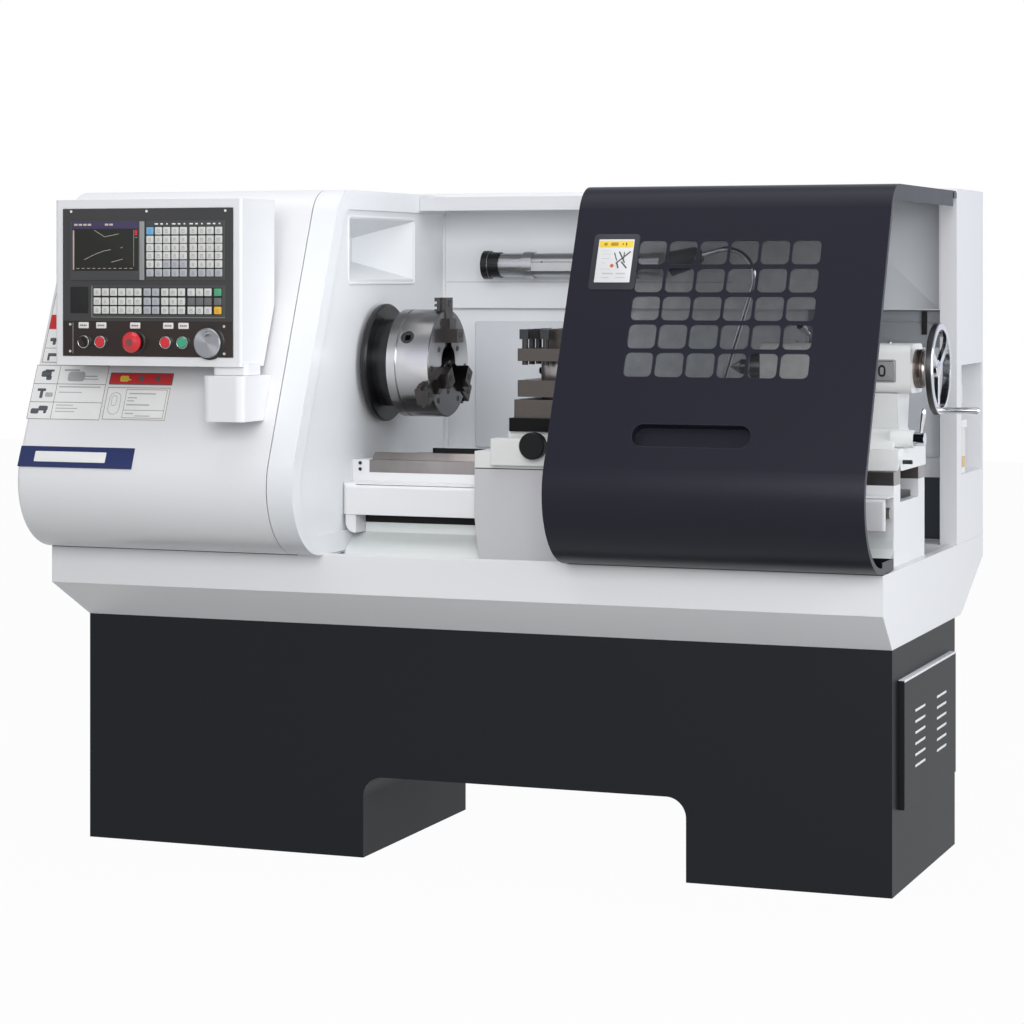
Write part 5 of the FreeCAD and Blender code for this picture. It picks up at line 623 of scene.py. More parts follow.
FINISHES = {
    "white enamel": use(painted, "white_enamel", unevenness=0.02, edge=0.002),
    "canopy enamel": use(painted, (0.60, 0.605, 0.62), unevenness=0.02, edge=0.002),
    # Painted shade: a darker copy of the white enamel for the apron, which lies under the saddle
    "apron enamel": use(painted, (0.50, 0.495, 0.515), unevenness=0.02, edge=0.002),
    "cool enamel": use(painted, "cool_enamel", gloss=0.35, edge=0.0012),
    # Painted shade: a darker copy of the wall's enamel for the lower wall panel
    "lower wall enamel": use(painted, (0.61, 0.63, 0.66), gloss=0.35, edge=0.002),
    "cap black": use(painted, (0.008, 0.008, 0.0085), gloss=0.14, peel=0.04, edge=0.002, matt=0.45),
    # Painted shade: the rear wall's return darkens towards the housing, and the rails turn near black where they run
    # behind the door
    "wall shade": use(shaded_sheet, "cool_enamel", (0.17, 0.175, 0.19), MODEL_X + 0.80, MODEL_X + 0.925),
    "rail enamel": use(shaded_sheet, "white_enamel", (0.012, 0.012, 0.013), MODEL_X + 0.250, MODEL_X + 0.262),
    "wall band": use(painted, (0.25, 0.26, 0.28), gloss=0.3, matt=0.4),
    # Painted highlight: the stand and door enamels take a lighter rub colour along their edges
    "stand enamel": use(painted, "stand_enamel", gloss=0.21, rub=(0.03, 0.032, 0.04), matt=0.5, smear=0.02,
                        sheen=(0.68, 0.72, 1.0)),
    "door enamel": use(painted, "door_enamel", gloss=0.18, peel=0.04, edge=0.0016, rub=(0.085, 0.09, 0.14), matt=0.34,
                       smear=0.03, sheen=(0.86, 0.86, 1.0)),
    "navy enamel": use(painted, "navy_enamel", gloss=0.25, peel=0.06),
    "painted casting": use(painted, "casting", unevenness=0.05, peel=0.22, edge=0.003, coat=0.1),
    "saddle casting": use(painted, (0.65, 0.66, 0.645), unevenness=0.05, peel=0.15, edge=0.003, coat=0.1),
    "raw casting": use(painted, (0.16, 0.17, 0.18), gloss=0.3, unevenness=0.3, peel=0.5, edge=0.002),
    "black oxide": use(painted, "black_oxide", peel=0.08, edge=0.0008, rub=(0.10, 0.10, 0.105)),
    "black gloss": use(painted, (0.006, 0.006, 0.007), gloss=0.4, peel=0.02, edge=0.002, coat=0.12),
    # Painted highlight: pale paint for strips in place of light caught on louvres and folds
    "bright fold": use(painted, (0.74, 0.74, 0.76), gloss=0.4, edge=0.0006),
    "label backing": use(painted, (0.028, 0.027, 0.036), gloss=0.3, peel=0.03),
    "slide sheet": use(drawn_steel, "slide_sheet", (3.0, 120.0, 120.0), (0.35, 0.5), 0.02, 0.05, metallic=0.1),
    "ground steel": use(drawn_steel, (0.30, 0.275, 0.265), (4.2, 2.0, 2.0), (0.26, 0.36), 0.0, 0.6),
    "tool steel": use(drawn_steel, "tool_steel", (60.0, 60.0, 900.0), (0.3, 0.46), 0.06, 0.16),
    "jaw steel": use(drawn_steel, (0.085, 0.079, 0.075), (40.0, 8.0, 40.0), (0.2, 0.28), 0.01, 0.08),
    "alloy": use(drawn_steel, "alloy", (5.0, 350.0, 350.0), (0.24, 0.36), 0.04, 0.08),
    "chrome": use(drawn_steel, "chrome", (40.0, 40.0, 40.0), (0.04, 0.09), 0.01, 0.04, edge=0.001),
    # The turned finishes carry a painted reflection band; sheen sets how dark they fall away from it
    "turned steel": use(turned_steel, "steel", sheen=0.71),
    "flange steel": use(turned_steel, (0.30, 0.25, 0.225), (0.24, 0.3), sheen=0.5),
    "satin chrome": use(turned_steel, (0.70, 0.71, 0.73), (0.16, 0.22), 0.01, 0.04, sheen=0.2),
    "wheel silver": use(turned_steel, (0.44, 0.44, 0.45), (0.3, 0.4), 0.02, 0.06, sheen=0.3, centre=WHEEL_CENTRE,
                        line=(0.0, 1.0, 0.0), up=(0.6, 0.0, 0.8)),
    "turret base steel": use(two_tone_steel, "tool_steel", (0.012, 0.012, 0.012), TURRET_SEAM),
    "wheel chrome": use(rim_chrome, "chrome", (0.085, 0.085, 0.09), HANDWHEEL_CENTRE, HANDWHEEL_RADIUS),
    "smoked pane": use(clear_sheet, (0.020, 0.021, 0.023), 0.44, 0.06),
    # Plastics and print: colour, roughness, texture, gloss, grain scale
    "fascia grey": use(moulded, (0.044, 0.043, 0.044), 0.42, 0.05, 0.3),
    "black plastic": use(moulded, "panel_black", 0.45, 0.04, 0.25),
    "panel grey": use(moulded, "panel_grey", 0.38, 0.12),
    "panel trim": use(moulded, (0.27, 0.27, 0.27), 0.4, 0.05),
    "key white": use(moulded, "key_white", 0.35),
    "key grey": use(moulded, "key_grey", 0.35),
    "key blue": use(moulded, (0.15, 0.38, 0.60)),
    "key dark": use(moulded, (0.13, 0.13, 0.13)),
    "key green": use(moulded, (0.07, 0.33, 0.17)),
    "key yellow": use(moulded, (0.72, 0.42, 0.035)),
    "print dark": use(moulded, (0.10, 0.10, 0.11), 0.6, 0.02, 0.2),
    "key print": use(moulded, (0.20, 0.20, 0.20), 0.6, 0.02, 0.2),
    "print pale": use(moulded, (0.42, 0.42, 0.43), 0.6, 0.02, 0.2),
    "rule brown": use(moulded, (0.20, 0.15, 0.13), 0.6, 0.02, 0.2),
    "strip brown": use(moulded, (0.36, 0.22, 0.03), 0.5, 0.02, 0.2),
    "screen glass": use(moulded, (0.020, 0.021, 0.017), 0.55, 0.0, 0.2),
    "screen header": use(moulded, (0.050, 0.040, 0.088), 0.5, 0.0, 0.2, glow=0.15),
    "screen edge": use(moulded, (0.42, 0.33, 0.31), 0.5, 0.0, 0.2, glow=0.1),
    "screen trace": use(moulded, (0.42, 0.36, 0.31), 0.5, 0.0, 0.2, glow=0.25),
    "stop centre": use(moulded, (0.16, 0.05, 0.05), 0.35, 0.02, coat=0.3),
    "red plastic": use(moulded, "signal_red", 0.28, 0.04, coat=0.4),
    "green plastic": use(moulded, "signal_green", 0.28, 0.04, coat=0.3),
    "tag white": use(moulded, (0.72, 0.68, 0.66), 0.45, 0.03),
    "card white": use(moulded, (0.79, 0.79, 0.78), 0.4, 0.02),
    "label white": use(moulded, (0.60, 0.60, 0.61), 0.45, 0.02),
    "sign red": use(moulded, (0.52, 0.022, 0.026), 0.4, 0.02),
    "sign blue": use(moulded, "signal_blue", 0.35, 0.02),
    "sign yellow": use(moulded, (0.72, 0.52, 0.05), 0.4, 0.02),
    "spot orange": use(moulded, (0.50, 0.10, 0.035), 0.45, 0.02),
    "seam shadow": use(moulded, (0.035, 0.035, 0.038), 0.7, 0.05, 0.1),
    "seam soft": use(moulded, (0.36, 0.37, 0.40), 0.7, 0.05, 0.1),
    "black rubber": use(moulded, (0.014, 0.014, 0.014), 0.7, 0.3, 0.25, 300.0),
    "pale plastic": use(moulded, (0.74, 0.74, 0.73), 0.32, 0.03),
    "oil tank": use(moulded, (0.72, 0.70, 0.66), 0.2, 0.02, 0.5, coat=0.3),
    "oil": use(moulded, (0.60, 0.45, 0.24), 0.2, 0.02, 0.5, coat=0.3),
    "lamp glass": use(moulded, (0.46, 0.465, 0.48), 0.2, 0.0, 0.5, coat=0.2),
}

NODE_FINISHES = {
    "stand enamel": ["stand", "end_louvre_cover"],
    "apron enamel": ["apron"],
    "fascia grey": ["panel_fascia"],
    "white enamel": ["chip_tray", "headstock_cover", "rear_housing", "screw_cover", "panel_arm", "panel_housing",
                     "cabinet_door", "bed"],
    "cool enamel": ["bulkhead", "rear_wall"],
    "slide sheet": ["chip_slide"],
    "painted casting": ["tailstock_body"],
    "saddle casting": ["saddle", "cross_slide"],
    "raw casting": ["headstock_casting", "main_motor", "spindle_pulley", "motor_pulley"],
    "ground steel": ["bed_ways", "feed_screw"],
    "turned steel": ["spindle", "chuck_body", "spindle_bearings", "tailstock_quill"],
    "flange steel": ["tailstock_flange"],
    "tool steel": ["tool_holder"],
    "turret base steel": ["turret_base"],
    "jaw steel": ["chuck_jaw_1", "chuck_jaw_2", "chuck_jaw_3"],
    "black gloss": ["chuck_backplate"],
    "cap black": ["feed_cap"],
    "black oxide": ["tool_clamp_bolts", "chuck_pinion_1", "chuck_pinion_2", "chuck_pinion_3", "lamp_head"],
    "rail enamel": ["door_rails"],
    "canopy enamel": ["canopy"],
    "chrome": ["gooseneck", "quill_lock_lever", "tailstock_clamp_lever"],
    "wheel chrome": ["tailstock_handwheel"],
    "satin chrome": ["handwheel_handle"],
    "alloy": ["tube_lamp"],
    "wheel silver": ["pulse_wheel"],
    "door enamel": ["door_shell"],
    "smoked pane": ["door_pane"],
    "black rubber": ["drive_belt"],
    "black plastic": ["mode_selector"],
    "red plastic": ["feed_hold_button", "stop_button", "power_off_button"],
    "green plastic": ["cycle_start_button"],
    "pale plastic": ["outlet_box", "lubricator"],
}


def finish(name):
    """A finish's material, made the first time that it is asked for."""
    if name not in built_finishes:
        maker, rgb, values, named = FINISHES[name]
        if isinstance(rgb, str):
            rgb = getattr(bpy.context.scene.lathe_colours, rgb)
        built_finishes[name] = maker(name, rgb, *values, **named)
    return built_finishes[name]


def add_piece(name, shapes, finish_name, body="machine_frame"):
    """A mesh object at the origin from one shape or a list, smooth up to 32 degrees, that rides on a body."""
    points, faces = joined(shapes) if isinstance(shapes, list) else shapes
    mesh = bpy.data.meshes.new(name)
    mesh.from_pydata(points.tolist(), [], [corners for array in faces for corners in array.tolist()])
    mesh.shade_smooth()
    mesh.set_sharp_from_angle(angle=math.radians(32.0))
    mesh.materials.append(finish(finish_name))
    made = bpy.data.objects.new(name, mesh)
    bpy.context.scene.collection.objects.link(made)
    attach(made, body)
    return made


class LatheStep:
    """What the operators share: a plain step that either finishes or raises."""
    bl_options = {"REGISTER"}

    def execute(self, context):
        self.build(context.scene)
        return {"FINISHED"}


# ---------------------------------------------------------------- stage
WHITE = (1.0, 1.0, 1.0, 1.0)
INSIDE_TONE = (0.97, 0.985, 1.0)
LAMPS = (  # name, place, aim, width, height, setting of its power, share of that power, colour
    ("overhead_softbox", (0.2, -0.6, 4.0), (0.0, -0.1, 0.8), 3.6, 2.6, "overhead_power", 1.0, (1.0, 1.0, 1.0)),
    ("front_softbox", (1.1, -5.2, 2.7), (0.0, 0.0, 0.95), 3.0, 2.2, "front_power", 1.0, (1.0, 0.995, 0.985)),
    ("side_softbox", (4.6, -1.3, 1.9), (0.3, 0.0, 1.0), 2.6, 2.6, "side_power", 1.0, (0.93, 0.965, 1.0)),
    ("opening_strip", (0.16, -0.32, 1.30), (-0.36, -0.05, 1.0), 0.45, 0.3, "inside_power", 1.0, INSIDE_TONE),
    ("tail_strip", (0.80, -0.36, 1.16), (0.74, 0.0, 1.05), 0.5, 0.5, "inside_power", 0.5, INSIDE_TONE),
)
INSIDE_ORIGIN = np.array([MODEL_X, MODEL_Y, 0.0])    # of the places of lamps inside the guard
FLOOR_REACH = 14.0
FLOOR_GAP = 0.5 * MM
FLOOR_TONES = ((0.34, 0.34, 0.34, 1.0), (0.38, 0.38, 0.38, 1.0))
FLOOR_LIFT = 0.97    # share of white that the camera sees in the floor
SENSOR_WIDTH = 36.0


def room_shader(tree, strength_socket):
    """One where the camera, a mirror or clear sheet looks, nought elsewhere."""
    path = node(tree, "ShaderNodeLightPath").outputs
    first = calc(tree, "MAXIMUM", path["Is Camera Ray"], path["Is Glossy Ray"])
    tree.links.new(calc(tree, "MAXIMUM", first, path["Is Transmission Ray"]), strength_socket)


def build_room(studio):
    """Soft cool light all round, shown white to the camera and in reflections, a little darker overhead."""
    world = bpy.data.worlds.new("studio room")
    world.use_nodes = True
    bpy.context.scene.world = world
    tree = world.node_tree
    tree.nodes.clear()
    look = node(tree, "ShaderNodeTexCoord").outputs["Generated"]
    height = node(tree, "ShaderNodeSeparateXYZ", {0: look}).outputs[2]
    glossy = node(tree, "ShaderNodeLightPath").outputs["Is Glossy Ray"]
    seen = node(tree, "ShaderNodeBackground", {"Color": tint(tree, WHITE, (0.86, 0.89, 1.0, 1.0), glossy),
                                               "Strength": remap(tree, height, 1.0, 0.42, 0.25, 0.9)})
    light = node(tree, "ShaderNodeBackground", {"Color": (0.93, 0.96, 1.0, 1.0), "Strength": studio.sky_level})
    mix = node(tree, "ShaderNodeMixShader", {1: light.outputs[0], 2: seen.outputs[0]})
    room_shader(tree, mix.inputs[0])
    node(tree, "ShaderNodeOutputWorld", {"Surface": mix.outputs[0]})


def build_floor():
    """A pale floor that keeps the object's shadow and runs into the white room."""
    material = bpy.data.materials.new("studio floor")
    material.use_nodes = True
    tree = material.node_tree
    tree.nodes.clear()
    cloud = noise(tree, object_place(tree), 1.5)
    tone = tint(tree, *FLOOR_TONES, cloud)
    matt = node(tree, "ShaderNodeBsdfDiffuse", {"Color": tone})
    white = node(tree, "ShaderNodeEmission", {"Color": WHITE, "Strength": 1.0})
    lifted = node(tree, "ShaderNodeMixShader", {0: FLOOR_LIFT, 1: matt.outputs[0], 2: white.outputs[0]})
    mix = node(tree, "ShaderNodeMixShader", {1: matt.outputs[0], 2: lifted.outputs[0]})
    room_shader(tree, mix.inputs[0])
    node(tree, "ShaderNodeOutputMaterial", {"Surface": mix.outputs[0]})
    mesh = bpy.data.meshes.new("studio_floor")
    corners = np.array([[-1, -1, 0], [1, -1, 0], [1, 1, 0], [-1, 1, 0]]) * FLOOR_REACH
    mesh.from_pydata((corners + [0, 0, CAD_BOX[0][2] - FLOOR_GAP]).tolist(), [], [(0, 1, 2, 3)])
    mesh.materials.append(material)
    floor = bpy.data.objects.new("studio_floor", mesh)
    bpy.context.scene.collection.objects.link(floor)


def add_softbox(name, place, aim, width, height, power, tone):
    """A rectangular lamp that faces a point."""
    lamp = bpy.data.lights.new(name, "AREA")
    lamp.shape = "RECTANGLE"
    lamp.size, lamp.size_y = width, height
    lamp.energy = power
    lamp.color = tone
    made = bpy.data.objects.new(name, lamp)
    made.location = place
    facing = np.asarray(aim, float) - np.asarray(place, float)
    flat = math.hypot(facing[0], facing[1])
    made.rotation_euler = (math.atan2(flat, -facing[2]), 0.0, math.atan2(facing[1], facing[0]) - math.pi / 2)
    bpy.context.scene.collection.objects.link(made)
    return made


class LATHE_OT_stage(LatheStep, bpy.types.Operator):
    """Floor, room light, lamps and the camera at the viewing angle"""
    bl_idname = "lathe.stage"
    bl_label = "Stage"

    def build(self, scene):
        studio = scene.lathe_studio
        scene.view_settings.view_transform = "Standard"
        build_room(studio)
        build_floor()
        for name, place, aim, width, height, setting, share, tone in LAMPS:
            inside = setting == "inside_power"
            shift = INSIDE_ORIGIN * inside
            power = getattr(studio, setting) * share
            lamp = add_softbox(name, shift + place, shift + aim, width, height, power, tone)
            if inside:
                lamp.visible_camera = lamp.visible_glossy = False
        lens = bpy.data.cameras.new("studio_camera")
        lens.lens = studio.focal_length
        lens.sensor_width = SENSOR_WIDTH
        lens.shift_y = studio.camera_shift
        camera = bpy.data.objects.new("studio_camera", lens)
        camera.location = (STAND[0][0] + studio.camera_side, STAND[0][1] - studio.camera_distance,
                           studio.camera_height)
        camera.rotation_euler = (math.pi / 2, 0.0, studio.camera_turn)
        scene.collection.objects.link(camera)
        scene.camera = camera


class LATHE_OT_node_finishes(LatheStep, bpy.types.Operator):
    """A procedural finish on every solid of the machine"""
    bl_idname = "lathe.node_finishes"
    bl_label = "Finishes of the solids"

    def build(self, scene):
        finish_of = {name: key for key, names in NODE_FINISHES.items() for name in names}
        for name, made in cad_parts.items():
            if name not in finish_of:
                raise RuntimeError("no finish for " + name)
            for slot in made.material_slots:
                slot.material = finish(finish_of[name])
            if not made.material_slots:
                made.data.materials.append(finish(finish_of[name]))


# ---------------------------------------------------------------- control panel
PANEL = "control_panel"
# Left edges and tops of the keys, in millimetres from the control plate's upper left corner
KEY_COLUMNS_UP = (212.0, 233.3, 253.5, 274.4, 294.7, 319.3, 340.3, 360.5, 381.5)
KEY_ROWS_UP = (41.9, 61.1, 79.2, 97.2, 115.9, 135.1)
KEY_COLUMNS_LOW = (79.4, 100.0, 120.6, 141.2, 161.5, 181.8, 205.1, 226.0, 249.0, 269.6, 290.2, 314.2, 334.8, 355.4,
                   379.4)
KEY_ROWS_LOW = (178.2, 198.7, 218.2)
KEY_MIDDLE = (8.95, 8.3)       # of a cap, from its left edge and top
BED_RISE = 0.3 * MM            # of the dark sheet under the keys
GLASS_RISE = 0.3 * MM          # of the screen over its module
PLATE_RISE = 0.6 * MM          # of the lower plate
TAG_RISE = 0.7 * MM            # of a tag over the lower plate
FINE_INK = 0.08 * MM           # how far the smallest print stands out
TAG_PLACES = (53.3, 97.9, 183.2, 265.7, 303.5)
SCREW_PLACES = ((21.5, 6.0), (211.5, 6.5), (406.0, 6.6), (19.0, 259.0), (19.0, 319.5), (403.0, 262.0), (403.5, 322.0))
# Strokes on the screen: left, top, right, bottom
TRACES = ((81.0, 48.0, 107.0, 63.0), (107.0, 63.0, 143.0, 56.5), (56.0, 114.0, 82.0, 102.5),
          (82.0, 102.5, 105.0, 94.5), (105.0, 94.5, 123.0, 91.7), (147.0, 88.5, 153.0, 86.0),
          (124.0, 119.6, 153.0, 113.0))
COLLAR = ((0.3, 1.8), (2.4, 1.8), (2.2, 8.5), (1.2, 9.6), (0.3, 9.2))    # past the button's radius, off the plate
STOP_FACE = ((8.6, -0.4), (8.6, 0.25), (7.4, 0.35))
BEZEL_FLANGE = 1.5 * MM
CONTROLS = (  # node, whether it has a bright collar, whether it is pressed through its bezel
    ("mode_selector", True, False), ("feed_hold_button", True, True), ("stop_button", False, False),
    ("power_off_button", True, True), ("cycle_start_button", True, True), ("pulse_wheel", False, False))


def on_fascia(right, down, lift=0.0):
    """A point of the control plate, in millimetres from its upper left corner."""
    return np.array([FASCIA[0][0] + right * MM, FASCIA[0][1] - lift, FASCIA[1][2] - down * MM])


def fascia_slabs(rows, rise, radius, lift=0.0):
    """Plates on the control plate, from rows of (left, top, right, bottom) and a corner radius in millimetres."""
    bevel = min(0.6 * MM, rise * 0.6)
    return [placed(slab((right - left) * MM, (bottom - top) * MM, rise, radius * MM, bevel),
                   on_fascia((left + right) / 2, (top + bottom) / 2, lift), *FRONT)
            for left, top, right, bottom in rows]


def key_places():
    """Every key's left edge and top in millimetres, grouped by the colour of its cap."""
    groups = {"key white": [], "key grey": [], "key blue": [], "key dark": [], "key green": [], "key yellow": []}
    for column, left in enumerate(KEY_COLUMNS_UP):
        for row, top in enumerate(KEY_ROWS_UP):
            if column == 0 and row == 0:
                name = "key blue"
            elif row == 5 or (row == 4 and column in (2, 3, 4)):
                name = "key grey"
            else:
                name = "key white"
            groups[name].append((left, top))
    for column, left in enumerate(KEY_COLUMNS_LOW):
        for row, top in enumerate(KEY_ROWS_LOW):
            if column == 14:
                name = ("key green", "key dark", "key yellow")[row]
            elif column in (11, 12, 13) and row == 1:
                name = "key dark"
            elif column in (6, 7):
                name = "key grey"
            else:
                name = "key white"
            groups[name].append((left, top))
    return groups


class LATHE_OT_key_modules(LatheStep, bpy.types.Operator):
    """Screen module, key modules and lower plate on the control panel"""
    bl_idname = "lathe.key_modules"
    bl_label = "Panel modules"

    def build(self, scene):
        rise = scene.lathe_panel.module_rise
        low = rise * 0.5
        modules = fascia_slabs([(20.0, 27.0, 208.0, 160.0)], rise, 2.0)
        modules += fascia_slabs([(209.6, 27.0, 405.0, 160.0), (73.0, 171.0, 406.4, 243.0)], low, 2.0)
        add_piece("panel_modules", modules, "panel grey", PANEL)
        beds = fascia_slabs([(211.0, 40.6, 312.8, 152.2), (318.2, 40.6, 400.6, 152.2), (78.4, 176.6, 398.6, 236.2)],
                            BED_RISE, 0.6, low)
        beds += fascia_slabs([(19.6, 175.0, 64.5, 233.7)], low, 1.5)
        add_piece("key_beds", beds, "black rubber", PANEL)
        add_piece("lower_plate", fascia_slabs([(1.0, 251.0, 423.0, 329.0)], PLATE_RISE, 1.5), "black plastic", PANEL)
        bars = fascia_slabs([(195.0, 29.0, 206.6, 159.4)], 0.5 * MM, 0.6, rise)
        # Painted highlight: a pale bar along the lower key module's left edge
        bars += fascia_slabs([(73.6, 172.0, 75.2, 242.0)], 0.4 * MM, 0.4, low)
        bars += fascia_slabs([(25.4, 255.0, 26.8, 325.0)], 0.3 * MM, 0.3, PLATE_RISE)
        bars += fascia_slabs([(73.6, 242.0, 406.0, 243.2)], 0.2 * MM, 0.3, low)
        add_piece("module_bars", bars, "panel trim", PANEL)


class LATHE_OT_screen(LatheStep, bpy.types.Operator):
    """The screen in its module, with plain generic traces"""
    bl_idname = "lathe.screen"
    bl_label = "Screen"

    def build(self, scene):
        rise = scene.lathe_panel.module_rise
        lift = rise + GLASS_RISE
        glass = fascia_slabs([(25.0, 29.5, 192.0, 139.0)], GLASS_RISE, 0.8, rise)
        add_piece("screen_glass", glass, "screen glass", PANEL)
        add_piece("screen_header", fascia_slabs([(25.6, 30.0, 191.4, 45.0)], INK, 0.4, lift), "screen header", PANEL)
        add_piece("screen_edge", fascia_slabs([(26.6, 48.0, 30.4, 137.0)], INK, 0.4, lift), "screen edge", PANEL)
        foot = [36.0 + 13.4 * number for number in range(11)]
        head = [30.0 + 11.5 * number + 32.0 * (number > 3) for number in range(6)]
        bars = fascia_slabs([(left, 133.0, left + 7.5, 134.0) for left in foot], INK, 0.2, lift)
        bars += fascia_slabs([(left, 33.6, left + 8.8, 38.0) for left in head], INK, 0.3, lift + INK)
        bars += fascia_slabs([(180.2, 48.0, 180.9, 129.0), (184.0, 64.0, 189.0, 65.0)], INK, 0.2, lift)
        for left, top, right, bottom in TRACES:
            run = math.hypot(right - left, bottom - top)
            bar = slab(run * MM, 0.9 * MM, INK, 0.3 * MM, 0.05 * MM, steps=2)
            along = np.array([right - left, 0.0, top - bottom]) / run
            middle = on_fascia((left + right) / 2, (top + bottom) / 2, lift)
            bars.append(placed(bar, middle, along, np.cross(-Y_DIR, along)))
        add_piece("screen_traces", bars, "screen trace", PANEL)
        mark = fascia_slabs([(183.0, 48.0, 189.5, 60.0)], 0.2 * MM, 1.0, lift)
        add_piece("screen_mark", mark, "red plastic", PANEL)


class LATHE_OT_keys(LatheStep, bpy.types.Operator):
    """Key caps in their colours, all but the dark ones with a small plain mark, and legend bars over the upper module
    """
    bl_idname = "lathe.keys"
    bl_label = "Keys"

    def build(self, scene):
        sizes = scene.lathe_panel
        low = sizes.module_rise * 0.5
        base = low + BED_RISE
        lift = base + sizes.key_rise
        cap = placed(slab(sizes.key_width, sizes.key_height, sizes.key_rise, 1.6 * MM, 0.7 * MM), np.zeros(3), *FRONT)
        marks = []
        for name, corners in key_places().items():
            places = [on_fascia(left + KEY_MIDDLE[0], top + KEY_MIDDLE[1], base) for left, top in corners]
            add_piece(name.replace(" ", "_") + "_caps", repeated(cap, places), name, PANEL)
            for number, (left, top) in enumerate(corners if name != "key dark" else []):
                middle, half = left + KEY_MIDDLE[0], (4.0 + (number * 7 % 5)) / 2
                marks += fascia_slabs([(middle - half, top + 5.6, middle + half, top + 6.6)], FINE_INK, 0.3, lift)
                ring = frame_ring(half * 2 * MM, 4.6 * MM, 0.7 * MM, 0.06 * MM, 1.2 * MM, 2)
                marks.append(placed(ring, on_fascia(middle, top + 10.4, lift), *FRONT))
        legend = [(232.0 + 14.4 * number, 33.4, 232.0 + 14.4 * number + 8.6 - 2.4 * (number % 3), 36.4)
                  for number in range(12)]
        add_piece("module_legend", fascia_slabs(legend, FINE_INK, 0.3, low), "card white", PANEL)
        add_piece("key_marks", marks, "key print", PANEL)


class LATHE_OT_controls(LatheStep, bpy.types.Operator):
    """Tags, bezels, collars and screws around the controls, and the stop button's face"""
    bl_idname = "lathe.controls"
    bl_label = "Control surrounds"

    def build(self, scene):
        tags = [(x - 12.8, 254.2, x + 12.8, 267.8) for x in TAG_PLACES]
        add_piece("control_tags", fascia_slabs(tags, TAG_RISE, 1.8, PLATE_RISE), "tag white", PANEL)
        marks = [(x - 8.4 + number * 4.4, 259.4, x - 8.4 + number * 4.4 + 3.2, 262.8)
                 for x in TAG_PLACES for number in range(4)]
        add_piece("tag_marks", fascia_slabs(marks, FINE_INK, 0.5, PLATE_RISE + TAG_RISE), "print dark", PANEL)
        bezels, collars = [], []
        for name, collared, pressed in CONTROLS:
            low, high = box_of(name)
            radius = (high[0] - low[0]) / 2
            # The wheel's finger knob is off centre, so the wheel's own foot and radius give its height
            height = low[2] + radius if name == "pulse_wheel" else (low[2] + high[2]) / 2
            centre = np.array([(low[0] + high[0]) / 2, FASCIA[0][1], height])
            outer = radius + scene.lathe_panel.bezel_width
            inner = radius + 0.2 * MM if pressed else radius * 0.7
            ring = [(inner, 0.2 * MM), (outer + BEZEL_FLANGE, 0.2 * MM), (outer + BEZEL_FLANGE, 1.2 * MM),
                    (outer, 2.0 * MM), (inner, 2.0 * MM)]
            bezels.append(placed(turned(ring, 48, closed_loop=True), centre, *FRONT))
            if collared:
                collar = mm(COLLAR) + [radius, 0.0]
                collars.append(placed(turned(collar, 48, closed_loop=True), centre, *FRONT))
        add_piece("control_bezels", bezels, "black gloss", PANEL)
        add_piece("button_collars", collars, "alloy", PANEL)
        head = placed(socket_screw(5.6 * MM, 1.6 * MM), np.zeros(3), *FRONT)
        add_piece("fascia_screws", repeated(head, [on_fascia(x, y) for x, y in SCREW_PLACES]), "pale plastic", PANEL)
        low, high = box_of("stop_button")
        face = ((low[0] + high[0]) / 2, low[1], (low[2] + high[2]) / 2)
        disc = placed(turned(mm(STOP_FACE), 32), face, *FRONT)
        add_piece("stop_face", disc, "stop centre", "stop")


# ---------------------------------------------------------------- signs on the guards
# All rows are left, right, low and high in millimetres from the machine's middle and the floor
RIGHT_CARD, LEFT_CARD, TALL_CARD = (-819, -660, 992, 1064), (-1014, -826, 990, 1112), (-1004, -912, 1118, 1330)
COVER_CARDS = (  # place, finish, name, lift in thicknesses of a card
    ((-1012, -720, 884, 930), "sign blue", "cover_stripe", 0.0),
    ((-972, -790, 896, 919), "card white", "stripe_bar", 1.0),
    ((-819, -658, 1070, 1097), "print dark", "strip_border", 0.0),
    ((-817, -660, 1072, 1095), "sign red", "cover_strip_right", 0.4),
    (RIGHT_CARD, "card white", "cover_card_right", 0.0),
    (LEFT_CARD, "card white", "cover_card_left", 0.0),
    (TALL_CARD, "card white", "cover_card_tall", 0.0),
    ((-1003, -962, 1194, 1227), "sign red", "cover_strip_left", 1.0))
CARD_RULES = (
    (-1014, -826, 1069, 1070.2), (-1014, -826, 1028, 1029.2), (-952.6, -951.4, 992, 1110), (-770, -769, 996, 1060),
    (-667, -666, 996, 1060), (-770, -666, 1059, 1060), (-770, -666, 1013, 1014), (-770, -666, 996, 997),
    (-1004, -912, 1150, 1151.2))
CARD_ICONS = (
    (-998, -972, 1085, 1099), (-984, -970, 1078, 1088), (-990, -966, 1097, 1102), (-1000, -978, 1053, 1059),
    (-992, -984, 1037, 1055), (-1007, -986, 1002, 1014), (-988, -964, 1009, 1020), (-974, -966, 1003, 1010),
    (-994, -962, 1166, 1174), (-986, -978, 1158, 1168), (-972, -964, 1172, 1182), (-992, -966, 1132, 1139),
    (-992, -986, 1122, 1134), (-970, -965, 1250, 1318), (-984, -965, 1312, 1322))
CARD_LINES = (
    (-978, -958, 1040, 1050), (-940, -900, 1099, 1103), (-928, -884, 1076, 1098), (-894, -852, 1086, 1089),
    (-894, -848, 1080, 1082.4), (-946, -838, 1062, 1064.6), (-944, -884, 1050, 1052), (-944, -900, 1021, 1023),
    (-944, -888, 1014, 1016), (-944, -894, 1007, 1009), (-762, -694, 1049, 1052), (-764, -740, 1040, 1042.4),
    (-764, -746, 1033, 1035.4), (-764, -706, 1024, 1027), (-764, -742, 1005, 1007.4), (-738, -700, 1000, 1002))
STRIP_MARKS = ((-792, -770, 1077, 1090), (-788, -764, 1080, 1083))
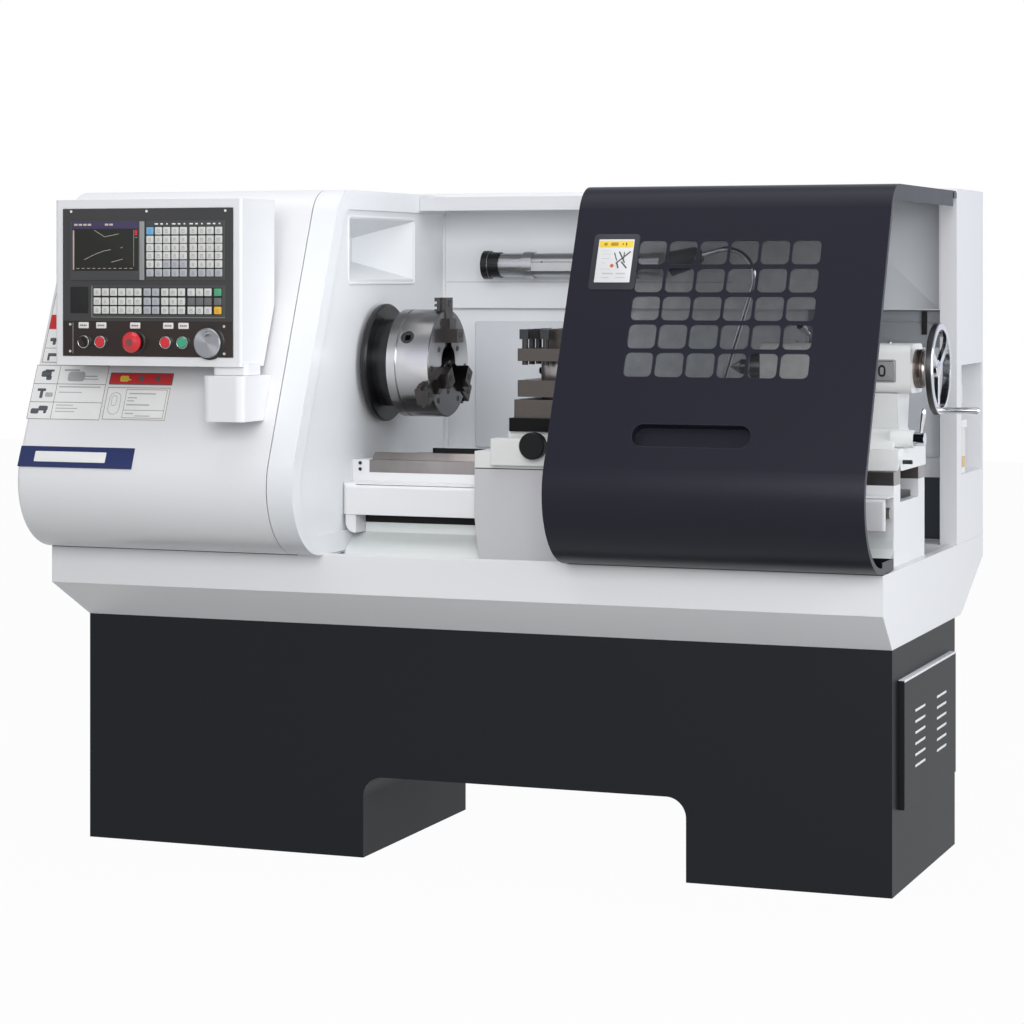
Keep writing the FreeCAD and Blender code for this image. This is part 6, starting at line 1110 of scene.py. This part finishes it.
STRIP_SHAPES = ((-744, -733, 1078, 1090), (-700, -690, 1078, 1091))
DIALS = ((-795, 1.028, 30, 54, 1.6, 14.9), (-797, 1.034, 14, 26, 1.4, 6.9))  # x, z (m), width, height, band, radius
RULE_WIDTH = 1.2
# Strokes on the door's label: from x, z to x, z, and breadth
LABEL_RODS = ((356, 1367.5, 363.6, 1350, 2.6), (367, 1370, 382, 1345.5, 3.4), (393, 1370, 362, 1344, 3.4),
              (378.6, 1369, 379, 1354, 2.6), (363.7, 1347, 368.6, 1333.5, 3.6), (374, 1348, 388, 1333.5, 3.6))
LABEL_LINES = ((326.5, 1371.4, 349, 1371.4, 1.0), (329, 1364.6, 352, 1364.6, 1.0), (329, 1354.6, 347, 1354.6, 1.2),
               (329, 1345.2, 338, 1345.2, 1.2), (328, 1331.7, 350, 1331.7, 0.9), (333.5, 1322.2, 358.7, 1322.2, 3.2),
               (364.3, 1322.2, 386.7, 1322.2, 3.0), (333.4, 1313.3, 350, 1313.3, 1.8),
               (364, 1313.3, 386.6, 1313.3, 1.4))
LABEL_STRIP_MARKS = ((330, 1386, 338, 1386, 7.0), (346, 1386, 363, 1386, 7.6), (371.5, 1386, 375.5, 1386, 5.0),
                     (379.5, 1386, 383, 1386, 8.0))


class LATHE_OT_cover_signs(LatheStep, bpy.types.Operator):
    """Blank instruction cards, red strips and the blue stripe on the headstock cover"""
    bl_idname = "lathe.cover_signs"
    bl_label = "Cover signs"

    def build(self, scene):
        thick = scene.lathe_trim.card_thickness
        base = COVER[0][2]
        for place, finish_name, name, lift in COVER_CARDS:
            add_piece(name, slope_plate(*place, base, thick, lift * thick, 2.0 * MM), finish_name)
        rules = []
        for x0, x1, z0, z1 in (RIGHT_CARD, LEFT_CARD, TALL_CARD):
            rules += [(x0 + 1, x1 - 1, z1 - RULE_WIDTH, z1), (x0 + 1, x1 - 1, z0, z0 + RULE_WIDTH),
                      (x0, x0 + RULE_WIDTH, z0, z1), (x1 - RULE_WIDTH, x1, z0, z1)]
        on_strip = thick * 0.4 + 0.45 * MM
        for name, rows, finish_name, lift in (
                ("card_rules", rules + list(CARD_RULES), "rule brown", thick),
                ("card_icons", CARD_ICONS, "print dark", thick), ("card_lines", CARD_LINES, "print pale", thick),
                ("strip_mark", STRIP_MARKS, "sign yellow", on_strip),
                ("strip_shapes", STRIP_SHAPES, "print dark", on_strip)):
            add_piece(name, slope_marks(rows, base, lift), finish_name)
        rings = [placed(frame_ring(width * MM, height * MM, band * MM, 0.08 * MM, radius * MM, 6),
                        slope_place(MODEL_X + x * MM, z, base, thick), *SLOPE)
                 for x, z, width, height, band, radius in DIALS]
        add_piece("card_dial", rings, "print pale")


class LATHE_OT_door_label(LatheStep, bpy.types.Operator):
    """The rounded backing on the sliding guard with its blank card and yellow strip"""
    bl_idname = "lathe.door_label"
    bl_label = "Door label"

    def build(self, scene):
        thick = scene.lathe_trim.card_thickness
        base = DOOR[0][2]
        backing = 1.6 * MM
        lift = backing + thick
        for name, place, rise, radius, finish_name, below in (
                ("label_backing", (305, 411, 1287.5, 1408.5), backing, 10 * MM, "label backing", 0.0),
                ("label_card", (317.5, 398.5, 1303, 1396.5), thick, 1.5 * MM, "label white", backing),
                ("label_strip", (319.5, 396.5, 1379, 1393.5), 0.15 * MM, 1.0 * MM, "sign yellow", lift)):
            add_piece(name, slope_plate(*place, base, rise, below, radius), finish_name, "door")
        for name, rows, finish_name, rise in (
                ("label_rods", LABEL_RODS, "print dark", INK), ("label_lines", LABEL_LINES, "print pale", INK),
                ("label_strip_marks", LABEL_STRIP_MARKS, "strip brown", 0.28 * MM)):
            add_piece(name, [slope_stroke(*row, base, lift, rise) for row in rows], finish_name, "door")
        spot = placed(turned(mm([(4.3, 0.0), (4.3, 0.1), (4.0, 0.16)]), 32),
                      slope_place(MODEL_X + 353.8 * MM, 1.339, base, lift), *SLOPE)
        add_piece("label_spot", spot, "spot orange", "door")


# ---------------------------------------------------------------- trim of the end frame and rear wall
NICHE_FRAME = (-0.243, 0.156, 1.2965, 1.4575)    # front, back, low and high edge of the moulding
FLANGE = 7 * MM                                  # how far the bulkhead's edge stands past its face
TRAY_CORNER = (-0.3515, -0.2985, 0.6885)         # from the machine's middle and the floor
STOP_PLACE = (-0.311, -0.2155)
STOP_HEIGHTS = (0.873, 0.887)
LOUVRE_COLUMNS = (-0.5 * 0.216, 0.5 * 0.216)
LOUVRE_ROWS, LOUVRE_PITCH = 6, 0.024


class LATHE_OT_frame_trim(LatheStep, bpy.types.Operator):
    """The niche's moulding, seams of cover and apron, painted shadow strips by the bed, the tray's corner and stop
    screws
    """
    bl_idname = "lathe.frame_trim"
    bl_label = "End frame trim"

    def build(self, scene):
        front, back, low, high = NICHE_FRAME
        moulding = frame_ring(back - front, high - low, 6.5 * MM, 2.6 * MM, 12 * MM)
        place = (BULKHEAD[1][0] - FLANGE, MODEL_Y + (front + back) / 2, (low + high) / 2)
        add_piece("niche_frame", placed(moulding, place, *RIGHT), "cool enamel")

        def bar(x0, x1, z0, z1, y, rise):
            return upright_plate(x0, x1, z0, z1, MODEL_Y + y * MM, rise * MM, 0.4, 0.15 * MM, 1)

        seam = scene.lathe_trim.seam_width / MM
        add_piece("cover_seam", bar(-1013, -384, 691 - seam * 2.0, 691, -398, 0.6), "seam shadow")
        add_piece("apron_seam", bar(3, 357, 887.6 - seam, 888, -292, 0.6), "seam shadow", "carriage")
        corner = placed(slab(65 * MM, 195 * MM, 1.2 * MM, 1.0 * MM, 0.3 * MM),
                        np.array([MODEL_X, MODEL_Y, 0.0]) + TRAY_CORNER, *TOP)
        add_piece("tray_corner", corner, "white enamel")
        # Painted shadow: dark strips where the gaps by the bed and between the ways lie in shade
        add_piece("bed_shadow_strip", bar(-322, 0, 752, 773, -215, 0.8), "black rubber")
        add_piece("way_strip", bar(-254, 60, 880, 906, 87, 1.0), "black rubber")
        head = placed(socket_screw(scene.lathe_trim.screw_head, 2.0 * MM), np.zeros(3), *FRONT)
        stops = [(MODEL_X + STOP_PLACE[0], MODEL_Y + STOP_PLACE[1], z) for z in STOP_HEIGHTS]
        add_piece("stop_screws", repeated(head, stops), "black oxide")


class LATHE_OT_wall_trim(LatheStep, bpy.types.Operator):
    """Fold, panels, band, post and return of the rear wall, with painted shade on the lower panel and the return"""
    bl_idname = "lathe.wall_trim"
    bl_label = "Rear wall trim"

    def build(self, scene):
        front = WALL[0][1]
        low_front = front + 20 * MM
        for name, plates, finish_name in (
                ("wall_folds", [(-320, 420, 1301.6, 1303.0, front, 0.4 * MM, 0.4)], "seam soft"),
                # Painted shade: the lower panel is a darker copy of the wall's enamel, and the return darkens towards
                # the housing
                ("lower_wall_panel", [(-250, 917, 892, 1206, low_front, 5.0 * MM, 8.0)], "lower wall enamel"),
                ("wall_return", [(640, 918, 1240, 1502, front, 0.6 * MM, 0.6)], "wall shade"),
                ("wall_band", [(600, 918, 1207, 1236, low_front, 4.0 * MM),
                               (600, 918, 1150, 1205.5, low_front, 5.6 * MM)], "wall band"),
                ("wall_post", [(874, 887, 1180, 1235, low_front - 5.4 * MM, 3.0 * MM)], "black rubber"),
                ("navy_wall_panel", [(-310, 918, 702, 846, low_front, 3.0 * MM, 2.0)], "navy enamel")):
            add_piece(name, [upright_plate(*plate) for plate in plates], finish_name)


class LATHE_OT_end_cover_trim(LatheStep, bpy.types.Operator):
    """Painted highlights: pale strips on the louvres' slots and along the end cover's upper fold"""
    bl_idname = "lathe.end_cover_trim"
    bl_label = "End cover trim"

    def build(self, scene):
        low, high = box_of("end_louvre_cover")
        middle = (low + high) / 2
        # Painted highlight: a pale strip on each slot stands in for light caught in the louvre
        slot = placed(slab(97 * MM, 5.6 * MM, 0.5 * MM, 1.4 * MM, 0.3 * MM), np.zeros(3), *RIGHT)
        places = [(high[0] - 0.1 * MM, middle[1] + column, middle[2] + (row - (LOUVRE_ROWS - 1) / 2) * LOUVRE_PITCH)
                  for column in LOUVRE_COLUMNS for row in range(LOUVRE_ROWS)]
        add_piece("louvre_slots", repeated(slot, places), "bright fold")
        # Painted highlight: pale strips on the front and top of the upper fold stand in for light caught along it
        width = high[1] - low[1]
        front = placed(slab(width, 3.6 * MM, 1.0 * MM, 0.6 * MM, 0.4 * MM),
                       (high[0] - 0.2 * MM, middle[1], high[2] - 1.9 * MM), *RIGHT)
        top = placed(slab(width, 14.6 * MM, 1.0 * MM, 0.6 * MM, 0.4 * MM),
                     (high[0] - 7.0 * MM, middle[1], high[2] - 0.3 * MM), Y_DIR, -X_DIR)
        add_piece("cover_bright_fold", [front, top], "bright fold")


# ---------------------------------------------------------------- chuck, turret and tailstock
# Screws in the chuck's face: angle from the middle between two jaws, distance from the spindle line
FACE_SCREWS = ((0.0, 0.066), (0.62, 0.104), (-0.62, 0.104))
JAW_SCREWS = ((0.139, 0.027), (0.066, 0.0))    # distance from the spindle line, depth behind the jaw's end
# Profiles are rows of (radius, height) in millimetres
CORE_BAND = ((52.1, 0.0), (52.6, 1.0), (52.6, 41.0), (52.1, 42.0), (50.0, 42.0), (50.0, 0.0))
CORE_FOOT, CORE_SCREW_HEIGHT = 1.0845, 1.104
CORE_RADIUS, CORE_SCREW_ASIDE = 52 * MM, 12 * MM
CAP_PLUG = ((14, -0.2), (14, 0.8), (13, 1.4), (7, 1.4))
LEVER_GRIP = ((4.7, -40), (5.6, -34), (6.6, -12), (6.2, -4), (4.0, 0.0), (1.5, 0.6))
LEVER_LEAN = 0.15
CLAMP_ROD = ((4.2, 0.0), (4.6, 0.6), (4.6, 33), (3.8, 34))
BODY_HALF_DEPTH = 61 * MM       # of the tailstock, from the spindle line to its front
BADGE_INSET = 73 * MM           # from the tailstock body's right end to the badge's middle
BADGE_DROP = 4 * MM             # below the spindle line
BADGE_RISE = 1.6 * MM
OIL_CAP_INSETS = (0.07, 0.28)   # from the tailstock body's right end
TUBE_RADIUS = 35 * MM
TUBE_COLLAR = ((35.1, -0.2), (35.3, 16), (33.0, 17.6), (31.2, 17.6), (31.2, 44), (28.0, 44), (28.0, -0.2))
TANK_WALL = ((20.1, 12), (20.6, 14), (20.6, 104), (20.1, 107), (18, 107), (18, 12))
OIL_LEVEL = ((20.7, 13), (20.9, 14), (20.9, 38), (20.7, 39), (18.5, 39), (18.5, 13))
SOCKET_FACE = ((6, -0.2), (6, 0.5), (5, 0.8))


def about_spindle(place, turn):
    """A place turned about the spindle line by an angle."""
    x, y, z = np.asarray(place, float) - [0.0, AXIS[1], AXIS[2]]
    cosine, sine = math.cos(turn), math.sin(turn)
    return np.array([x, y * cosine - z * sine + AXIS[1], y * sine + z * cosine + AXIS[2]])


class LATHE_OT_chuck_screws(LatheStep, bpy.types.Operator):
    """Sunk cap screws in the chuck's face and the screws in the jaws' ends"""
    bl_idname = "lathe.chuck_screws"
    bl_label = "Chuck screws"

    def build(self, scene):
        line = np.array([0.0, AXIS[1], AXIS[2]])
        screw = socket_screw(13 * MM, 1.4 * MM)
        shapes = []
        for turn in np.radians([60, 180, 300]):
            for spread, radius in FACE_SCREWS:
                place = about_spindle(line + [CHUCK[1][0] - 0.4 * MM, 0.0, radius], turn + spread)
                shapes.append(placed(screw, place, *RIGHT))
        add_piece("chuck_face_screws", shapes, "black oxide", "spindle_group")
        for number, turn in enumerate(np.radians([0, 120, 240]), 1):
            across, along = (about_spindle(line + way, turn) - line for way in (Y_DIR, Z_DIR))
            end_x = box_of("chuck_jaw_%d" % number)[1][0]
            spots = []
            for radius, depth in JAW_SCREWS:
                centre = np.array([end_x - depth, AXIS[1], AXIS[2]]) + along * radius
                spots.append(placed(socket_screw(15 * MM, 1.0 * MM), centre, across, np.cross(X_DIR, across)))
            add_piece("jaw_%d_screws" % number, spots, "black oxide", "jaw_%d" % number)


class LATHE_OT_turret_fittings(LatheStep, bpy.types.Operator):
    """Bright core band, core screws and the plug on the turret's cap"""
    bl_idname = "lathe.turret_fittings"
    bl_label = "Turret fittings"

    def build(self, scene):
        low, high = box_of("tool_holder")
        centre = (low + high) / 2
        band = placed(turned(mm(CORE_BAND), 64, closed_loop=True), (centre[0], centre[1], CORE_FOOT), *TOP)
        add_piece("turret_core_band", band, "ground steel", "turret")
        screws = []
        for angle in np.radians([0, 90, 180, 270]):
            out = np.array([math.sin(angle), -math.cos(angle), 0.0])
            across = np.array([math.cos(angle), math.sin(angle), 0.0])
            middle = np.array([centre[0], centre[1], CORE_SCREW_HEIGHT])
            spot = middle + out * CORE_RADIUS + across * CORE_SCREW_ASIDE
            screws.append(placed(socket_screw(15 * MM, 2.2 * MM), spot, across, Z_DIR))
        add_piece("turret_core_screws", screws, "black oxide", "turret")
        cap_plug = placed(turned(mm(CAP_PLUG), 36), (centre[0], centre[1], high[2]), *TOP)
        add_piece("turret_cap_plug", cap_plug, "black oxide", "turret")


class LATHE_OT_tailstock_fittings(LatheStep, bpy.types.Operator):
    """Blank badge with its rims, lever grip, clamp rod and oil caps on the tailstock"""
    bl_idname = "lathe.tailstock_fittings"
    bl_label = "Tailstock fittings"

    def build(self, scene):
        high = box_of("tailstock_body")[1]
        front = AXIS[1] - BODY_HALF_DEPTH

        def on_badge(shape, rise):
            return placed(shape, (high[0] - BADGE_INSET, front - rise, AXIS[2] - BADGE_DROP), *FRONT)

        badge = slab(62 * MM, 50 * MM, BADGE_RISE, 4 * MM, 0.6 * MM)
        add_piece("tailstock_badge", on_badge(badge, 0.0), "panel trim", "tailstock")
        rim = frame_ring(56 * MM, 44 * MM, 1.4 * MM, 0.5 * MM, 3.4 * MM)
        add_piece("badge_rim", on_badge(rim, BADGE_RISE), "chrome", "tailstock")
        lever_low, lever_high = box_of("tailstock_clamp_lever")
        grip = (lever_high[0] - 4.8 * MM, (lever_low[1] + lever_high[1]) / 2, lever_high[2])
        along = np.array([LEVER_LEAN, 0.0, 1.0]) / math.hypot(LEVER_LEAN, 1.0)
        knob = placed(turned(mm(LEVER_GRIP), 24), grip, Y_DIR, np.cross(along, Y_DIR))
        add_piece("clamp_lever_grip", knob, "chrome", "clamp_lever")
        ring = frame_ring(17 * MM, 26 * MM, 4.5 * MM, 0.5 * MM, 8.4 * MM, 6)
        add_piece("badge_ring", on_badge(ring, BADGE_RISE), "black oxide", "tailstock")
        rod = placed(turned(mm(CLAMP_ROD), 24), lever_low + mm([2, -4, -34]), *RIGHT)
        add_piece("clamp_rod", rod, "black oxide", "tailstock")
        cap = placed(dome(5 * MM, 3 * MM, 2 * MM), np.zeros(3), *TOP)
        caps = [(high[0] - inset, AXIS[1], high[2] - 0.2 * MM) for inset in OIL_CAP_INSETS]
        add_piece("oil_caps", repeated(cap, caps), "alloy", "tailstock")


class LATHE_OT_lamp_fittings(LatheStep, bpy.types.Operator):
    """The tube lamp's black end, its lens and the dark line with a stud on it"""
    bl_idname = "lathe.lamp_fittings"
    bl_label = "Lamp fittings"

    def build(self, scene):
        low, high = box_of("tube_lamp")
        axis_y = low[1] + TUBE_RADIUS
        axis_z = (low[2] + high[2]) / 2
        end = placed(turned(mm(TUBE_COLLAR), 56, closed_loop=True), (low[0], axis_y, axis_z), *RIGHT)
        add_piece("tube_lamp_end", end, "black gloss")

        def on_tube(shape, along, out, up):
            return placed(shape, (low[0] + along * MM, axis_y - out * MM, axis_z + up * MM), *FRONT)

        lens = slab(230 * MM, 26 * MM, 1.2 * MM, 10 * MM, 0.8 * MM)
        add_piece("tube_lamp_lens", on_tube(lens, 225, 28.2, -2), "lamp glass")
        line = slab(218 * MM, 1.6 * MM, 0.5 * MM, 0.6 * MM, 0.2 * MM)
        stud = dome(2.4 * MM, 1.0 * MM, 0.6 * MM)
        add_piece("tube_lamp_line", [on_tube(line, 231, 29.3, 7), on_tube(stud, 158, 29.3, 7)], "print dark")


class LATHE_OT_pocket_fittings(LatheStep, bpy.types.Operator):
    """The reservoir's wall and oil, and the outlet's socket"""
    bl_idname = "lathe.pocket_fittings"
    bl_label = "Service pocket"

    def build(self, scene):
        low, high = box_of("lubricator")
        centre = (high[0] - 25 * MM, (low[1] + high[1]) / 2, low[2])
        for name, profile, finish_name in (("oil_tank_wall", TANK_WALL, "oil tank"), ("oil_level", OIL_LEVEL, "oil")):
            add_piece(name, placed(turned(mm(profile), 40, closed_loop=True), centre, *TOP), finish_name)
        low, high = box_of("outlet_box")
        socket = placed(turned(mm(SOCKET_FACE), 28),
                        (high[0], (low[1] + high[1]) / 2, low[2] + 12 * MM), *RIGHT)
        add_piece("outlet_socket", socket, "black plastic")


class LATHE_PT_sidebar(bpy.types.Panel):
    """Lists the steps that dress the lathe"""
    bl_label = "Turning lathe"
    bl_idname = "LATHE_PT_sidebar"
    bl_space_type = "VIEW_3D"
    bl_region_type = "UI"
    bl_category = "Lathe"

    def draw(self, context):
        for step in STEPS:
            self.layout.operator(step.bl_idname)
        for name in SETTINGS:
            group = getattr(context.scene, name)
            for key in group.__annotations__:
                self.layout.prop(group, key)


STEPS = (LATHE_OT_stage, LATHE_OT_node_finishes, LATHE_OT_key_modules, LATHE_OT_screen, LATHE_OT_keys,
         LATHE_OT_controls, LATHE_OT_cover_signs, LATHE_OT_door_label, LATHE_OT_frame_trim, LATHE_OT_wall_trim,
         LATHE_OT_end_cover_trim, LATHE_OT_chuck_screws, LATHE_OT_turret_fittings, LATHE_OT_tailstock_fittings,
         LATHE_OT_lamp_fittings, LATHE_OT_pocket_fittings)


def register():
    """Makes the settings, the steps and the sidebar known to Blender."""
    for name, group in SETTINGS.items():
        bpy.utils.register_class(group)
        setattr(bpy.types.Scene, name, PointerProperty(type=group))
    for step in STEPS:
        bpy.utils.register_class(step)
    bpy.utils.register_class(LATHE_PT_sidebar)


def unregister():
    """Takes them away again in the opposite order."""
    bpy.utils.unregister_class(LATHE_PT_sidebar)
    for step in reversed(STEPS):
        bpy.utils.unregister_class(step)
    for name, group in reversed(list(SETTINGS.items())):
        delattr(bpy.types.Scene, name)
        bpy.utils.unregister_class(group)


def main():
    """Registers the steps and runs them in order."""
    register()
    for step in STEPS:
        group, name = step.bl_idname.split(".")
        getattr(getattr(bpy.ops, group), name)()


if __name__ == "__main__":
    main()
